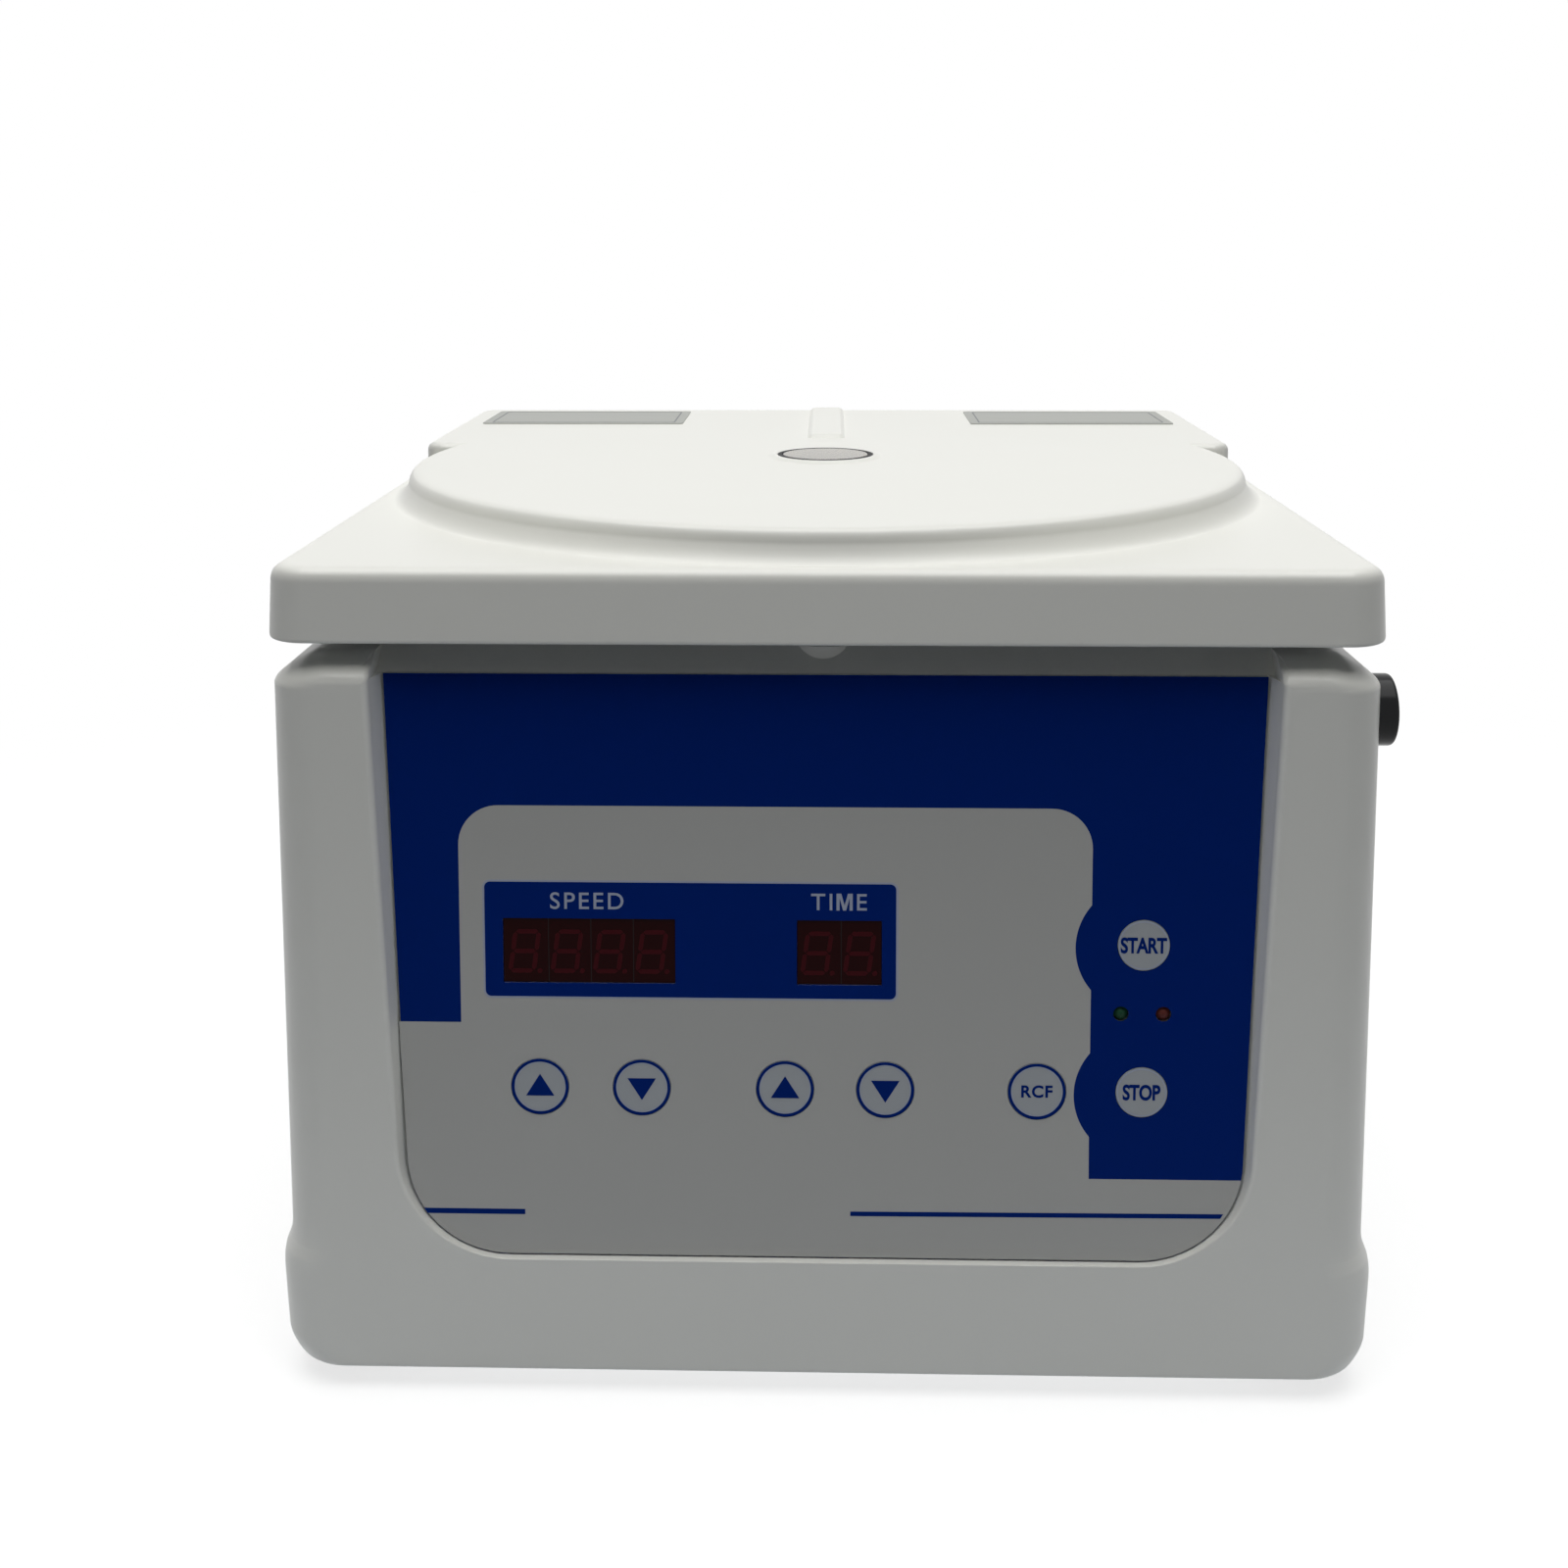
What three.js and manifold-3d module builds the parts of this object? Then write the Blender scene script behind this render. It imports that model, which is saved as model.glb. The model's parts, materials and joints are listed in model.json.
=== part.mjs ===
// Benchtop centrifuge with a hinged lid and a rotor of four swinging buckets.
// Millimetres, +Z up, the front faces -Y, and the machine stands on z = 0.
import * as THREE from "three";
import { mergeVertices } from "three/addons/utils/BufferGeometryUtils.js";
import Module from "manifold-3d";

const wasm = await Module();
wasm.setup();

// Fits shared by all pieces
const GAP = 0.3; // between faces that rest on each other
const SLIP = 0.4; // around a piece that slides or turns in its hole
const OVERRUN = 1; // how far a cut passes the face it opens, and a join reaches into its neighbour

// Fineness of the round shapes, in steps
const CORNER_STEPS = 5;
const BLEND_STEPS = 3;
const COARSE = 12;
const MIDDLE = 20;
const FINE = 44;

// Housing
const HOUSING_WIDTH = 299; // across the side walls at the shoulder
const HOUSING_WALL = 3;
const HOUSING_CORNER = 14;
const WALL_DRAFT = 0.8; // how much each wall leans out towards the plinth
const PLINTH_FLARE = 2.8; // at the sides only
const PLINTH_TAPER = 0.8;
const PLINTH_HEIGHT = 28.6;
const PLINTH_BLEND = 8;
const BOTTOM_ROUND = 2;
const RIM_WIDTH = 9; // bottom edge, from the plinth's face to the opening
const SIDE_CUT = 5; // drawn in towards the bottom edge at the sides only
const SIDE_CUT_RISE = 8;
const SHOULDER_RUN = 9;
const SHOULDER_RISE = 5;
const SIDE_SHOULDER = 3; // how much lower and further in the shoulder starts at the sides
const EDGE_ROUND = 2.5;
const BOSS_RADIUS = 6;
const BOSS_HEIGHT = 34;
const BOSS_WEB = 3;

// Feet and base plate
const FOOT_PROUD = 6.4; // housing edge above the bench
const FOOT_HEIGHT = 8;
const FOOT_RADIUS = 10;
const FOOT_CHAMFER = 1;
const FOOT_INSET_X = 21.1; // foot centre from the plinth's side
const FOOT_INSET_Y = 20.7;
const BASE_THICKNESS = 2;
const BASE_VENTS = 6;
const BASE_VENT_LENGTH = 40;
const BASE_VENT_WIDTH = 3.5;
const BASE_VENT_PITCH = 9;

// Front recess and panel
const PANEL_LENGTH = 163; // up the leaning face
const POST_WIDTH = 30.8; // from the housing's side to the panel's upper corner
const PANEL_FLARE = 4; // how much wider each side is at its top
const PANEL_CORNER = 28;
const PANEL_RISE = 34.2; // panel's lower edge above the housing's bottom edge
const PANEL_SINK = 1; // how deep the panel's lower edge lies behind the front face
const PANEL_LEAN = THREE.MathUtils.degToRad(2.46);
const PANEL_HEADROOM = 1.05; // shoulder above the panel's upper edge
const PANEL_THICKNESS = 2;
const PANEL_WINDOW_INSET = 10.7; // from the panel's lower sides
const PANEL_WINDOW_LOW = 16;
const PANEL_WINDOW_HIGH = 118;
const STANDOFF_RADIUS = 3;

// Panel instruments, with their places across and up the panel
const BOARD_SETBACK = 14; // board's face behind the panel's face
const BOARD_THICKNESS = 1.6;
const BOARD_LEFT_INSET = 8; // from the window in the recess
const BOARD_RIGHT_INSET = 4;
const BOARD_LOW = 28;
const BOARD_HIGH = 110;
const STANDOFF_INSET = 6;
const DISPLAY_HEIGHT = 18;
const SPEED_DISPLAY_WIDTH = 47;
const TIME_DISPLAY_WIDTH = 23;
const DISPLAY_UP = 86.4;
const SPEED_DISPLAY_SHARE = -0.55536; // of half the panel's lower width, like the shares below
const TIME_DISPLAY_SHARE = 0.03923;
const LAMP_RADIUS = 2;
const LAMP_LEAD_RADIUS = 0.8;
const LAMP_BODY_LENGTH = 6;
const LAMP_UP = 70;
const RUN_LAMP_SHARE = 0.70532;
const STOP_LAMP_SHARE = 0.80558;
const KEY_ROW_UP = 48;
const START_KEY_UP = 89.2;
const START_KEY_SHARE = 0.75676;
const SPEED_UP_SHARE = -0.67655;
const SPEED_DOWN_SHARE = -0.43243;
const TIME_UP_SHARE = -0.0898;
const TIME_DOWN_SHARE = 0.14908;
const RCF_SHARE = 0.50915;
const RING_KEY_RADIUS = 7.9;
const DISC_KEY_RADIUS = 7;
const KEY_PROUD = 0.15;
const KEY_RIM = 0.9;
const KEY_STEM_RADIUS = 1.75;
const KEY_STEM_LENGTH = 7;
const SWITCH_SIDE = 8;
const SWITCH_HEIGHT = 6;
const SWITCH_BORE_DEPTH = 4;

// Chamber, centred on the rotor's axis
const ROTOR_BACK = 1.6; // rotor axis behind the middle of the housing
const BOWL_SIDE_MARGIN = 33.5; // bowl's wall from the housing's sides
const BOWL_SHEET = 1.2;
const BOWL_FLOOR_CLEARANCE = 12.3; // under the hanging buckets
const BOWL_ROUND = 12;
const BOWL_FLANGE = 6;
const BOWL_HOLE_RADIUS = 9;
const SEAL_INSET = 1;
const SEAL_WIDTH = 4;
const GROMMET_LIP = 3;
const GROMMET_THICKNESS = 2;

// Drive
const SHAFT_RADIUS = 5;
const SHAFT_TIP_RADIUS = 4;
const SHAFT_TOP_DROP = 6.5; // shaft's end below the deck
const MOTOR_RADIUS = 38;
const MOTOR_CLEARANCE = 7.4; // above the base plate
const MOTOR_WALL = 3;
const MOTOR_END = 6;
const BEARING_RADIUS = 8;
const ARMATURE_RADIUS = 33;
const ARMATURE_INSET = 8;
const BRACKET_DROP = 19.5; // bracket's underside below the bowl's
const BRACKET_MARGIN = 4; // round the dampers
const BRACKET_THICKNESS = 3;
const BRACKET_HOLE_RADIUS = 14;
const DAMPER_COUNT = 3;
const DAMPER_CLEARANCE = 4; // from the motor
const DAMPER_RADIUS = 9;
const DAMPER_HEIGHT = 14;
const PILLAR_RADIUS = 6;

// Rotor and buckets
const PIVOT_DROP = 23.5; // bucket pivots below the deck
const BUCKET_COUNT = 4;
const HUB_MARGIN = 2; // beyond the forks' outer sides
const HUB_CLEARANCE = 3.5; // from the buckets' collars
const HUB_HEIGHT = 20;
const HUB_NECK_RADIUS = 12;
const HUB_NECK_LENGTH = 34;
const FORK_CLEARANCE = 1.5; // between a bucket's collar and each prong
const PRONG_THICKNESS = 4;
const PRONG_HEIGHT = 16;
const PRONG_REACH = 7; // beyond the pivot
const TRUNNION_RADIUS = 2.5;
const BUCKET_RADIUS = 11;
const BUCKET_WALL = 2.1;
const BUCKET_COLLAR_PROUD = 1.5;
const BUCKET_COLLAR_BELOW = 6;
const BUCKET_ABOVE = 9; // rim above the pivot
const SWING_CLEARANCE = 7; // between a swung bucket and the bowl's wall
const BUCKET_FLOOR = 2.5;
const BUCKET_ROUND = 4;
const NUT_RADIUS = 11;
const NUT_HEIGHT = 11;
const NUT_DOME = 3;

// Lid
const LID_SIDE_OVERHANG = 0.2; // beyond the housing's sides
const LID_DEPTH = 304.8;
const LID_OVERHANG = 0.5; // beyond the housing's front and rear
const LID_RISE = 3.9; // skirt's edge above the deck
const LID_SKIRT = 20.2; // skirt's edge to the low top
const LID_CORNER = 12;
const LID_ROUND = 5;
const LID_WALL = 3;
const LID_BEVEL = 1.2; // along the skirt's lower edge
const LID_DRAFT = 0.8; // how much the skirt leans in towards its top
const PLATEAU_STEP = 9.3;
const PLATEAU_FLANK = 5.3; // from the plateau's foot to its edge
const PLATEAU_SIDE_INSET = 6.2; // foot from the lid's sides
const PLATEAU_FRONT_INSET = 8.9; // foot from the lid's front, the disc being centred
const PLATEAU_FORWARD = 3; // disc's centre in front of the lid's middle
const STRIP_SIDE_INSET = 3.7;
const STRIP_DEPTH = 114;
const STRIP_REAR_INSET = 3.4;
const STRIP_CORNER = 6;
const RIB_WIDTH = 14;
const RIB_LENGTH = 95;
const RIB_HEIGHT = 1.4;
const WINDOW_RADIUS = 14.7;
const WINDOW_RING = 1.2;
const WINDOW_THICKNESS = 2.2;
const WINDOW_BOSS = 1.6;
const WINDOW_BOSS_HEIGHT = 0.8;
const WINDOW_LEDGE = 1.6;
const LINER_THICKNESS = 1.5;
const LABEL_WIDTH = 79.6;
const LABEL_DEPTH = 43;
const LABEL_THICKNESS = 0.4;
const LABEL_SIDE_INSET = 9.6; // from the strip's side
const LABEL_INSET = 7.3; // from the strip's rear edge

// Striker and lock
const LOCK_SETBACK = 6.057; // striker and bolt behind the recess's upper edge
const LOCK_DROP = 18.7; // bolt's axis below the deck
const STRIKER_HOLE_RADIUS = 6.8;
const STRIKER_RING_RADIUS = 9;
const STRIKER_RING_HEIGHT = 0.4;
const TONGUE_THICKNESS = 2;
const TONGUE_WIDTH = 9;
const EYE_SIDE = 5.4; // square eye for the bolt's nose
const TONGUE_BELOW_EYE = 7;
const STRIKER_FOOT_WIDTH = 20;
const STRIKER_FOOT_DEPTH = 10;
const STRIKER_FOOT_THICKNESS = 1.6;
const BOLT_RADIUS = 3;
const BOLT_NOSE_RADIUS = 2;
const BOLT_NOSE_LENGTH = 8;
const BOLT_STANDOFF = 0.6; // nose from the tongue at rest
const BUTTON_RADIUS = 9.9;
const BUTTON_LENGTH = 17.3;
const BUTTON_PROUD = 5.9;
const BUTTON_EDGE = 1.2;
const BUTTON_SOCKET = 8;
const GUIDE_WIDTH = 9;
const GUIDE_THICKNESS = 2.5;
const GUIDE_LUG = 8;
const GUIDE_START = 14;
const SPRING_RADIUS = 4.8;
const SPRING_LENGTH = 19.5;
const SPRING_WIRE_RADIUS = 0.6;
const SPRING_TURNS = 6;

// Hinges at the rear
const HINGE_SIDE_INSET = 54.5; // each hinge's middle from the housing's side
const HINGE_WIDTH = 50;
const HINGE_BACK = 5.6; // pin's axis behind the lid
const HINGE_DROP = 0.5; // pin's axis below the deck
const KNUCKLE_RADIUS = 4;
const KNUCKLE_SHARE = 0.36; // of the hinge's width, held by the lid's knuckle
const HINGE_PIN_RADIUS = 2;
const LEAF_THICKNESS = 2;
const LID_LEAF_TOP = 19;
const HOUSING_LEAF_DROP = 34;

// Rear connections
const INLET_SIDE_INSET = 61.5; // inlet's middle from the housing's side
const INLET_RISE = 58.6;
const INLET_FLANGE_WIDTH = 48;
const INLET_FLANGE_HEIGHT = 40;
const INLET_FLANGE_THICKNESS = 2.4;
const INLET_BODY_WIDTH = 30;
const INLET_BODY_HEIGHT = 34;
const INLET_BODY_DEPTH = 22;
const SOCKET_WIDTH = 24.4;
const SOCKET_HEIGHT = 16.6;
const SOCKET_DEPTH = 16;
const SOCKET_UP = 6;
const SOCKET_BEVEL = 4;
const BLADE_WIDTH = 2;
const BLADE_HEIGHT = 4;
const BLADE_LENGTH = 14;
const BLADE_SPREAD = 7;
const BLADE_UP = 3;
const DRAWER_WIDTH = 22;
const DRAWER_HEIGHT = 8;
const DRAWER_DEPTH = 17;
const DRAWER_DOWN = 10.5;
const DRAWER_TAB = 1.2;
const SWITCH_STEP = 46; // from the inlet's middle
const SWITCH_FRAME_WIDTH = 15;
const SWITCH_FRAME_HEIGHT = 22;
const SWITCH_FRAME_DEPTH = 15;
const SWITCH_FRAME_WALL = 1.5;
const SWITCH_BEZEL = 2;
const ROCKER_SINK = 3; // rocker's pivot below the bezel's face
const ROCKER_RISE = 1.6;
const ROCKER_HEEL = 5;
const ROCKER_TILT = THREE.MathUtils.degToRad(10);
const VENT_COUNT = 10;
const VENT_WIDTH = 3;
const VENT_HEIGHT = 46;
const VENT_PITCH = 8;
const VENT_SIDE_INSET = 83.5; // grille's middle from the housing's other side

// Power board
const POWER_BOARD_WIDTH = 90;
const POWER_BOARD_DEPTH = 64;
const POWER_BOARD_RISE = 8;
const POWER_BOARD_SIDE_INSET = 12.5; // from the housing's side
const POWER_BOARD_REAR_INSET = 31.9;
const COIL_WIDTH = 40;
const COIL_DEPTH = 34;
const COIL_HEIGHT = 30;
const CAPACITOR_RADIUS = 9;
const CAPACITOR_HEIGHT = 32;

// Places that follow from the sizes
const HOUSING_DEPTH = LID_DEPTH - 2 * LID_OVERHANG;
const HOUSING_HEIGHT = PANEL_RISE + PANEL_LENGTH * Math.cos(PANEL_LEAN) + PANEL_HEADROOM + SHOULDER_RISE;
const HALF_WIDTH = HOUSING_WIDTH / 2;
const HALF_DEPTH = HOUSING_DEPTH / 2;
const LID_WIDTH = HOUSING_WIDTH + 2 * LID_SIDE_OVERHANG;
const STRIP_WIDTH = LID_WIDTH - 2 * STRIP_SIDE_INSET;
const PLATEAU_FOOT_RADIUS = Math.min(LID_WIDTH / 2 - PLATEAU_SIDE_INSET, LID_DEPTH / 2 - PLATEAU_FRONT_INSET);
const PLATEAU_RADIUS = PLATEAU_FOOT_RADIUS - PLATEAU_FLANK;
const EDGE_Z = FOOT_PROUD;
const DECK_Z = EDGE_Z + HOUSING_HEIGHT;
const SHOULDER_Z = DECK_Z - SHOULDER_RISE;
const PANEL_SEAT = PANEL_THICKNESS + GAP;
// The frame of the panel: X across, Z up the leaning face, -Y out of it
const panelFrame = new THREE.Matrix4()
  .makeRotationX(-PANEL_LEAN)
  .setPosition(0, -HALF_DEPTH + PANEL_SINK, EDGE_Z + PANEL_RISE);
// Where the recess's seat meets the slope above it, and where the slope meets the deck
const seatTop = new THREE.Vector3(0, PANEL_SEAT, PANEL_LENGTH).applyMatrix4(panelFrame);
const DECK_EDGE = seatTop.y + DECK_Z - seatTop.z;
const LOCK_Y = DECK_EDGE + LOCK_SETBACK;
const BUCKET_BORE_RADIUS = BUCKET_RADIUS - BUCKET_WALL;
const BUCKET_COLLAR_RADIUS = BUCKET_RADIUS + BUCKET_COLLAR_PROUD;
const FORK_GAP = 2 * (BUCKET_COLLAR_RADIUS + FORK_CLEARANCE); // between the two prongs of a fork
const HUB_RADIUS = FORK_GAP / 2 + PRONG_THICKNESS + HUB_MARGIN;
const PIVOT_RADIUS = HUB_RADIUS + HUB_CLEARANCE + BUCKET_COLLAR_RADIUS; // pivots from the rotor's axis
const STRIKER_ROOM = ROTOR_BACK - LOCK_Y - STRIKER_RING_RADIUS; // from the rotor's axis to the ring round the hole
const BOWL_RADIUS = Math.min(HALF_WIDTH - BOWL_SIDE_MARGIN, STRIKER_ROOM - BOWL_FLANGE);
const BUCKET_BELOW = BOWL_RADIUS - PIVOT_RADIUS - SWING_CLEARANCE; // bottom below the pivot
const BOWL_DEPTH = PIVOT_DROP + BUCKET_BELOW + BOWL_FLOOR_CLEARANCE + BOWL_SHEET;
const FOOT_FLARE = PLINTH_FLARE - PLINTH_TAPER;
const BASE_Z = FOOT_HEIGHT + GAP;
const BASE_TOP = BASE_Z + BASE_THICKNESS;
const LEDGE_Z = BASE_TOP + GAP;
const OPENING_IN = WALL_DRAFT - RIM_WIDTH;
const PIVOT_Z = DECK_Z - PIVOT_DROP;
const HUB_TOP = PIVOT_Z + HUB_HEIGHT / 2;
const DAMPER_CIRCLE = MOTOR_RADIUS + DAMPER_CLEARANCE + DAMPER_RADIUS;
const BRACKET_RADIUS = DAMPER_CIRCLE + DAMPER_RADIUS + BRACKET_MARGIN;
const LID_Z = DECK_Z + LID_RISE;
const LINER_Z = LID_Z + GAP;
const BOWL_Z = DECK_Z - BOWL_DEPTH;
const FLANGE_Z = DECK_Z + GAP;
const BOWL_RIM = BOWL_RADIUS + BOWL_FLANGE;
const BRACKET_Z = BOWL_Z - BRACKET_DROP;
const MOTOR_TOP = BRACKET_Z - GAP;
const MOTOR_Z = BASE_TOP + MOTOR_CLEARANCE;
const LOCK_Z = DECK_Z - LOCK_DROP;
const BUTTON_FACE = HALF_WIDTH + BUTTON_PROUD;
const GUIDE_END = BUTTON_FACE - BUTTON_LENGTH - SPRING_LENGTH - 2 * GAP;
const HINGE_SPREAD = HALF_WIDTH - HINGE_SIDE_INSET;
const INLET_ACROSS = HALF_WIDTH - INLET_SIDE_INSET;
const SWITCH_ACROSS = INLET_ACROSS - SWITCH_STEP;
const VENT_ACROSS = VENT_SIDE_INSET - HALF_WIDTH;
const POWER_BOARD_LEFT = POWER_BOARD_SIDE_INSET - HALF_WIDTH;
const POWER_BOARD_REAR = HALF_DEPTH - POWER_BOARD_REAR_INSET;
const HINGE_Y = LID_DEPTH / 2 + HINGE_BACK;
const HINGE_Z = DECK_Z - HINGE_DROP;
const PANEL_TOP_WIDTH = HOUSING_WIDTH - 2 * POST_WIDTH;
const PANEL_BOTTOM_WIDTH = PANEL_TOP_WIDTH - 2 * PANEL_FLARE;
const PANEL_WINDOW_WIDTH = PANEL_BOTTOM_WIDTH - 2 * PANEL_WINDOW_INSET;
const BOARD_LEFT = -PANEL_WINDOW_WIDTH / 2 + BOARD_LEFT_INSET;
const BOARD_RIGHT = PANEL_WINDOW_WIDTH / 2 - BOARD_RIGHT_INSET;
const STRIP_BACK = LID_DEPTH / 2 - STRIP_REAR_INSET - STRIP_DEPTH / 2;
const LABEL_ACROSS = STRIP_WIDTH / 2 - LABEL_SIDE_INSET - LABEL_WIDTH / 2;
const LID_TOP = LID_SKIRT + PLATEAU_STEP;
const REAR_MOST = HINGE_Y + KNUCKLE_RADIUS;
const FRONT_MOST = HALF_DEPTH + WALL_DRAFT;

// Finishes, each call making a material of its own
const finish = (color, roughness, metalness) => new THREE.MeshStandardMaterial({ color, roughness, metalness });
const whiteShell = () => finish(0xf0f0ec, 0.35, 0);
const blackPlastic = () => finish(0x141517, 0.3, 0);
const greyPlastic = () => finish(0x8f9090, 0.5, 0);
const rubber = () => finish(0x26272a, 0.85, 0);
const paleRubber = () => finish(0xc9c9c2, 0.8, 0);
const steel = () => finish(0xb9bcc0, 0.3, 1);
const zinc = () => finish(0xa9adb0, 0.45, 1);
const aluminium = () => finish(0xc8cacc, 0.35, 1);
const keyFace = () => finish(0xa6a7a6, 0.5, 0);
const displayRed = () => finish(0x3a0a0d, 0.2, 0);
const clearWindow = () => finish(0xb8b2a6, 0.15, 0);
const boardGreen = () => finish(0x1e5a38, 0.5, 0);
const greenLamp = () => finish(0x1d6a3c, 0.25, 0);
const redLamp = () => finish(0x7a2018, 0.25, 0);

// Closed geometry as a solid, its faces turned outwards
function solidOf(geometry, matrix) {
  const source = geometry.index ? geometry.toNonIndexed() : geometry;
  const bare = new THREE.BufferGeometry().setAttribute("position", source.getAttribute("position").clone());
  if (matrix) bare.applyMatrix4(matrix);
  const merged = mergeVertices(bare, GAP / 1000);
  const at = merged.attributes.position;
  const corner = (i) => new THREE.Vector3().fromBufferAttribute(at, i);
  const faces = [];
  let volume = 0;
  for (let i = 0; i < merged.index.count; i += 3) {
    const [a, b, c] = [0, 1, 2].map((k) => merged.index.getX(i + k));
    if (a === b || b === c || c === a) continue;
    faces.push([a, b, c]);
    volume += corner(a).dot(corner(b).cross(corner(c)));
  }
  const triVerts = new Uint32Array(faces.flatMap(([a, b, c]) => (volume < 0 ? [a, c, b] : [a, b, c])));
  return new wasm.Manifold(new wasm.Mesh({ numProp: 3, vertProperties: at.array, triVerts }));
}

function joined(solids) {
  return solids.reduce((whole, next) => whole.add(next));
}

function cut(body, cutters) {
  return cutters.reduce((whole, next) => whole.subtract(next), body);
}

// A named mesh from a solid
function piece(name, solid, material, parent) {
  const { numProp, vertProperties, triVerts } = solid.getMesh();
  const geometry = new THREE.BufferGeometry();
  geometry.setAttribute("position", new THREE.BufferAttribute(new Float32Array(vertProperties), numProp));
  geometry.setIndex(new THREE.BufferAttribute(new Uint32Array(triVerts), 1));
  geometry.computeVertexNormals();
  const mesh = new THREE.Mesh(geometry, material);
  mesh.name = name;
  parent.add(mesh);
  return mesh;
}

function groupAt(parent, x, y, z) {
  const group = new THREE.Group();
  group.position.set(x, y, z);
  parent.add(group);
  return group;
}

// A block between two opposite corners
function block([x0, y0, z0], [x1, y1, z1], matrix) {
  const geometry = new THREE.BoxGeometry(x1 - x0, y1 - y0, z1 - z0);
  geometry.translate((x0 + x1) / 2, (y0 + y1) / 2, (z0 + z1) / 2);
  return solidOf(geometry, matrix);
}

// A solid of revolution about Z from its closed outline of [radius, height] points
function turned(outline, sides) {
  const points = outline.map(([r, z]) => new THREE.Vector2(r, z));
  const open = outline[0][0] !== 0 || outline[outline.length - 1][0] !== 0;
  if (open) points.push(points[0].clone());
  return solidOf(new THREE.LatheGeometry(points, sides).rotateX(Math.PI / 2));
}

// A round bar between two stations along one axis, through (across, up) in that axis's plane
const BAR_TURNS = {
  x: (across, up) => new THREE.Matrix4().makeRotationY(Math.PI / 2).setPosition(0, across, up),
  y: (across, up) => new THREE.Matrix4().makeRotationX(-Math.PI / 2).setPosition(across, 0, up),
  z: (across, up) => new THREE.Matrix4().setPosition(across, up, 0),
};
function bar(axis, radius, from, to, [across, up], sides) {
  const geometry = new THREE.CylinderGeometry(radius, radius, to - from, sides);
  geometry.rotateX(Math.PI / 2).translate(0, 0, (from + to) / 2);
  return solidOf(geometry, BAR_TURNS[axis](across, up));
}

// A section of [y, z] points drawn along X
function drawnAlongX(section, from, to) {
  const shape = new THREE.Shape(section.map(([y, z]) => new THREE.Vector2(y, z)));
  const geometry = new THREE.ExtrudeGeometry(shape, { depth: to - from, bevelEnabled: false });
  const turn = new THREE.Matrix4().makeBasis(
    new THREE.Vector3(0, 1, 0),
    new THREE.Vector3(0, 0, 1),
    new THREE.Vector3(1, 0, 0),
  );
  return solidOf(geometry, turn.setPosition(from, 0, 0));
}

// A flat outline in X and Z drawn along Y
function drawnAlongY(shape, from, to, matrix) {
  const geometry = new THREE.ExtrudeGeometry(shape, { depth: to - from, bevelEnabled: false, curveSegments: COARSE });
  const turn = new THREE.Matrix4().makeBasis(
    new THREE.Vector3(1, 0, 0),
    new THREE.Vector3(0, 0, 1),
    new THREE.Vector3(0, -1, 0),
  );
  geometry.applyMatrix4(turn.setPosition(0, to, 0));
  return solidOf(geometry, matrix);
}

// A rounded rectangle grown by an offset, and more at its sides, at one height
function roundedRing({ x, y, r, centre = 0 }, [offset, z, sideways = 0]) {
  const ring = [];
  const radius = r + offset;
  for (let quarter = 0; quarter < 4; quarter += 1) {
    const cx = (quarter % 3 === 0 ? 1 : -1) * (x - r + sideways);
    const cy = (quarter < 2 ? 1 : -1) * (y - r) + centre;
    for (let i = 0; i <= CORNER_STEPS; i += 1) {
      const angle = ((quarter + i / CORNER_STEPS) * Math.PI) / 2;
      ring.push([cx + radius * Math.cos(angle), cy + radius * Math.sin(angle), z]);
    }
  }
  return ring;
}

// A solid through rounded rectangles given as [offset, height, more at the sides] levels
function lofted(base, levels) {
  const rings = levels.map((level) => roundedRing(base, level));
  const count = rings[0].length;
  const index = [];
  for (let k = 0; k < rings.length - 1; k += 1) {
    for (let i = 0; i < count; i += 1) {
      const a = k * count + i;
      const b = k * count + ((i + 1) % count);
      index.push(a, b, a + count, b, b + count, a + count);
    }
  }
  const top = (rings.length - 1) * count;
  for (let i = 1; i < count - 1; i += 1) index.push(0, i + 1, i, top, top + i, top + i + 1);
  const geometry = new THREE.BufferGeometry();
  geometry.setAttribute("position", new THREE.Float32BufferAttribute(rings.flat(2), 3));
  geometry.setIndex(index);
  return solidOf(geometry);
}

// Points that round off the corner at the middle one of three points
function rounded(before, corner, after) {
  const curve = new THREE.QuadraticBezierCurve(
    new THREE.Vector2(...before),
    new THREE.Vector2(...corner),
    new THREE.Vector2(...after),
  );
  return curve.getPoints(BLEND_STEPS).map((p) => p.toArray());
}

// Points of a quarter circle from one direction to the next, about a centre
function quarterArc([cx, cz], radius, fromAngle, toAngle) {
  const points = [];
  for (let i = 0; i <= BLEND_STEPS; i += 1) {
    const angle = fromAngle + ((toAngle - fromAngle) * i) / BLEND_STEPS;
    points.push([cx + radius * Math.cos(angle), cz + radius * Math.sin(angle)]);
  }
  return points;
}

// The panel's outline, grown by an offset and reaching up to a given height
function panelOutline(grow, top) {
  const low = PANEL_BOTTOM_WIDTH / 2 + grow;
  const high = low + (((PANEL_TOP_WIDTH - PANEL_BOTTOM_WIDTH) / 2) * top) / PANEL_LENGTH;
  const r = PANEL_CORNER + grow;
  const shape = new THREE.Shape();
  shape.moveTo(-high, top);
  shape.lineTo(-low, r - grow);
  shape.absarc(-low + r, r - grow, r, Math.PI, 1.5 * Math.PI);
  shape.absarc(low - r, r - grow, r, 1.5 * Math.PI, 2 * Math.PI);
  shape.lineTo(high, top);
  return shape;
}

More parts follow.
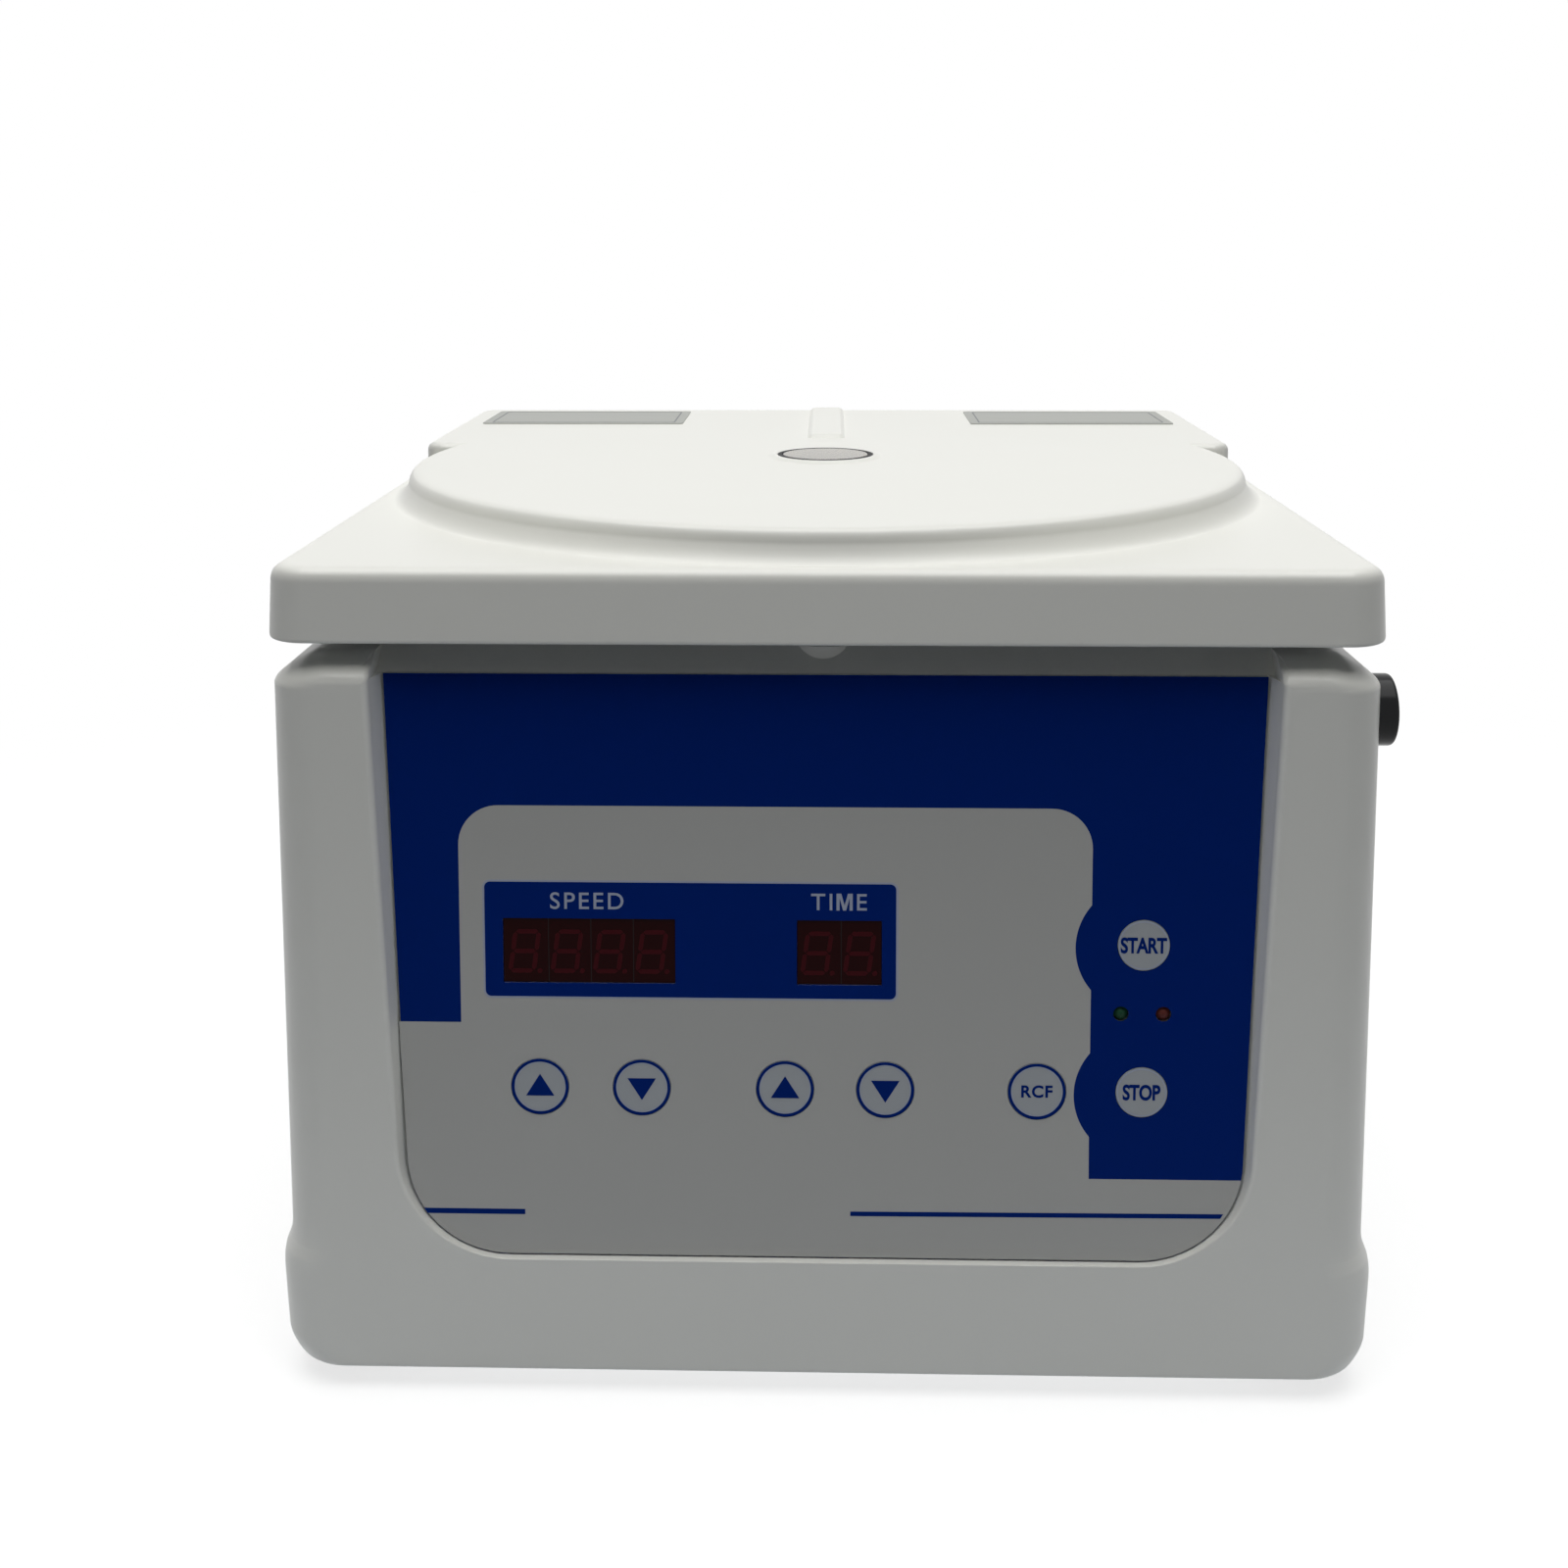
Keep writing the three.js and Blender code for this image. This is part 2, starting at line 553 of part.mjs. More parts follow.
function shoulderLevels() {
  const length = Math.hypot(SHOULDER_RUN, SHOULDER_RISE);
  const alongRun = (EDGE_ROUND * SHOULDER_RUN) / length;
  const alongRise = (EDGE_ROUND * SHOULDER_RISE) / length;
  const levels = [
    ...rounded([0, SHOULDER_Z - EDGE_ROUND], [0, SHOULDER_Z], [-alongRun, SHOULDER_Z + alongRise]),
    ...rounded([-SHOULDER_RUN + alongRun, DECK_Z - alongRise], [-SHOULDER_RUN, DECK_Z], [-SHOULDER_RUN - EDGE_ROUND, DECK_Z]),
  ];
  return levels.map(([offset, z]) => [offset, z, sideShoulder(z)]);
}

// How far the sides have drawn in at a height, before the shoulder's own slope
function sideShoulder(z) {
  return -THREE.MathUtils.clamp(z - SHOULDER_Z + SIDE_SHOULDER, 0, SIDE_SHOULDER);
}

// How far the sides stand out at a height within the cut above the bottom edge
function sideCut(z) {
  return FOOT_FLARE - SIDE_CUT * (1 - (z - EDGE_Z) / SIDE_CUT_RISE);
}

function housingOuter() {
  const footRound = quarterArc([WALL_DRAFT - BOTTOM_ROUND, EDGE_Z + BOTTOM_ROUND], BOTTOM_ROUND, -Math.PI / 2, 0);
  const levels = [
    ...footRound.map(([offset, z]) => [offset, z, sideCut(z)]),
    [WALL_DRAFT, EDGE_Z + SIDE_CUT_RISE, FOOT_FLARE],
    [WALL_DRAFT, EDGE_Z + PLINTH_HEIGHT, PLINTH_FLARE],
    [WALL_DRAFT, EDGE_Z + PLINTH_HEIGHT + PLINTH_BLEND],
    [0, SHOULDER_Z - SIDE_SHOULDER],
    ...shoulderLevels(),
  ];
  return lofted({ x: HALF_WIDTH, y: HALF_DEPTH, r: HOUSING_CORNER }, levels);
}

function housingHollow() {
  const slant = HOUSING_WALL * Math.hypot(1, SHOULDER_RISE / SHOULDER_RUN);
  const slope = SHOULDER_RISE / SHOULDER_RUN;
  const topIn = (SHOULDER_RISE - HOUSING_WALL + slant) / slope;
  const levels = [
    [OPENING_IN, EDGE_Z - OVERRUN, FOOT_FLARE],
    [OPENING_IN, LEDGE_Z, FOOT_FLARE],
    [WALL_DRAFT - HOUSING_WALL, LEDGE_Z + HOUSING_WALL, FOOT_FLARE],
    [WALL_DRAFT - HOUSING_WALL, EDGE_Z + PLINTH_HEIGHT, PLINTH_FLARE],
    [WALL_DRAFT - HOUSING_WALL, EDGE_Z + PLINTH_HEIGHT + PLINTH_BLEND],
    [-HOUSING_WALL, SHOULDER_Z - SIDE_SHOULDER - HOUSING_WALL / 2],
    [-HOUSING_WALL, SHOULDER_Z + HOUSING_WALL * slope - slant, -SIDE_SHOULDER],
    [-topIn, DECK_Z - HOUSING_WALL, -SIDE_SHOULDER],
  ];
  return lofted({ x: HALF_WIDTH, y: HALF_DEPTH, r: HOUSING_CORNER }, levels);
}

// The wall that carries the panel and slopes up to the deck behind it. It starts in the front wall at every height
function recessBacking(front) {
  const seat = drawnAlongY(
    panelOutline(HOUSING_WALL, PANEL_LENGTH),
    -HOUSING_WALL - PANEL_LENGTH * Math.sin(PANEL_LEAN),
    PANEL_SEAT + HOUSING_WALL,
    panelFrame,
  );
  const reach = PANEL_TOP_WIDTH / 2 + HOUSING_WALL;
  const slope = drawnAlongX(
    [
      [front, seatTop.z - HOUSING_WALL],
      [seatTop.y + HOUSING_WALL, seatTop.z - HOUSING_WALL],
      [DECK_EDGE + HOUSING_WALL, DECK_Z - HOUSING_WALL],
      [DECK_EDGE + HOUSING_WALL, DECK_Z],
      [front, DECK_Z],
    ],
    -reach,
    reach,
  );
  return seat.add(slope);
}

function recessCut(front) {
  const pocket = drawnAlongY(panelOutline(GAP, PANEL_LENGTH + OVERRUN), -PANEL_CORNER, PANEL_SEAT, panelFrame);
  const reach = PANEL_TOP_WIDTH / 2 + GAP;
  const slope = drawnAlongX(
    [
      [front, seatTop.z],
      [seatTop.y, seatTop.z],
      [DECK_EDGE + OVERRUN, DECK_Z + OVERRUN],
      [front, DECK_Z + OVERRUN],
    ],
    -reach,
    reach,
  );
  const window = block(
    [-PANEL_WINDOW_WIDTH / 2, 0, PANEL_WINDOW_LOW],
    [PANEL_WINDOW_WIDTH / 2, PANEL_SEAT + HOUSING_WALL + OVERRUN, PANEL_WINDOW_HIGH],
    panelFrame,
  );
  return joined([pocket, slope, window]);
}

function footPlaces() {
  const x = HALF_WIDTH + WALL_DRAFT + PLINTH_FLARE - FOOT_INSET_X;
  const y = FRONT_MOST - FOOT_INSET_Y;
  return [
    ["front_left", -x, -y],
    ["front_right", x, -y],
    ["rear_left", -x, y],
    ["rear_right", x, y],
  ];
}

function housingBosses() {
  return footPlaces().flatMap(([, x, y]) => {
    const wall = Math.sign(x) * (HALF_WIDTH - OVERRUN);
    const post = bar("z", BOSS_RADIUS, LEDGE_Z, LEDGE_Z + BOSS_HEIGHT, [x, y], COARSE);
    const web = block(
      [Math.min(x, wall), y - BOSS_WEB / 2, LEDGE_Z],
      [Math.max(x, wall), y + BOSS_WEB / 2, LEDGE_Z + BOSS_HEIGHT],
    );
    return [post, web];
  });
}

function rearCuts() {
  const back = FRONT_MOST + OVERRUN;
  const front = HALF_DEPTH - HOUSING_WALL - OVERRUN;
  const opening = (across, width, height) =>
    block(
      [across - width / 2 - GAP, front, EDGE_Z + INLET_RISE - height / 2 - GAP],
      [across + width / 2 + GAP, back, EDGE_Z + INLET_RISE + height / 2 + GAP],
    );
  const vents = Array.from({ length: VENT_COUNT }, (_, i) =>
    opening(VENT_ACROSS + (i - (VENT_COUNT - 1) / 2) * VENT_PITCH, VENT_WIDTH, VENT_HEIGHT),
  );
  return [
    opening(INLET_ACROSS, INLET_BODY_WIDTH, INLET_BODY_HEIGHT),
    opening(SWITCH_ACROSS, SWITCH_FRAME_WIDTH, SWITCH_FRAME_HEIGHT),
    ...vents,
  ];
}

function addHousing(machine) {
  const front = -HALF_DEPTH - HOUSING_CORNER;
  const outer = housingOuter();
  const striker = bar("z", STRIKER_RING_RADIUS, DECK_Z - SHOULDER_RISE, DECK_Z + STRIKER_RING_HEIGHT, [0, LOCK_Y], MIDDLE);
  const inside = joined([recessBacking(front), ...housingBosses()]).intersect(outer);
  const shell = cut(outer.subtract(housingHollow()).add(inside), [recessCut(front)]).add(striker);
  const openings = [
    bar("z", BOWL_RADIUS + BOWL_SHEET + SLIP * 2, DECK_Z - HOUSING_WALL * 2, DECK_Z + OVERRUN, [0, ROTOR_BACK], FINE),
    bar("z", STRIKER_HOLE_RADIUS, DECK_Z - SHOULDER_RISE * 2, DECK_Z + OVERRUN, [0, LOCK_Y], MIDDLE),
    bar("x", BUTTON_RADIUS + SLIP, HALF_WIDTH - HOUSING_WALL * 2, HALF_WIDTH + OVERRUN, [LOCK_Y, LOCK_Z], MIDDLE),
    ...rearCuts(),
  ];
  piece("housing", cut(shell, openings), whiteShell(), machine);
}

function addFeet(machine) {
  for (const [corner, x, y] of footPlaces()) {
    const foot = turned(
      [
        [0, 0],
        [FOOT_RADIUS - FOOT_CHAMFER, 0],
        [FOOT_RADIUS, FOOT_CHAMFER],
        [FOOT_RADIUS, FOOT_HEIGHT],
        [0, FOOT_HEIGHT],
      ],
      MIDDLE,
    );
    piece(`foot_${corner}`, foot, rubber(), groupAt(machine, x, y, 0));
  }
}

function damperPlaces() {
  return Array.from({ length: DAMPER_COUNT }, (_, i) => {
    const angle = Math.PI / 2 + (i * 2 * Math.PI) / DAMPER_COUNT;
    return [DAMPER_CIRCLE * Math.cos(angle), ROTOR_BACK + DAMPER_CIRCLE * Math.sin(angle)];
  });
}

function addBasePlate(machine) {
  const half = { x: HALF_WIDTH, y: HALF_DEPTH, r: HOUSING_CORNER };
  const edge = OPENING_IN - GAP;
  const plate = lofted(half, [
    [edge, BASE_Z, FOOT_FLARE],
    [edge, BASE_TOP, FOOT_FLARE],
  ]);
  const pillars = damperPlaces().map((at) =>
    bar("z", PILLAR_RADIUS, BASE_TOP - OVERRUN, BRACKET_Z - DAMPER_HEIGHT, at, COARSE),
  );
  const inset = STANDOFF_INSET;
  const corners = [-1, 1].flatMap((sx) =>
    [-1, 1].map((sy) => [
      POWER_BOARD_LEFT + POWER_BOARD_WIDTH / 2 + sx * (POWER_BOARD_WIDTH / 2 - inset),
      POWER_BOARD_REAR - POWER_BOARD_DEPTH / 2 + sy * (POWER_BOARD_DEPTH / 2 - inset),
    ]),
  );
  const posts = corners.map((at) =>
    bar("z", STANDOFF_RADIUS, BASE_TOP - OVERRUN, BASE_TOP + POWER_BOARD_RISE - GAP, at, COARSE),
  );
  const vents = Array.from({ length: BASE_VENTS }, (_, i) => {
    const x = (i - (BASE_VENTS - 1) / 2) * BASE_VENT_PITCH;
    return block(
      [x - BASE_VENT_WIDTH / 2, ROTOR_BACK - BASE_VENT_LENGTH / 2, BASE_Z - OVERRUN],
      [x + BASE_VENT_WIDTH / 2, ROTOR_BACK + BASE_VENT_LENGTH / 2, BASE_TOP + OVERRUN],
    );
  });
  piece("base_plate", cut(joined([plate, ...pillars, ...posts]), vents), zinc(), machine);
}

function addPowerBoard(machine) {
  const z = BASE_TOP + POWER_BOARD_RISE;
  const top = z + BOARD_THICKNESS;
  const left = POWER_BOARD_LEFT;
  const near = POWER_BOARD_REAR - POWER_BOARD_DEPTH;
  const board = block([left, near, z], [left + POWER_BOARD_WIDTH, near + POWER_BOARD_DEPTH, top]);
  const coilX = left + STANDOFF_INSET;
  const coilY = near + STANDOFF_INSET;
  const coil = block([coilX, coilY, top - BOARD_THICKNESS / 2], [coilX + COIL_WIDTH, coilY + COIL_DEPTH, top + COIL_HEIGHT]);
  const right = left + POWER_BOARD_WIDTH - STANDOFF_INSET - CAPACITOR_RADIUS;
  const capacitors = [0, 1].map((i) =>
    bar(
      "z",
      CAPACITOR_RADIUS,
      top - BOARD_THICKNESS / 2,
      top + CAPACITOR_HEIGHT,
      [right, near + STANDOFF_INSET + CAPACITOR_RADIUS + i * (2 * CAPACITOR_RADIUS + STANDOFF_INSET)],
      COARSE,
    ),
  );
  piece("power_board", joined([board, coil, ...capacitors]), boardGreen(), machine);
}

function addDriveMount(drive) {
  const bracket = turned(
    [
      [BRACKET_HOLE_RADIUS, BRACKET_Z],
      [BRACKET_RADIUS, BRACKET_Z],
      [BRACKET_RADIUS, BRACKET_Z + BRACKET_THICKNESS],
      [BRACKET_HOLE_RADIUS, BRACKET_Z + BRACKET_THICKNESS],
    ],
    MIDDLE,
  );
  piece("motor_bracket", bracket, zinc(), drive);
  damperPlaces().forEach(([x, y], i) => {
    const damper = bar("z", DAMPER_RADIUS, BRACKET_Z - DAMPER_HEIGHT + GAP, BRACKET_Z - GAP, [x, y - ROTOR_BACK], COARSE);
    piece(`damper_${i + 1}`, damper, rubber(), drive);
  });
}

function addMotor(drive) {
  const bore = BEARING_RADIUS + GAP;
  const inner = MOTOR_RADIUS - MOTOR_WALL;
  const can = turned(
    [
      [bore, MOTOR_Z],
      [MOTOR_RADIUS, MOTOR_Z],
      [MOTOR_RADIUS, MOTOR_TOP],
      [bore, MOTOR_TOP],
      [bore, MOTOR_TOP - MOTOR_END],
      [inner, MOTOR_TOP - MOTOR_END],
      [inner, MOTOR_Z + MOTOR_END],
      [bore, MOTOR_Z + MOTOR_END],
    ],
    MIDDLE,
  );
  piece("motor_can", can, zinc(), drive);
  const ring = (inside, outside, low, high) =>
    turned(
      [
        [inside, low],
        [outside, low],
        [outside, high],
        [inside, high],
      ],
      MIDDLE,
    );
  const race = SHAFT_RADIUS + GAP;
  piece("lower_bearing", ring(race, BEARING_RADIUS, MOTOR_Z, MOTOR_Z + MOTOR_END), steel(), drive);
  piece("upper_bearing", ring(race, BEARING_RADIUS, MOTOR_TOP - MOTOR_END, MOTOR_TOP), steel(), drive);
  const low = MOTOR_Z + MOTOR_END + ARMATURE_INSET;
  const high = MOTOR_TOP - MOTOR_END - ARMATURE_INSET;
  piece("motor_armature", ring(race, ARMATURE_RADIUS, low, high), steel(), drive);
  const nutSeat = HUB_TOP + GAP;
  const shaft = turned(
    [
      [0, MOTOR_Z],
      [SHAFT_RADIUS, MOTOR_Z],
      [SHAFT_RADIUS, nutSeat],
      [SHAFT_TIP_RADIUS, nutSeat],
      [SHAFT_TIP_RADIUS, DECK_Z - SHAFT_TOP_DROP],
      [0, DECK_Z - SHAFT_TOP_DROP],
    ],
    COARSE,
  );
  piece("motor_shaft", shaft, steel(), drive);
}

function addChamber(drive) {
  const outer = BOWL_RADIUS + BOWL_SHEET;
  const outerArc = quarterArc([outer - BOWL_ROUND, BOWL_Z + BOWL_ROUND], BOWL_ROUND, -Math.PI / 2, 0);
  const innerRound = BOWL_ROUND - BOWL_SHEET;
  const innerArc = quarterArc([outer - BOWL_ROUND, BOWL_Z + BOWL_ROUND], innerRound, 0, -Math.PI / 2);
  const bowl = turned(
    [
      [BOWL_HOLE_RADIUS, BOWL_Z],
      ...outerArc,
      [outer, FLANGE_Z],
      [BOWL_RIM, FLANGE_Z],
      [BOWL_RIM, FLANGE_Z + BOWL_SHEET],
      [BOWL_RADIUS, FLANGE_Z + BOWL_SHEET],
      ...innerArc,
      [BOWL_HOLE_RADIUS, BOWL_Z + BOWL_SHEET],
    ],
    FINE,
  );
  piece("chamber_bowl", bowl, steel(), drive);
  const sealZ = FLANGE_Z + BOWL_SHEET + GAP;
  const sealIn = BOWL_RADIUS + SEAL_INSET;
  const seal = turned(
    [
      [sealIn, sealZ],
      [sealIn + SEAL_WIDTH, sealZ],
      [sealIn + SEAL_WIDTH, LINER_Z - GAP],
      [sealIn, LINER_Z - GAP],
    ],
    FINE,
  );
  piece("chamber_seal", seal, paleRubber(), drive);
  const lip = BOWL_HOLE_RADIUS + GROMMET_LIP;
  const bore = SHAFT_RADIUS + SLIP;
  const neck = BOWL_HOLE_RADIUS - GAP;
  const floorTop = BOWL_Z + BOWL_SHEET + GAP;
  const grommet = turned(
    [
      [bore, BOWL_Z - GAP - GROMMET_THICKNESS],
      [lip, BOWL_Z - GAP - GROMMET_THICKNESS],
      [lip, BOWL_Z - GAP],
      [neck, BOWL_Z - GAP],
      [neck, floorTop],
      [lip, floorTop],
      [lip, floorTop + GROMMET_THICKNESS],
      [bore, floorTop + GROMMET_THICKNESS],
    ],
    MIDDLE,
  );
  piece("shaft_seal", grommet, rubber(), drive);
}

// One arm of the rotor head along +X: two prongs with open slots for the bucket's trunnions
function forkPieces() {
  const low = PIVOT_Z - PRONG_HEIGHT / 2;
  const high = PIVOT_Z + PRONG_HEIGHT / 2;
  const inner = FORK_GAP / 2;
  const outer = inner + PRONG_THICKNESS;
  const start = HUB_RADIUS / 2;
  const end = PIVOT_RADIUS + PRONG_REACH;
  const prongs = [-1, 1].map((side) =>
    block([start, Math.min(side * inner, side * outer), low], [end, Math.max(side * inner, side * outer), high]),
  );
  const slot = TRUNNION_RADIUS + GAP;
  const seat = bar("y", slot, -outer - OVERRUN, outer + OVERRUN, [PIVOT_RADIUS, PIVOT_Z], COARSE);
  const mouth = block(
    [PIVOT_RADIUS - slot, -outer - OVERRUN, PIVOT_Z],
    [PIVOT_RADIUS + slot, outer + OVERRUN, high + OVERRUN],
  );
  return cut(joined(prongs), [seat, mouth]);
}

function addRotor(drive) {
  const bore = SHAFT_RADIUS + GAP;
  const hubLow = PIVOT_Z - HUB_HEIGHT / 2;
  const neckLow = hubLow - HUB_NECK_LENGTH;
  const hub = turned(
    [
      [0, neckLow],
      [HUB_NECK_RADIUS, neckLow],
      [HUB_NECK_RADIUS, hubLow],
      [HUB_RADIUS, hubLow],
      [HUB_RADIUS, HUB_TOP],
      [0, HUB_TOP],
    ],
    MIDDLE,
  );
  const arm = forkPieces();
  const arms = Array.from({ length: BUCKET_COUNT }, (_, i) => arm.rotate([0, 0, (i * 360) / BUCKET_COUNT]));
  const shaftHole = bar("z", bore, neckLow - OVERRUN, HUB_TOP + OVERRUN, [0, 0], COARSE);
  piece("rotor_head", cut(joined([hub, ...arms]), [shaftHole]), aluminium(), drive);
  const nutLow = HUB_TOP + GAP * 2;
  const nutBore = SHAFT_TIP_RADIUS + GAP;
  const boreTop = DECK_Z - SHAFT_TOP_DROP + GAP;
  const nut = turned(
    [
      [nutBore, nutLow],
      [NUT_RADIUS, nutLow],
      [NUT_RADIUS, nutLow + NUT_HEIGHT - NUT_DOME],
      [NUT_RADIUS - NUT_DOME, nutLow + NUT_HEIGHT],
      [0, nutLow + NUT_HEIGHT],
      [0, boreTop],
      [nutBore, boreTop],
      [nutBore, nutLow],
    ],
    MIDDLE,
  );
  piece("rotor_nut", nut, steel(), drive);
}

function bucketSolid() {
  const floor = -BUCKET_BELOW + BUCKET_FLOOR;
  const cup = turned(
    [
      [0, -BUCKET_BELOW],
      ...rounded(
        [BUCKET_RADIUS - BUCKET_ROUND, -BUCKET_BELOW],
        [BUCKET_RADIUS, -BUCKET_BELOW],
        [BUCKET_RADIUS, -BUCKET_BELOW + BUCKET_ROUND],
      ),
      [BUCKET_RADIUS, -BUCKET_COLLAR_BELOW - OVERRUN],
      [BUCKET_COLLAR_RADIUS, -BUCKET_COLLAR_BELOW],
      [BUCKET_COLLAR_RADIUS, BUCKET_ABOVE],
      [BUCKET_BORE_RADIUS, BUCKET_ABOVE],
      ...rounded(
        [BUCKET_BORE_RADIUS, floor + BUCKET_BORE_RADIUS],
        [BUCKET_BORE_RADIUS, floor],
        [0, floor],
      ),
    ],
    MIDDLE,
  );
  const reach = FORK_GAP / 2 + PRONG_THICKNESS - GAP;
  const start = BUCKET_COLLAR_RADIUS - OVERRUN;
  const pins = [
    bar("y", TRUNNION_RADIUS, start, reach, [0, 0], COARSE),
    bar("y", TRUNNION_RADIUS, -reach, -start, [0, 0], COARSE),
  ];
  return joined([cup, ...pins]);
}

function addBuckets(drive) {
  for (let i = 0; i < BUCKET_COUNT; i += 1) {
    const arm = groupAt(drive, 0, 0, PIVOT_Z);
    arm.rotation.z = (i * 2 * Math.PI) / BUCKET_COUNT;
    piece(`bucket_${i + 1}`, bucketSolid(), aluminium(), groupAt(arm, PIVOT_RADIUS, 0, 0));
  }
}

// Solids of the lid, in a frame with the skirt's edge at z = 0
function lidBody() {
  const frame = { x: LID_WIDTH / 2, y: LID_DEPTH / 2, r: LID_CORNER };
  const slab = lofted(frame, [
    [-LID_BEVEL, 0],
    [0, LID_BEVEL],
    ...rounded(
      [-LID_DRAFT, LID_SKIRT - LID_ROUND],
      [-LID_DRAFT, LID_SKIRT],
      [-LID_DRAFT - LID_ROUND, LID_SKIRT],
    ),
  ]);
  const round = PLATEAU_STEP / 3;
  const disc = turned(
    [
      [0, LID_SKIRT - LID_WALL],
      [PLATEAU_FOOT_RADIUS, LID_SKIRT - LID_WALL],
      [PLATEAU_FOOT_RADIUS, LID_SKIRT],
      ...rounded([PLATEAU_RADIUS + round / 2, LID_TOP - round], [PLATEAU_RADIUS, LID_TOP], [PLATEAU_RADIUS - round, LID_TOP]),
      [0, LID_TOP],
    ],
    FINE,
  ).translate([0, -PLATEAU_FORWARD, 0]);
  const strip = lofted(
    { x: STRIP_WIDTH / 2, y: STRIP_DEPTH / 2, r: STRIP_CORNER, centre: STRIP_BACK },
    [
      [0, LID_SKIRT - LID_WALL],
      ...rounded([0, LID_TOP - round], [0, LID_TOP], [-round, LID_TOP]),
    ],
  );
  const rear = STRIP_BACK + STRIP_DEPTH / 2 - round;
  const rib = block([-RIB_WIDTH / 2, rear - RIB_LENGTH, LID_TOP - OVERRUN], [RIB_WIDTH / 2, rear, LID_TOP + RIB_HEIGHT]);
  const ring = WINDOW_RADIUS + WINDOW_RING + GAP * 2 + WINDOW_BOSS;
  const boss = bar("z", ring, LID_SKIRT, LID_TOP + WINDOW_BOSS_HEIGHT, [0, ROTOR_BACK], MIDDLE);
  return joined([slab, disc, strip, rib, boss]);
}

function lidHollow() {
  const frame = { x: LID_WIDTH / 2, y: LID_DEPTH / 2, r: LID_CORNER };
  const slab = lofted(frame, [
    [-LID_WALL, -OVERRUN],
    [-LID_WALL, LINER_THICKNESS + GAP * 2],
    [-LID_WALL - LID_DRAFT, LID_SKIRT - LID_ROUND],
    [-LID_DRAFT - LID_ROUND, LID_SKIRT - LID_WALL],
  ]);
  const disc = bar(
    "z",
    PLATEAU_RADIUS - LID_WALL,
    LID_SKIRT - LID_WALL - OVERRUN,
    LID_TOP - LID_WALL,
    [0, -PLATEAU_FORWARD],
    FINE,
  );
  const strip = lofted(
    { x: STRIP_WIDTH / 2, y: STRIP_DEPTH / 2, r: STRIP_CORNER, centre: STRIP_BACK },
    [
      [-LID_WALL, LID_SKIRT - LID_WALL - OVERRUN],
      [-LID_WALL, LID_TOP - LID_WALL],
    ],
  );
  return joined([slab, disc, strip]);
}

function addLidShell(lid) {
  const seatZ = LID_TOP - WINDOW_LEDGE;
  const seat = WINDOW_RADIUS + WINDOW_RING + GAP * 2;
  const counterbore = bar("z", seat, seatZ, LID_TOP + WINDOW_BOSS_HEIGHT + OVERRUN, [0, ROTOR_BACK], MIDDLE);
  const sight = bar("z", WINDOW_RADIUS - WINDOW_LEDGE, 0, LID_TOP, [0, ROTOR_BACK], MIDDLE);
  piece("lid_shell", cut(lidBody(), [lidHollow(), counterbore, sight]), whiteShell(), lid);

  const z = seatZ + GAP;
  const axis = groupAt(lid, 0, ROTOR_BACK, 0);
  const glass = turned(
    [
      [0, z],
      [WINDOW_RADIUS, z],
      [WINDOW_RADIUS, z + WINDOW_THICKNESS],
      [0, z + WINDOW_THICKNESS],
    ],
    MIDDLE,
  );
  piece("lid_window", glass, clearWindow(), axis);
  const inner = WINDOW_RADIUS + GAP;
  const ring = turned(
    [
      [inner, z],
      [inner + WINDOW_RING, z],
      [inner + WINDOW_RING, z + WINDOW_THICKNESS],
      [inner, z + WINDOW_THICKNESS],
    ],
    MIDDLE,
  );
  piece("window_ring", ring, rubber(), axis);
}

function addLidLiner(lid) {
  const frame = { x: LID_WIDTH / 2, y: LID_DEPTH / 2, r: LID_CORNER };
  const edge = -LID_WALL - GAP;
  const plate = lofted(frame, [
    [edge, GAP],
    [edge, GAP + LINER_THICKNESS],
  ]);
  const sight = bar("z", WINDOW_RADIUS, 0, GAP + LINER_THICKNESS + OVERRUN, [0, ROTOR_BACK], MIDDLE);
  piece("lid_liner", cut(plate, [sight]), greyPlastic(), lid);
}

function addLabels(lid) {
  const rear = STRIP_BACK + STRIP_DEPTH / 2 - LABEL_INSET;
  for (const [side, across] of [["left", -LABEL_ACROSS], ["right", LABEL_ACROSS]]) {
    const plate = block(
      [across - LABEL_WIDTH / 2, rear - LABEL_DEPTH, LID_TOP],
      [across + LABEL_WIDTH / 2, rear, LID_TOP + LABEL_THICKNESS],
    );
    piece(`lid_label_${side}`, plate, greyPlastic(), lid);
  }
}

// The striker hangs from the liner, and its eye takes the lock bolt's nose
function addStriker(lid) {
  const eyeZ = LOCK_Z - LID_Z;
  const foot = block(
    [-STRIKER_FOOT_WIDTH / 2, LOCK_Y - STRIKER_FOOT_DEPTH / 2, -STRIKER_FOOT_THICKNESS],
    [STRIKER_FOOT_WIDTH / 2, LOCK_Y + STRIKER_FOOT_DEPTH / 2, 0],
  );
  const tongue = block(
    [-TONGUE_THICKNESS / 2, LOCK_Y - TONGUE_WIDTH / 2, eyeZ - TONGUE_BELOW_EYE],
    [TONGUE_THICKNESS / 2, LOCK_Y + TONGUE_WIDTH / 2, -STRIKER_FOOT_THICKNESS / 2],
  );
  const eye = block(
    [-TONGUE_THICKNESS, LOCK_Y - EYE_SIDE / 2, eyeZ - EYE_SIDE / 2],
    [TONGUE_THICKNESS, LOCK_Y + EYE_SIDE / 2, eyeZ + EYE_SIDE / 2],
  );
  piece("striker", cut(foot.add(tongue), [eye]), steel(), lid);
}

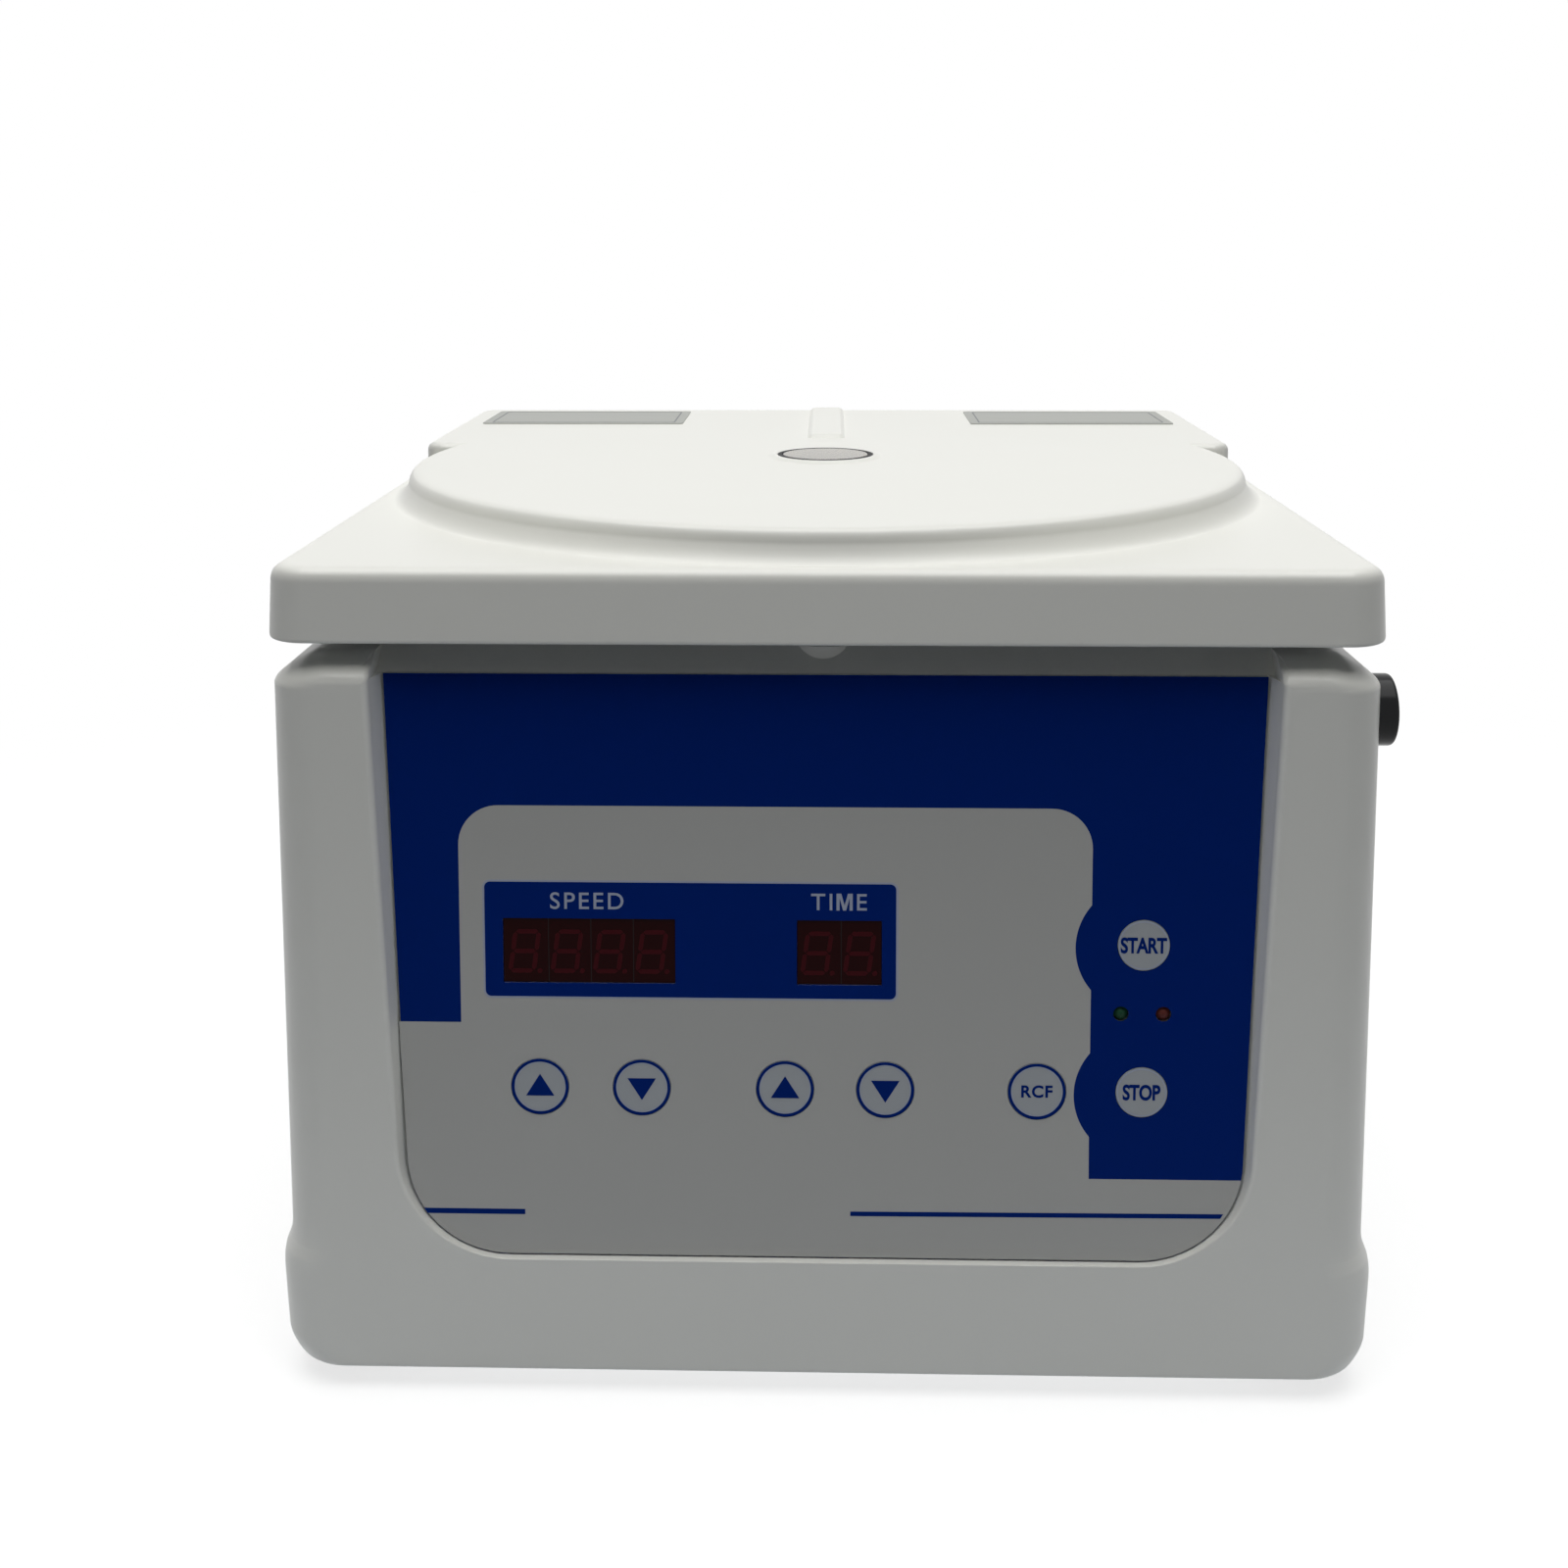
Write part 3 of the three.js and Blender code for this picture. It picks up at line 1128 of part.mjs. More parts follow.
function addLock(machine) {
  const nose = TONGUE_THICKNESS / 2 + BOLT_STANDOFF;
  const shank = nose + BOLT_NOSE_LENGTH;
  const backFace = BUTTON_FACE - BUTTON_LENGTH;
  const boltEnd = backFace + BUTTON_SOCKET;
  const at = [LOCK_Y, LOCK_Z];
  const bolt = bar("x", BOLT_NOSE_RADIUS, nose, shank + OVERRUN, at, COARSE).add(
    bar("x", BOLT_RADIUS, shank, boltEnd, at, COARSE),
  );
  piece("lock_bolt", bolt, steel(), machine);

  const cap = turned(
    [
      [0, 0],
      [BUTTON_RADIUS, 0],
      ...rounded(
        [BUTTON_RADIUS, BUTTON_LENGTH - BUTTON_EDGE],
        [BUTTON_RADIUS, BUTTON_LENGTH],
        [BUTTON_RADIUS - BUTTON_EDGE, BUTTON_LENGTH],
      ),
      [0, BUTTON_LENGTH],
    ],
    MIDDLE,
  );
  const socket = bar("z", BOLT_RADIUS + GAP, -OVERRUN, BUTTON_SOCKET + GAP, [0, 0], COARSE);
  const button = piece("lock_button", cut(cap, [socket]), blackPlastic(), groupAt(machine, backFace, ...at));
  button.rotation.y = Math.PI / 2;

  const top = DECK_Z - HOUSING_WALL - GAP;
  const half = GUIDE_WIDTH / 2;
  const strapFront = DECK_EDGE + HOUSING_WALL + GAP;
  const strap = block([GUIDE_START, strapFront, top - GUIDE_THICKNESS], [GUIDE_END, LOCK_Y + half, top]);
  const lugs = [GUIDE_START, GUIDE_END - GUIDE_LUG].map((x) =>
    block([x, LOCK_Y - half, LOCK_Z - half], [x + GUIDE_LUG, LOCK_Y + half, top - GUIDE_THICKNESS * 0.75]),
  );
  const bore = bar("x", BOLT_RADIUS + GAP, GUIDE_START - OVERRUN, GUIDE_END + OVERRUN, at, COARSE);
  piece("lock_guide", cut(joined([strap, ...lugs]), [bore]), zinc(), machine);
  piece("lock_spring", coil(GUIDE_END + GAP, backFace - GAP), steel(), groupAt(machine, 0, ...at));
}

// A spring along X, a wire of a few sides wound at an even pitch
function coil(from, to) {
  const sides = 5;
  const steps = SPRING_TURNS * 8;
  const start = from + SPRING_WIRE_RADIUS;
  const length = to - from - 2 * SPRING_WIRE_RADIUS;
  const at = [];
  for (let i = 0; i <= steps; i += 1) {
    const turn = (i / steps) * SPRING_TURNS * 2 * Math.PI;
    for (let k = 0; k < sides; k += 1) {
      const round = (k / sides) * 2 * Math.PI;
      const radius = SPRING_RADIUS + SPRING_WIRE_RADIUS * Math.cos(round);
      const x = start + (length * i) / steps + SPRING_WIRE_RADIUS * Math.sin(round);
      at.push(x, radius * Math.cos(turn), radius * Math.sin(turn));
    }
  }
  const index = [];
  for (let i = 0; i < steps; i += 1) {
    for (let k = 0; k < sides; k += 1) {
      const a = i * sides + k;
      const b = i * sides + ((k + 1) % sides);
      index.push(a, b, a + sides, b, b + sides, a + sides);
    }
  }
  const last = steps * sides;
  for (let k = 1; k < sides - 1; k += 1) index.push(0, k + 1, k, last, last + k, last + k + 1);
  const geometry = new THREE.BufferGeometry();
  geometry.setAttribute("position", new THREE.Float32BufferAttribute(at, 3));
  geometry.setIndex(index);
  return solidOf(geometry);
}

// One hinge about its pin: the frame's origin is on the pin's axis
function addHinge(side, machine, lid) {
  const across = side === "left" ? -HINGE_SPREAD : HINGE_SPREAD;
  const lidFace = -HINGE_BACK;
  const housingFace = HALF_DEPTH - HINGE_Y;
  const lidHalf = (HINGE_WIDTH * KNUCKLE_SHARE) / 2;
  const half = HINGE_WIDTH / 2;
  const bore = (from, to) => bar("x", HINGE_PIN_RADIUS + GAP, from - OVERRUN, to + OVERRUN, [0, 0], COARSE);
  const knuckle = (from, to, face) => [
    bar("x", KNUCKLE_RADIUS, from, to, [0, 0], COARSE),
    block([from, face + GAP, -KNUCKLE_RADIUS / 2], [to, -HINGE_PIN_RADIUS, KNUCKLE_RADIUS / 2]),
  ];

  const plateY = lidFace + GAP;
  const lidLeaf = joined([
    ...knuckle(-lidHalf, lidHalf, lidFace),
    block([-lidHalf, plateY, 0], [lidHalf, plateY + LEAF_THICKNESS, LID_LEAF_TOP]),
    block([-half, plateY, KNUCKLE_RADIUS + GAP + OVERRUN], [half, plateY + LEAF_THICKNESS, LID_LEAF_TOP]),
  ]);
  const lidPlace = groupAt(lid, across, HINGE_Y, HINGE_Z - LID_Z);
  piece(`lid_leaf_${side}`, cut(lidLeaf, [bore(-lidHalf, lidHalf)]), steel(), lidPlace);

  const backY = housingFace + GAP;
  const outer = [
    [-half, -lidHalf - GAP],
    [lidHalf + GAP, half],
  ];
  const housingLeaf = joined([
    ...outer.flatMap(([from, to]) => [
      ...knuckle(from, to, housingFace),
      block([from, backY, -HOUSING_LEAF_DROP], [to, backY + LEAF_THICKNESS, 0]),
    ]),
    block([-half, backY, -HOUSING_LEAF_DROP], [half, backY + LEAF_THICKNESS, -KNUCKLE_RADIUS - OVERRUN * 2]),
  ]);
  const place = groupAt(machine, across, HINGE_Y, HINGE_Z);
  piece(`housing_leaf_${side}`, cut(housingLeaf, [bore(-half, half)]), steel(), place);
  piece(`hinge_pin_${side}`, bar("x", HINGE_PIN_RADIUS, -half, half, [0, 0], COARSE), steel(), place);
}

// Key places across and up the panel, with each key's radius
const across = (share) => (share * PANEL_BOTTOM_WIDTH) / 2;
const KEYS = [
  ["speed_up_key", across(SPEED_UP_SHARE), KEY_ROW_UP, RING_KEY_RADIUS],
  ["speed_down_key", across(SPEED_DOWN_SHARE), KEY_ROW_UP, RING_KEY_RADIUS],
  ["time_up_key", across(TIME_UP_SHARE), KEY_ROW_UP, RING_KEY_RADIUS],
  ["time_down_key", across(TIME_DOWN_SHARE), KEY_ROW_UP, RING_KEY_RADIUS],
  ["rcf_key", across(RCF_SHARE), KEY_ROW_UP, RING_KEY_RADIUS],
  ["start_key", across(START_KEY_SHARE), START_KEY_UP, DISC_KEY_RADIUS],
  ["stop_key", across(START_KEY_SHARE), KEY_ROW_UP, DISC_KEY_RADIUS],
];
const DISPLAYS = [
  ["speed_display", across(SPEED_DISPLAY_SHARE), SPEED_DISPLAY_WIDTH],
  ["time_display", across(TIME_DISPLAY_SHARE), TIME_DISPLAY_WIDTH],
];
const LAMPS = [
  ["run_lamp", across(RUN_LAMP_SHARE), greenLamp],
  ["stop_lamp", across(STOP_LAMP_SHARE), redLamp],
];

function panelPlate() {
  const plate = drawnAlongY(panelOutline(0, PANEL_LENGTH), 0, PANEL_THICKNESS);
  const through = [-OVERRUN, PANEL_THICKNESS + OVERRUN];
  const keyHoles = KEYS.map(([, x, z, radius]) => bar("y", radius + SLIP, ...through, [x, z], MIDDLE));
  const lampHoles = LAMPS.map(([, x]) => bar("y", LAMP_RADIUS + GAP, ...through, [x, LAMP_UP], COARSE));
  const windows = DISPLAYS.map(([, x, width]) =>
    block(
      [x - width / 2 - GAP, through[0], DISPLAY_UP - DISPLAY_HEIGHT / 2 - GAP],
      [x + width / 2 + GAP, through[1], DISPLAY_UP + DISPLAY_HEIGHT / 2 + GAP],
    ),
  );
  const standoffs = [BOARD_LEFT + STANDOFF_INSET, BOARD_RIGHT - STANDOFF_INSET].flatMap((x) =>
    [BOARD_LOW + STANDOFF_INSET, BOARD_HIGH - STANDOFF_INSET].map((z) =>
      bar("y", STANDOFF_RADIUS, PANEL_THICKNESS / 2, BOARD_SETBACK - GAP, [x, z], COARSE),
    ),
  );
  return cut(plate.add(joined(standoffs)), [...keyHoles, ...lampHoles, ...windows]);
}

function keySolid(radius) {
  const flangeStart = PANEL_THICKNESS + GAP;
  const flangeEnd = flangeStart + KEY_RIM;
  return turned(
    [
      [0, -KEY_PROUD],
      [radius, -KEY_PROUD],
      [radius, flangeStart],
      [radius + KEY_RIM, flangeStart],
      [radius + KEY_RIM, flangeEnd],
      [KEY_STEM_RADIUS, flangeEnd],
      [KEY_STEM_RADIUS, flangeEnd + KEY_STEM_LENGTH],
      [0, flangeEnd + KEY_STEM_LENGTH],
    ],
    MIDDLE,
  );
}

function lampSolid() {
  return turned(
    [
      [0, 0],
      [LAMP_RADIUS / 2, 0],
      [LAMP_RADIUS, LAMP_RADIUS / 2],
      [LAMP_RADIUS, LAMP_BODY_LENGTH],
      [LAMP_LEAD_RADIUS, LAMP_BODY_LENGTH],
      [LAMP_LEAD_RADIUS, BOARD_SETBACK - GAP],
      [0, BOARD_SETBACK - GAP],
    ],
    COARSE,
  );
}

function boardSolid() {
  const back = BOARD_SETBACK + BOARD_THICKNESS;
  const board = block([BOARD_LEFT, BOARD_SETBACK, BOARD_LOW], [BOARD_RIGHT, back, BOARD_HIGH]);
  const face = BOARD_SETBACK - SWITCH_HEIGHT;
  const half = SWITCH_SIDE / 2;
  const switches = KEYS.map(([, x, z]) => block([x - half, face, z - half], [x + half, back - BOARD_THICKNESS / 2, z + half]));
  const bores = KEYS.map(([, x, z]) =>
    bar("y", KEY_STEM_RADIUS + SLIP, face - OVERRUN, face + SWITCH_BORE_DEPTH, [x, z], COARSE),
  );
  return cut(board.add(joined(switches)), bores);
}

function addFrontPanel(machine) {
  const panel = new THREE.Group();
  panel.applyMatrix4(panelFrame);
  machine.add(panel);
  piece("front_panel", panelPlate(), aluminium(), panel);
  piece("control_board", boardSolid(), boardGreen(), panel);
  for (const [name, x, width] of DISPLAYS) {
    const module = block(
      [x - width / 2, GAP, DISPLAY_UP - DISPLAY_HEIGHT / 2],
      [x + width / 2, BOARD_SETBACK - GAP, DISPLAY_UP + DISPLAY_HEIGHT / 2],
    );
    piece(name, module, displayRed(), panel);
  }
  // Keys and lamps are turned about Z, then laid with that axis into the panel
  const mountTurned = (name, solid, material, x, z) => {
    const place = groupAt(panel, x, 0, z);
    place.rotation.x = -Math.PI / 2;
    piece(name, solid, material, place);
  };
  for (const [name, x, z, radius] of KEYS) mountTurned(name, keySolid(radius), keyFace(), x, z);
  for (const [name, x, lampFinish] of LAMPS) mountTurned(name, lampSolid(), lampFinish(), x, LAMP_UP);
}

function socketOutline() {
  const [w, h, b] = [SOCKET_WIDTH / 2, SOCKET_HEIGHT / 2, SOCKET_BEVEL];
  const corners = [
    [-w, -h],
    [w, -h],
    [w, h - b],
    [w - b, h],
    [-w + b, h],
    [-w, h - b],
  ];
  return new THREE.Shape(corners.map(([x, z]) => new THREE.Vector2(x, z + SOCKET_UP)));
}

// The inlet's frame has its origin on the rear wall, with +Y outwards
function addInlet(machine) {
  const rear = groupAt(machine, INLET_ACROSS, HALF_DEPTH + WALL_DRAFT, EDGE_Z + INLET_RISE);
  const face = GAP + INLET_FLANGE_THICKNESS;
  const flange = block(
    [-INLET_FLANGE_WIDTH / 2, GAP, -INLET_FLANGE_HEIGHT / 2],
    [INLET_FLANGE_WIDTH / 2, face, INLET_FLANGE_HEIGHT / 2],
  );
  const body = block(
    [-INLET_BODY_WIDTH / 2, face - INLET_BODY_DEPTH, -INLET_BODY_HEIGHT / 2],
    [INLET_BODY_WIDTH / 2, face - INLET_FLANGE_THICKNESS / 2, INLET_BODY_HEIGHT / 2],
  );
  const socket = drawnAlongY(socketOutline(), face - SOCKET_DEPTH, face + OVERRUN);
  const drawerSlot = block(
    [-DRAWER_WIDTH / 2 - GAP, face - DRAWER_DEPTH - GAP, -DRAWER_DOWN - DRAWER_HEIGHT / 2 - GAP],
    [DRAWER_WIDTH / 2 + GAP, face + OVERRUN, -DRAWER_DOWN + DRAWER_HEIGHT / 2 + GAP],
  );
  const blades = [
    [-BLADE_SPREAD, SOCKET_UP - BLADE_UP],
    [BLADE_SPREAD, SOCKET_UP - BLADE_UP],
    [0, SOCKET_UP + BLADE_UP],
  ].map(([x, z]) =>
    block(
      [x - BLADE_WIDTH / 2, face - SOCKET_DEPTH - OVERRUN, z - BLADE_HEIGHT / 2],
      [x + BLADE_WIDTH / 2, face - SOCKET_DEPTH + BLADE_LENGTH, z + BLADE_HEIGHT / 2],
    ),
  );
  piece("power_inlet", joined([cut(flange.add(body), [socket, drawerSlot]), ...blades]), blackPlastic(), rear);

  const drawer = block(
    [-DRAWER_WIDTH / 2, face - DRAWER_DEPTH, -DRAWER_DOWN - DRAWER_HEIGHT / 2],
    [DRAWER_WIDTH / 2, face, -DRAWER_DOWN + DRAWER_HEIGHT / 2],
  );
  const tab = block(
    [-DRAWER_WIDTH / 4, face - DRAWER_TAB, -DRAWER_DOWN - DRAWER_HEIGHT / 4],
    [DRAWER_WIDTH / 4, face + DRAWER_TAB, -DRAWER_DOWN + DRAWER_HEIGHT / 4],
  );
  piece("fuse_drawer", drawer.add(tab), blackPlastic(), rear);
}

function addPowerSwitch(machine) {
  const rear = groupAt(machine, SWITCH_ACROSS, HALF_DEPTH + WALL_DRAFT, EDGE_Z + INLET_RISE);
  const [w, h] = [SWITCH_FRAME_WIDTH / 2, SWITCH_FRAME_HEIGHT / 2];
  const face = GAP + SWITCH_BEZEL;
  const bezel = block([-w - SWITCH_BEZEL, GAP, -h - SWITCH_BEZEL], [w + SWITCH_BEZEL, face, h + SWITCH_BEZEL]);
  const body = block([-w, face - SWITCH_FRAME_DEPTH, -h], [w, face - SWITCH_BEZEL / 2, h]);
  const t = SWITCH_FRAME_WALL;
  const well = block([-w + t, face - SWITCH_FRAME_DEPTH + t, -h + t], [w - t, face + OVERRUN, h - t]);
  piece("switch_frame", cut(bezel.add(body), [well]), blackPlastic(), rear);

  const long = h - t - SLIP * 2;
  const wide = w - t - SLIP;
  const top = ROCKER_SINK + ROCKER_RISE;
  const section = [
    [-ROCKER_HEEL, -ROCKER_HEEL / 2],
    [0, -long],
    [top, -long],
    [top - ROCKER_RISE, 0],
    [top, long],
    [0, long],
    [-ROCKER_HEEL, ROCKER_HEEL / 2],
  ];
  const pivot = groupAt(rear, 0, face - ROCKER_SINK, 0);
  pivot.rotation.x = -ROCKER_TILT;
  piece("power_rocker", drawnAlongX(section, -wide, wide), blackPlastic(), pivot);
}

function centrifuge() {
  const root = new THREE.Group();
  const machine = groupAt(root, 0, (FRONT_MOST - REAR_MOST) / 2, 0);
  addHousing(machine);
  addFeet(machine);
  addBasePlate(machine);
  addPowerBoard(machine);
  const drive = groupAt(machine, 0, ROTOR_BACK, 0);
  addDriveMount(drive);
  addMotor(drive);
  addChamber(drive);
  addRotor(drive);
  addBuckets(drive);
  const lid = groupAt(machine, 0, 0, LID_Z);
  addLidShell(lid);
  addLidLiner(lid);
  addLabels(lid);
  addStriker(lid);
  addLock(machine);
  addHinge("left", machine, lid);
  addHinge("right", machine, lid);
  addFrontPanel(machine);
  addInlet(machine);
  addPowerSwitch(machine);
  return root;
}

export default centrifuge();
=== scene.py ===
"""Looks of a benchtop centrifuge with a hinged lid, a swing-out rotor and a printed control panel.

Sizes are in millimetres in the machine's own frame, whose Y starts at the housing's middle, and each
finished mesh is placed in metres in the row frame.
"""

from __future__ import annotations

import json
import logging
import math
from dataclasses import dataclass, field
from enum import Enum
from typing import Iterable, Sequence

import bmesh
import bpy
from mathutils import Matrix, Vector

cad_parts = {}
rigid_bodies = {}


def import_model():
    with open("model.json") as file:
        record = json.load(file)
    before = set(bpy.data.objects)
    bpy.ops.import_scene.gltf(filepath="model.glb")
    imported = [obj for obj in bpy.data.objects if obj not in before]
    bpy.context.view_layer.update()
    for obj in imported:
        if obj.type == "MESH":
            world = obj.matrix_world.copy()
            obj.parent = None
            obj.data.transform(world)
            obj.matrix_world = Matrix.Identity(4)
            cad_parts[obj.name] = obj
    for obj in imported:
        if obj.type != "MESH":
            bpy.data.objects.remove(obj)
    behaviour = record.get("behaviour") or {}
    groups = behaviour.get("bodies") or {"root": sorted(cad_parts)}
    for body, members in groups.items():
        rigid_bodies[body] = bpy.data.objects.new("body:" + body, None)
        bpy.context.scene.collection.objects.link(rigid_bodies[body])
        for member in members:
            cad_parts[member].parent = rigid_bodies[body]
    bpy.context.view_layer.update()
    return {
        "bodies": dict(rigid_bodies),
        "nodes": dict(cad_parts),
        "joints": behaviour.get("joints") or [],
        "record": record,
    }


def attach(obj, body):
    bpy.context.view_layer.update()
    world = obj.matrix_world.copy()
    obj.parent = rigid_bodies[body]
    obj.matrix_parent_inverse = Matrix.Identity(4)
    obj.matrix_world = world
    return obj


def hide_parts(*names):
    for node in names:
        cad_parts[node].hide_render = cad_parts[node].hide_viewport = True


logging.basicConfig(level=logging.INFO, format="%(message)s")
log = logging.getLogger("centrifuge")

Pair = tuple[float, float]
Triple = tuple[float, float, float]
Thing = bpy.types.Object
Tree = bpy.types.NodeTree
Node = bpy.types.Node
Socket = bpy.types.NodeSocket

METRE = 0.001
SHIFT_Y = -4.65  # from the housing's middle to the frame's origin
TO_ROW = Matrix.Scale(METRE, 4) @ Matrix.Translation((0.0, SHIFT_Y, 0.0))
FRAME_SIDE = 1600  # pixels along each side of the photograph

HALF_WIDTH = 149.5
HALF_DEPTH = 151.9
EDGE_Z = 6.4  # the housing's lower edge
DECK_Z = 209.5  # the housing's flat top, under the lid
SHOULDER_RUN = 9.0
SHOULDER_RISE = 5.0
SIDE_SHOULDER = 3.0
LID_Z = 213.4  # the closed lid's lower edge
ROTOR_Y = 1.6
ROTOR_MIDDLE = (0.0, ROTOR_Y)
PIVOT_Z = 186.0  # the axis on which the buckets swing
LOCK_Y = -129.4  # shared by the striker, its hole and the lock's bolt
LOCK_Z = 190.8
REAR_Z = 65.0  # the middle of inlet, switch and vents
INLET_X = 88.0
SWITCH_X = 42.0
VENT_X = -66.0

PANEL_LENGTH = 163.0
PANEL_LOW_HALF = 114.7
PANEL_HIGH_HALF = 118.7
PANEL_CORNER = 28.0
PANEL_FOOT = 34.2  # from the housing's lower edge to the panel's
LEAN = math.radians(2.46)
PANEL = Matrix.Translation((0.0, -HALF_DEPTH + 1.0, EDGE_Z + PANEL_FOOT)) @ Matrix.Rotation(-LEAN, 4, "X")
PRINT = PANEL @ Matrix.Rotation(math.pi / 2, 4, "X")  # flat drawings face out of the panel
TO_REAR = Matrix.Rotation(math.pi, 4, "Z") @ Matrix.Rotation(math.pi / 2, 4, "X")  # or out of the rear

INK = 0.05  # thickness of printed ink
KEY_INK = 0.03
CAPITALS_SHARE = 0.73  # a capital's height as a share of the font's size
COAT_ROUGHNESS = 0.06
WELD = 1e-4  # points closer than this are one
SHARP_DEG = 35.0  # an edge bent further than this stays sharp
SCREW_SPIN = 3.0  # the most that chance turns a screw, in radians
DOWNWARD = (math.pi, 0.0, 0.0)
REARWARD = (-math.pi / 2, 0.0, 0.0)


def linear(hex_colour: str) -> tuple[float, float, float, float]:
    """Turns an sRGB hex colour into linear values.

    Args:
        hex_colour: six hex digits, such as "F0F0EC".

    Returns:
        Red, green, blue and an alpha of 1.
    """
    channels = [int(hex_colour[i : i + 2], 16) / 255 for i in (0, 2, 4)]
    red, green, blue = [c / 12.92 if c <= 0.04045 else ((c + 0.055) / 1.055) ** 2.4 for c in channels]
    return red, green, blue, 1.0


def add(tree: Tree, kind: str, inputs: dict | None = None, **settings: object) -> Node:
    """Adds a node with its settings, values and links.

    Args:
        tree: the tree that gets the node.
        kind: the node's type.
        inputs: value or linked socket for each input, by its name or place.
        settings: the node's own properties.

    Returns:
        The new node.
    """
    node = tree.nodes.new(kind)
    for name, value in settings.items():
        setattr(node, name, value)
    for key, value in (inputs or {}).items():
        if isinstance(value, Socket):
            tree.links.new(value, node.inputs[key])
        else:
            node.inputs[key].default_value = value
    return node


def emptied(owner: bpy.types.Material | bpy.types.World) -> Tree:
    """Gives a new material or world an empty node tree."""
    owner.use_nodes = True
    owner.node_tree.nodes.clear()
    return owner.node_tree


def linked(name: str, data: bpy.types.ID) -> Thing:
    """Makes an object of some data and links it to the scene."""
    obj = bpy.data.objects.new(name, data)
    bpy.context.scene.collection.objects.link(obj)
    return obj


def shift(x: float = 0.0, y: float = 0.0, z: float = 0.0) -> Matrix:
    """Returns a move along the three axes."""
    return Matrix.Translation((x, y, z))


@dataclass(frozen=True)
class Finish:
    """A plain surface: one colour with an even gloss."""

    name: str
    colour: str
    roughness: float
    metallic: float = 0.0
    coat: float = 0.0
    see_through: float = 0.0
    sheen_level: float = 0.5

    def material(self) -> bpy.types.Material:
        """Returns the finish's material, made once."""
        found = bpy.data.materials.get(self.name)
        if found:
            return found
        look = {"Base Color": linear(self.colour), "Roughness": self.roughness}
        if self.metallic:
            look["Metallic"] = self.metallic
        else:
            look["Specular IOR Level"] = self.sheen_level
        if self.coat:
            look["Coat Weight"] = self.coat
            look["Coat Roughness"] = COAT_ROUGHNESS
        if self.see_through:
            look["Transmission Weight"] = self.see_through
        material = bpy.data.materials.new(self.name)
        tree = emptied(material)
        shader = add(tree, "ShaderNodeBsdfPrincipled", look)
        add(tree, "ShaderNodeOutputMaterial", {"Surface": shader.outputs["BSDF"]})
        self.pattern(tree, shader)
        return material

    def pattern(self, tree: Tree, shader: Node) -> None:
        """Adds the finish's pattern; a plain finish has none."""

    def place(self, tree: Tree, scale: Triple, centre: Triple = (0.0, 0.0, 0.0)) -> Socket:
        """Gives object coordinates in pattern units.

        Args:
            tree: the material's tree.
            scale: pattern units in a metre along each axis.
            centre: the pattern's middle in the machine's frame, in millimetres.

        Returns:
            The vector socket.
        """
        where = add(tree, "ShaderNodeTexCoord").outputs["Object"]
        middle = TO_ROW @ Vector(centre)
        offset = tuple(-m * s for m, s in zip(middle, scale))
        mapping = add(tree, "ShaderNodeMapping", {"Vector": where, "Location": offset, "Scale": scale})
        return mapping.outputs["Vector"]

    def noise(
        self, tree: Tree, scale: Triple, detail: float, roughness: float = 0.5
    ) -> Socket:
        """Gives noise from 0 to 1.

        Args:
            tree: the material's tree.
            scale: noise units in a metre along each axis.
            detail: how many finer layers it has.
            roughness: how strong the finer layers are.

        Returns:
            The noise's socket.
        """
        where = self.place(tree, scale)
        inputs = {"Vector": where, "Scale": 1.0, "Detail": detail, "Roughness": roughness}
        return add(tree, "ShaderNodeTexNoise", inputs).outputs["Fac"]

    def vary(self, tree: Tree, shader: Node, value: Socket, spread: float) -> None:
        """Lets the roughness wander with a 0 to 1 value.

        Args:
            tree: the material's tree.
            shader: the principled shader.
            value: the pattern's value.
            spread: how far the roughness moves each way.
        """
        span = {"Value": value, "To Min": self.roughness - spread, "To Max": self.roughness + spread}
        mapped = add(tree, "ShaderNodeMapRange", span)
        tree.links.new(mapped.outputs["Result"], shader.inputs["Roughness"])

    def relief(
        self, tree: Tree, shader: Node, height: Socket, depth_mm: float
    ) -> None:
        """Turns a 0 to 1 height into relief of a real depth.

        Args:
            tree: the material's tree.
            shader: the principled shader.
            height: the pattern's value.
            depth_mm: depth of the relief.
        """
        bump = add(tree, "ShaderNodeBump", {"Height": height, "Strength": 0.6, "Distance": depth_mm * METRE})
        tree.links.new(bump.outputs["Normal"], shader.inputs["Normal"])


@dataclass(frozen=True)
class MouldedPlastic(Finish):
    """Moulded ABS: a satin skin with a faint orange peel and slightly uneven gloss."""

    grain_mm: float = 2.2
    depth_mm: float = 0.012
    spread: float = 0.05
    cloud_mm: float = 38.0

    def pattern(self, tree: Tree, shader: Node) -> None:
        """Adds the peel and the uneven gloss."""
        peel = self.noise(tree, (1 / (self.grain_mm * METRE),) * 3, 3.0, 0.6)
        self.relief(tree, shader, peel, self.depth_mm)
        cloud = self.noise(tree, (1 / (self.cloud_mm * METRE),) * 3, 4.0)
        self.vary(tree, shader, cloud, self.spread)


@dataclass(frozen=True)
class PrintedFilm(MouldedPlastic):
    """Screen printed polyester film: flat colour under a fine matt texture."""

    sheen_level: float = 0.2
    grain_mm: float = 0.35
    depth_mm: float = 0.004


@dataclass(frozen=True)
class BrushedMetal(Finish):
    """Sheet brushed one way: long fine lines that spread the gloss across them."""

    metallic: float = 1.0
    line_mm: float = 0.25
    stretch: Triple = (0.02, 1.0, 1.0)
    depth_mm: float = 0.002

    def pattern(self, tree: Tree, shader: Node) -> None:
        """Adds the brushed lines."""
        lines = self.noise(tree, tuple(s / (self.line_mm * METRE) for s in self.stretch), 2.0)
        self.vary(tree, shader, lines, 0.08)
        self.relief(tree, shader, lines, self.depth_mm)


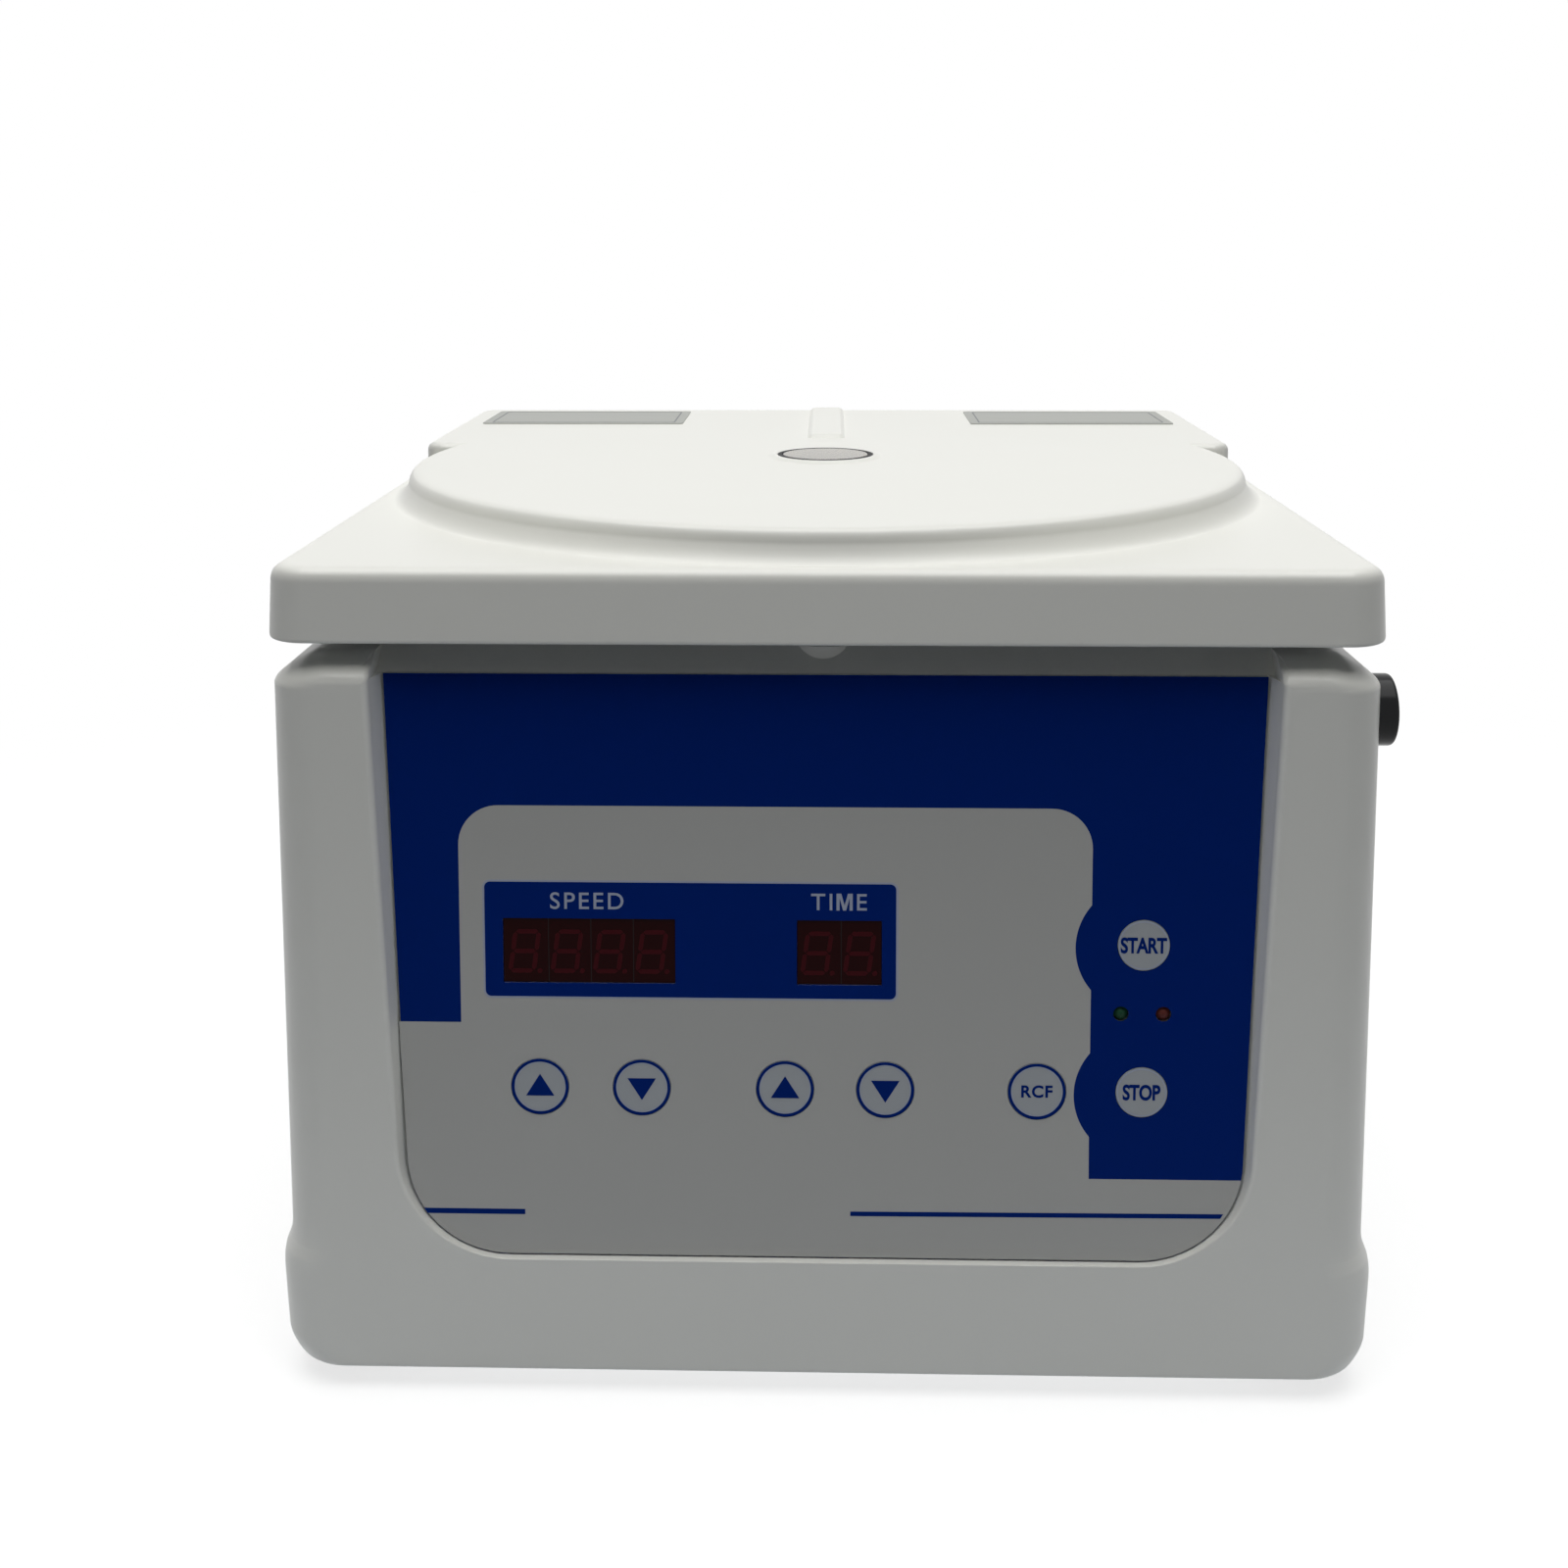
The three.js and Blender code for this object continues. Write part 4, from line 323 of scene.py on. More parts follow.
@dataclass(frozen=True)
class TurnedMetal(Finish):
    """Metal turned or spun about a vertical axis: rings left by the tool."""

    metallic: float = 1.0
    centre: Triple = (0.0, ROTOR_Y, 0.0)
    ring_mm: float = 0.5
    depth_mm: float = 0.004

    def pattern(self, tree: Tree, shader: Node) -> None:
        """Adds the rings, as noise along the distance from the axis."""
        per_metre = 1 / (self.ring_mm * METRE)
        where = self.place(tree, (per_metre, per_metre, 0.0), self.centre)
        far = add(tree, "ShaderNodeVectorMath", {0: where}, operation="LENGTH").outputs["Value"]
        inputs = {"W": far, "Scale": 1.0, "Detail": 2.0}
        rings = add(tree, "ShaderNodeTexNoise", inputs, noise_dimensions="1D").outputs["Fac"]
        self.vary(tree, shader, rings, 0.07)
        self.relief(tree, shader, rings, self.depth_mm)


@dataclass(frozen=True)
class ZincSheet(Finish):
    """Zinc plated steel: a pale metal with a faint spangle of crystals."""

    metallic: float = 1.0
    spangle_mm: float = 5.0

    def pattern(self, tree: Tree, shader: Node) -> None:
        """Adds the spangle to the gloss."""
        where = self.place(tree, (1 / (self.spangle_mm * METRE),) * 3)
        cells = add(tree, "ShaderNodeTexVoronoi", {"Vector": where, "Scale": 1.0})
        grey = add(tree, "ShaderNodeRGBToBW", {"Color": cells.outputs["Color"]})
        self.vary(tree, shader, grey.outputs["Val"], 0.09)


# Moulded ABS lid and housing: bright white with a satin skin that catches soft edges
SHELL_WHITE = MouldedPlastic("white_abs_moulded", "F1F1EA", 0.36)
# Moulded ABS button and switches: deep black with a high gloss
BUTTON_BLACK = MouldedPlastic(
    "black_abs_polished", "0A0C0F", 0.2, sheen_level=0.18, depth_mm=0.003, spread=0.03
)
# Moulded nylon of inlets and frames: black with a fine matt grain
INLET_BLACK = MouldedPlastic("black_nylon_moulded", "1A1B1D", 0.48, grain_mm=0.7, depth_mm=0.01)
# Screen printed polyester film: flat colour under a fine matt texture
FILM_BLUE = PrintedFilm("blue_ink_on_polyester", "02297C", 0.5, sheen_level=0.02, spread=0.03)
FILM_SILVER = PrintedFilm("silver_ink_on_polyester", "C3C3BF", 0.5)
FILM_PALE = PrintedFilm("pale_ink_on_polyester", "B2BACD", 0.5)
# Domed polyester of the keys: silver and a little glossier than the film round it
KEY_SILVER = PrintedFilm("silver_domed_polyester", "A9AEB2", 0.4, sheen_level=0.5)
# Tinted acrylic filter over light emitting digits: nearly black red with a glossy face
FILTER_RED = Finish("red_acrylic_filter", "2A0507", 0.18, sheen_level=0.04)
# Unlit segments behind the filter, and the two unlit epoxy lamps
SEGMENT_RED = Finish("unlit_red_segment", "450C14", 0.3, sheen_level=0.05)
LAMP_GREEN = Finish("green_epoxy_lamp", "15402A", 0.4, sheen_level=0.1)
LAMP_RED = Finish("red_epoxy_lamp", "5A2823", 0.4, sheen_level=0.1)
# Cast acrylic sight glass: clear with a faint warm tint
WINDOW_CLEAR = Finish("clear_acrylic_cast", "B8AF99", 0.06, see_through=0.85, sheen_level=0.4)
# Moulded rubber: matt, with a soft uneven sheen
RUBBER_BLACK = MouldedPlastic("black_rubber_moulded", "1B1C1E", 0.82, grain_mm=1.1, depth_mm=0.03)
RUBBER_GREY = MouldedPlastic("grey_rubber_moulded", "8E8F90", 0.7, grain_mm=1.1, depth_mm=0.02)
RUBBER_PALE = MouldedPlastic("pale_silicone_moulded", "CBCBC4", 0.62, grain_mm=1.4, depth_mm=0.02)
# Calendered sheet of the liner: light grey and dull
LINER_GREY = MouldedPlastic("grey_abs_sheet", "A2A4A5", 0.5, grain_mm=0.9, depth_mm=0.012)
# Printed foil of the labels: dull grey with fine lines and a darker ink
LABEL_GREY = BrushedMetal("grey_printed_foil", "9C9E98", 0.42, metallic=0.25, line_mm=0.4)
LABEL_INK = Finish("dark_label_ink", "6B6E70", 0.5)
# Spun stainless bowl, turned aluminium rotor and bright steel fittings
BOWL_STEEL = TurnedMetal("stainless_steel_spun", "BDBFC1", 0.30, ring_mm=0.9)
ROTOR_ALUMINIUM = TurnedMetal("aluminium_turned", "C9CBCD", 0.28, ring_mm=0.6)
BRIGHT_STEEL = TurnedMetal("steel_turned", "B9BBBE", 0.24, ring_mm=0.5)
HINGE_STEEL = BrushedMetal("steel_brushed", "B4B7BA", 0.32, line_mm=0.3)
# Zinc plated sheet steel inside, brushed aluminium of the panel's plate and drawn brass blades
SHEET_ZINC = ZincSheet("steel_zinc_plated", "AEB2B5", 0.38)
PLATE_ALUMINIUM = BrushedMetal("aluminium_sheet_brushed", "BFC1C3", 0.36)
BRASS_BRIGHT = Finish("brass_drawn", "C9A24B", 0.25, metallic=1.0)
# Glass fibre board with green solder mask: a smooth lacquered face
BOARD_GREEN = Finish("green_solder_mask", "1C5A36", 0.32, coat=0.3)
# Pad printed marks on the rocker: flat white
MARK_WHITE = Finish("white_pad_print", "E4E4E0", 0.5)


@dataclass
class Solid:
    """Points and faces of a closed shape, in millimetres in the machine's frame."""

    points: list[Vector] = field(default_factory=list)
    faces: list[tuple[int, ...]] = field(default_factory=list)

    def plus(self, *others: "Solid") -> "Solid":
        """Returns this solid with others beside it in one mesh.

        Args:
            others: the further solids.

        Returns:
            The joined solid.
        """
        points, faces = list(self.points), list(self.faces)
        for other in others:
            start = len(points)
            points += other.points
            faces += [tuple(start + i for i in face) for face in other.faces]
        return Solid(points, faces)

    def moved(self, matrix: Matrix) -> "Solid":
        """Returns the solid moved by a matrix."""
        return Solid([matrix @ p for p in self.points], list(self.faces))

    def mesh(self, name: str) -> Thing:
        """Makes a mesh object of the solid, still in millimetres.

        Args:
            name: the object's name.

        Returns:
            The object, with its faces turned outwards.
        """
        data = bpy.data.meshes.new(name)
        data.from_pydata([tuple(p) for p in self.points], [], self.faces)
        work = bmesh.new()
        work.from_mesh(data)
        bmesh.ops.remove_doubles(work, verts=work.verts, dist=WELD)
        bmesh.ops.recalc_face_normals(work, faces=work.faces)
        work.to_mesh(data)
        work.free()
        return linked(name, data)


def solid_of_mesh(data: bpy.types.Mesh) -> Solid:
    """Reads a mesh's points and faces."""
    return Solid([v.co.copy() for v in data.vertices], [tuple(p.vertices) for p in data.polygons])


def loft(rings: Sequence[Sequence[Sequence[float]]]) -> Solid:
    """Skins a solid over rings of equally many points.

    Args:
        rings: the rings in order, each a closed loop of points.

    Returns:
        The solid, with a flat face at each end.
    """
    count = len(rings[0])
    points = [Vector(p) for ring in rings for p in ring]
    faces: list[tuple[int, ...]] = []
    for k in range(len(rings) - 1):
        for i in range(count):
            j = (i + 1) % count
            faces.append((k * count + i, k * count + j, (k + 1) * count + j, (k + 1) * count + i))
    faces.append(tuple(reversed(range(count))))
    faces.append(tuple((len(rings) - 1) * count + i for i in range(count)))
    return Solid(points, faces)


def rounded_ring(
    half: Pair,
    radius: float,
    offset: float,
    z: float,
    centre_y: float = 0.0,
    steps: int = 12,
    sideways: float = 0.0,
) -> list[Triple]:
    """Draws a rounded rectangle at one height.

    Args:
        half: half the width and half the depth.
        radius: the corners' radius before the offset.
        offset: how far the outline is grown.
        z: the height.
        centre_y: the rectangle's middle.
        steps: sides in each corner.
        sideways: how much further the two sides stand out.

    Returns:
        The ring's points.
    """
    grown = radius + offset
    ring: list[Triple] = []
    for quarter, (sx, sy) in enumerate(((1, 1), (-1, 1), (-1, -1), (1, -1))):
        for i in range(steps + 1):
            angle = (quarter + i / steps) * math.pi / 2
            x = sx * (half[0] - radius + sideways) + grown * math.cos(angle)
            y = centre_y + sy * (half[1] - radius) + grown * math.sin(angle)
            ring.append((x, y, z))
    return ring


def blend(before: Pair, corner: Pair, after: Pair, steps: int = 8) -> list[Pair]:
    """Rounds a corner of a section.

    Args:
        before: the point where the rounding starts.
        corner: the sharp corner.
        after: the point where it ends.
        steps: sides in the rounding.

    Returns:
        The points from before to after.
    """
    points: list[Pair] = []
    for i in range(steps + 1):
        t = i / steps
        start, pull, end = (1 - t) ** 2, 2 * t * (1 - t), t * t
        points.append(tuple(start * b + pull * c + end * a for b, c, a in zip(before, corner, after)))
    return points


def eased(corner: Pair, down: float, inward: float, steps: int) -> list[Pair]:
    """Rounds the upper outer corner of a section.

    Args:
        corner: the sharp corner, as radius and height.
        down: how far below it the rounding starts.
        inward: how far inside it the rounding ends.
        steps: sides in the rounding.

    Returns:
        The points from the side to the top.
    """
    x, z = corner
    return blend((x, z - down), corner, (x - inward, z), steps)


def stack(half: Pair, radius: float, levels: Iterable[Pair], centre_y: float = 0.0, steps: int = 12) -> Solid:
    """Skins a slab with rounded corners.

    Args:
        half: half the width and half the depth.
        radius: the corners' radius.
        levels: how far the outline is grown and at what height, from below.
        centre_y: the slab's middle.
        steps: sides in each corner.

    Returns:
        The slab.
    """
    return loft([rounded_ring(half, radius, offset, z, centre_y, steps) for offset, z in levels])


def turned(section: Sequence[Pair], centre: Pair = (0.0, 0.0), steps: int = 96) -> Solid:
    """Turns a closed section about a vertical axis.

    Args:
        section: points of radius and height, as a closed loop.
        centre: the axis's X and Y.
        steps: sides around the axis.

    Returns:
        The turned solid.
    """
    points: list[Vector] = []
    for i in range(steps):
        angle = 2 * math.pi * i / steps
        along, across = math.cos(angle), math.sin(angle)
        points += [Vector((centre[0] + r * along, centre[1] + r * across, z)) for r, z in section]
    count = len(section)
    faces: list[tuple[int, ...]] = []
    for i in range(steps):
        j = (i + 1) % steps
        for k in range(count):
            m = (k + 1) % count
            if section[k][0] == 0 and section[m][0] == 0:
                continue
            face = [i * count + k, j * count + k, j * count + m, i * count + m]
            if section[k][0] == 0:
                face.pop(1)
            elif section[m][0] == 0:
                face.pop(2)
            faces.append(tuple(face))
    return Solid(points, faces)


class Axis(Enum):
    """Directions that a bar can run in, with the turn from Z to each."""

    X = Matrix.Rotation(math.pi / 2, 4, "Y")
    Y = Matrix.Rotation(-math.pi / 2, 4, "X")
    Z = Matrix.Identity(4)


def bar(
    axis: Axis,
    radius: float,
    start: float,
    end: float,
    through: Pair,
    chamfer: float = 0.0,
    steps: int = 40,
) -> Solid:
    """Makes a round bar.

    Args:
        axis: the bar's direction.
        radius: the bar's radius.
        start: the station of its first end along the axis.
        end: the station of its last end.
        through: the other two coordinates of its axis, in X, Y, Z order.
        chamfer: the bevel at both ends.
        steps: sides around it.

    Returns:
        The bar.
    """
    c = chamfer
    side = [(radius, start), (radius, end)]
    if c:
        side = [(radius - c, start), (radius, start + c), (radius, end - c), (radius - c, end)]
    a, b = through
    spot = {Axis.X: (0.0, a, b), Axis.Y: (a, 0.0, b), Axis.Z: (a, b, 0.0)}[axis]
    return turned([(0.0, start), *side, (0.0, end)], steps=steps).moved(shift(*spot) @ axis.value)


def block(low: Triple, high: Triple, bevel: float = 0.0, segments: int = 2) -> Solid:
    """Makes a block with softened edges.

    Args:
        low: its lowest corner.
        high: its highest corner.
        bevel: the width of the softened edges.
        segments: steps across each edge.

    Returns:
        The block.
    """
    work = bmesh.new()
    bmesh.ops.create_cube(work, size=1.0)
    for vertex in work.verts:
        vertex.co = Vector([lo + (c + 0.5) * (hi - lo) for lo, hi, c in zip(low, high, vertex.co)])
    if bevel:
        edges = work.edges[:]
        bmesh.ops.bevel(work, geom=edges, offset=bevel, segments=segments, profile=0.5, affect="EDGES")
    work.verts.index_update()
    solid = Solid([v.co.copy() for v in work.verts], [tuple(v.index for v in f.verts) for f in work.faces])
    work.free()
    return solid


def plain(obj: Thing) -> Thing:
    """Applies an object's modifiers to its mesh.

    Args:
        obj: the object.

    Returns:
        The same object with a plain mesh.
    """
    bpy.context.view_layer.update()
    made = bpy.data.meshes.new_from_object(obj.evaluated_get(bpy.context.evaluated_depsgraph_get()))
    made.name = obj.name
    obj.modifiers.clear()
    obj.data = made
    return obj


class Join(Enum):
    """Ways to combine solids."""

    UNION = "UNION"
    CUT = "DIFFERENCE"
    COMMON = "INTERSECT"


def combined(base: Thing, way: Join, others: Iterable[Solid]) -> Thing:
    """Combines a mesh with solids.

    Args:
        base: the mesh that is changed.
        way: how they combine.
        others: the solids.

    Returns:
        The base.
    """
    tools = [solid.mesh("tool") for solid in others]
    for tool in tools:
        modifier = base.modifiers.new("combine", "BOOLEAN")
        modifier.operation = way.value
        modifier.solver = "MANIFOLD"
        modifier.object = tool
    plain(base)
    for tool in tools:
        bpy.data.objects.remove(tool)
    return base


def finished(obj: Thing, sharp_deg: float = SHARP_DEG) -> Thing:
    """Shades a mesh smoothly between its edges and puts it in the row frame.

    Args:
        obj: a mesh in millimetres.
        sharp_deg: angle past which an edge stays sharp.

    Returns:
        The same object, in metres.
    """
    obj.data.shade_smooth()
    obj.data.set_sharp_from_angle(angle=math.radians(sharp_deg))
    weighted = obj.modifiers.new("even", "WEIGHTED_NORMAL")
    weighted.keep_sharp = True
    weighted.weight = 80
    plain(obj)
    obj.data.transform(TO_ROW)
    return obj


def dress(obj: Thing, finish: Finish, body: str, slot: str, *nodes: str) -> Thing:
    """Gives a finished mesh its material, its body and the nodes that it stands for.

    Args:
        obj: the finished mesh.
        finish: its surface.
        body: the body that it moves with.
        slot: not used.
        nodes: CAD nodes that it replaces.

    Returns:
        The object.
    """
    obj.data.materials.clear()
    obj.data.materials.append(finish.material())
    if nodes:
        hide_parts(*nodes)
    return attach(obj, body)


def make(
    solid: Solid, name: str, finish: Finish, body: str, slot: str, *nodes: str, sharp_deg: float = SHARP_DEG
) -> Thing:
    """Makes a finished and dressed piece of a solid.

    Args:
        solid: its shape.
        name: the piece's name.
        finish: its surface.
        body: the body that it moves with.
        slot: the record's material slot.
        nodes: CAD nodes that it replaces.
        sharp_deg: angle past which an edge stays sharp.

    Returns:
        The piece.
    """
    return dress(finished(solid.mesh(name), sharp_deg), finish, body, slot, *nodes)


def drawing(outlines: Sequence[Sequence[Pair]], thickness: float) -> Solid:
    """Fills flat outlines, the inner ones as holes.

    Args:
        outlines: closed loops, in the XY plane.
        thickness: the sheet's thickness, below z = 0.

    Returns:
        The thin solid.
    """
    curve = bpy.data.curves.new("drawing", "CURVE")
    curve.dimensions = "2D"
    curve.fill_mode = "BOTH"
    curve.extrude = thickness / 2
    for outline in outlines:
        spline = curve.splines.new("POLY")
        spline.points.add(len(outline) - 1)
        for point, (x, y) in zip(spline.points, outline):
            point.co = (x, y, 0.0, 1.0)
        spline.use_cyclic_u = True
    return solid_of_curve(curve, thickness)


def solid_of_curve(curve: bpy.types.Curve, thickness: float) -> Solid:
    """Turns a filled curve or text into a solid whose face lies at z = 0."""
    obj = linked("drawing", curve)
    bpy.context.view_layer.update()
    data = bpy.data.meshes.new_from_object(obj.evaluated_get(bpy.context.evaluated_depsgraph_get()))
    solid = solid_of_mesh(data).moved(shift(z=-thickness / 2))
    bpy.data.objects.remove(obj)
    bpy.data.meshes.remove(data)
    return solid


def lettering(words: str, height: float, weight: float, spacing: float, thickness: float) -> Solid:
    """Draws words with their middle at the origin.

    Args:
        words: the words.
        height: the capitals' height.
        weight: how much each stroke is thickened on both sides.
        spacing: the letters' spacing, where 1 is normal.
        thickness: the ink's thickness.

    Returns:
        The letters as a thin solid.
    """
    curve = bpy.data.curves.new("lettering", "FONT")
    curve.body = words
    curve.size = height / CAPITALS_SHARE
    curve.space_character = spacing
    curve.offset = weight
    curve.resolution_u = 6
    curve.extrude = thickness / 2
    solid = solid_of_curve(curve, thickness)
    low = Vector([min(p[i] for p in solid.points) for i in range(3)])
    high = Vector([max(p[i] for p in solid.points) for i in range(3)])
    middle = (low + high) / 2
    return solid.moved(shift(-middle.x, -middle.y))


def circle(centre: Pair, radius: float, steps: int = 72) -> list[Pair]:
    """Draws a circle as a loop of points."""
    angles = [2 * math.pi * i / steps for i in range(steps)]
    return [(centre[0] + radius * math.cos(a), centre[1] + radius * math.sin(a)) for a in angles]


def arc(centre: Pair, radius: float, start_deg: float, end_deg: float, steps: int = 14) -> list[Pair]:
    """Draws an arc from one direction to another, in degrees."""
    angles = [math.radians(start_deg + (end_deg - start_deg) * i / steps) for i in range(steps + 1)]
    return [(centre[0] + radius * math.cos(a), centre[1] + radius * math.sin(a)) for a in angles]


def round_box(low: Pair, high: Pair, radius: float) -> list[Pair]:
    """Draws a rectangle with rounded corners."""
    (x0, y0), (x1, y1) = low, high
    r = radius
    return [
        *arc((x1 - r, y1 - r), r, 0, 90, 6),
        *arc((x0 + r, y1 - r), r, 90, 180, 6),
        *arc((x0 + r, y0 + r), r, 180, 270, 6),
        *arc((x1 - r, y0 + r), r, 270, 360, 6),
    ]


@dataclass
class Copies:
    """Copies of one small piece on given places, made by a node tree."""

    name: str
    source: Solid
    places: list[Triple]
    turn: Triple = (0.0, 0.0, 0.0)
    turn_step: float = 0.0
    spin: float = 0.0
    seed: int = 7

    def tree(self, source: Thing, finish: Finish) -> Tree:
        """Builds the tree that sets copies on the points.

        Args:
            source: the mesh to copy.
            finish: the copies' surface.

        Returns:
            The tree, with named inputs for the turn, the random spin and its seed.
        """
        tree = bpy.data.node_groups.new(self.name + "_tree", "GeometryNodeTree")
        labels = ("Geometry", "Turn", "Turn Step", "Spin", "Seed")
        for label, kind in zip(labels, ("Geometry", "Vector", "Float", "Float", "Int")):
            tree.interface.new_socket(label, in_out="INPUT", socket_type="NodeSocket" + kind)
        tree.interface.new_socket("Geometry", in_out="OUTPUT", socket_type="NodeSocketGeometry")
        given = add(tree, "NodeGroupInput").outputs
        info = add(tree, "GeometryNodeObjectInfo", {"Object": source}, transform_space="ORIGINAL")
        points = add(tree, "GeometryNodeMeshToPoints", {"Mesh": given["Geometry"]})
        index = add(tree, "GeometryNodeInputIndex").outputs["Index"]
        stepped = add(tree, "ShaderNodeMath", {0: index, 1: given["Turn Step"]}, operation="MULTIPLY")
        around = add(tree, "ShaderNodeCombineXYZ", {"Z": stepped.outputs["Value"]}).outputs["Vector"]
        facing = add(tree, "ShaderNodeVectorMath", {0: given["Turn"], 1: around}, operation="ADD")
        shared = add(tree, "FunctionNodeEulerToRotation", {"Euler": facing.outputs["Vector"]})
        limits = {"Max": given["Spin"], "Seed": given["Seed"]}
        chance = add(tree, "FunctionNodeRandomValue", limits, data_type="FLOAT")
        value = next(o for o in chance.outputs if o.enabled)
        spun = add(tree, "ShaderNodeCombineXYZ", {"Z": value}).outputs["Vector"]
        own = add(tree, "FunctionNodeEulerToRotation", {"Euler": spun})
        both = {"Rotation": shared.outputs["Rotation"], "Rotate By": own.outputs["Rotation"]}
        pose = add(tree, "FunctionNodeRotateRotation", both, rotation_space="LOCAL").outputs["Rotation"]
        what = {"Points": points.outputs["Points"], "Instance": info.outputs["Geometry"], "Rotation": pose}
        copies = add(tree, "GeometryNodeInstanceOnPoints", what).outputs["Instances"]
        real = add(tree, "GeometryNodeRealizeInstances", {"Geometry": copies}).outputs["Geometry"]
        painted = add(tree, "GeometryNodeSetMaterial", {"Geometry": real, "Material": finish.material()})
        add(tree, "NodeGroupOutput", {"Geometry": painted.outputs["Geometry"]})
        return tree

    def build(self, finish: Finish, body: str, slot: str) -> Thing:
        """Makes the copies as one plain mesh.

        Args:
            finish: the copies' surface.
            body: the body that they move with.
            slot: the record's material slot.

        Returns:
            The finished object.
        """
        source = self.source.mesh(self.name + "_source")
        source.data.shade_smooth()
        source.data.set_sharp_from_angle(angle=math.radians(SHARP_DEG))
        data = bpy.data.meshes.new(self.name)
        data.from_pydata(self.places, [], [])
        obj = linked(self.name, data)
        modifier = obj.modifiers.new("copies", "NODES")
        modifier.node_group = self.tree(source, finish)
        values = {"Turn": self.turn, "Turn Step": self.turn_step, "Spin": self.spin, "Seed": self.seed}
        for item in modifier.node_group.interface.items_tree:
            if item.name in values:
                modifier[item.identifier] = values[item.name]
        plain(obj)
        bpy.data.objects.remove(source)
        obj.data.transform(TO_ROW)
        return dress(obj, finish, body, slot)


def screw_head(radius: float, height: float, slot_width: float) -> Solid:
    """Makes a pan head with a cross recess, seen from +Z, with its seat at z = 0."""
    dome = blend((radius, height * 0.35), (radius, height), (radius * 0.45, height), 5)
    head = turned([(0.0, 0.0), (radius, 0.0), *dome, (0.0, height)], steps=28).mesh("head")
    reach, half = radius * 0.55, slot_width / 2
    low, high = height * 0.45, height * 2
    recess = [block((-x, -y, low), (x, y, high)) for x, y in ((reach, half), (half, reach))]
    combined(head, Join.CUT, recess)
    solid = solid_of_mesh(head.data)
    bpy.data.objects.remove(head)
    return solid


def screws(name: str, head: Solid, places: list[Triple], facing: Triple, body: str, seed: int = 7) -> None:
    """Sets bright screws, each turned by chance about its own axis.

    Args:
        name: the piece's name.
        head: one screw's head.
        places: where their seats lie.
        facing: the turn from +Z to the side that they look to.
        body: the body that they move with.
        seed: the seed of the chance turns.
    """
    copies = Copies(name, head, places, facing, spin=SCREW_SPIN, seed=seed)
    copies.build(HINGE_STEEL, body, "steel")


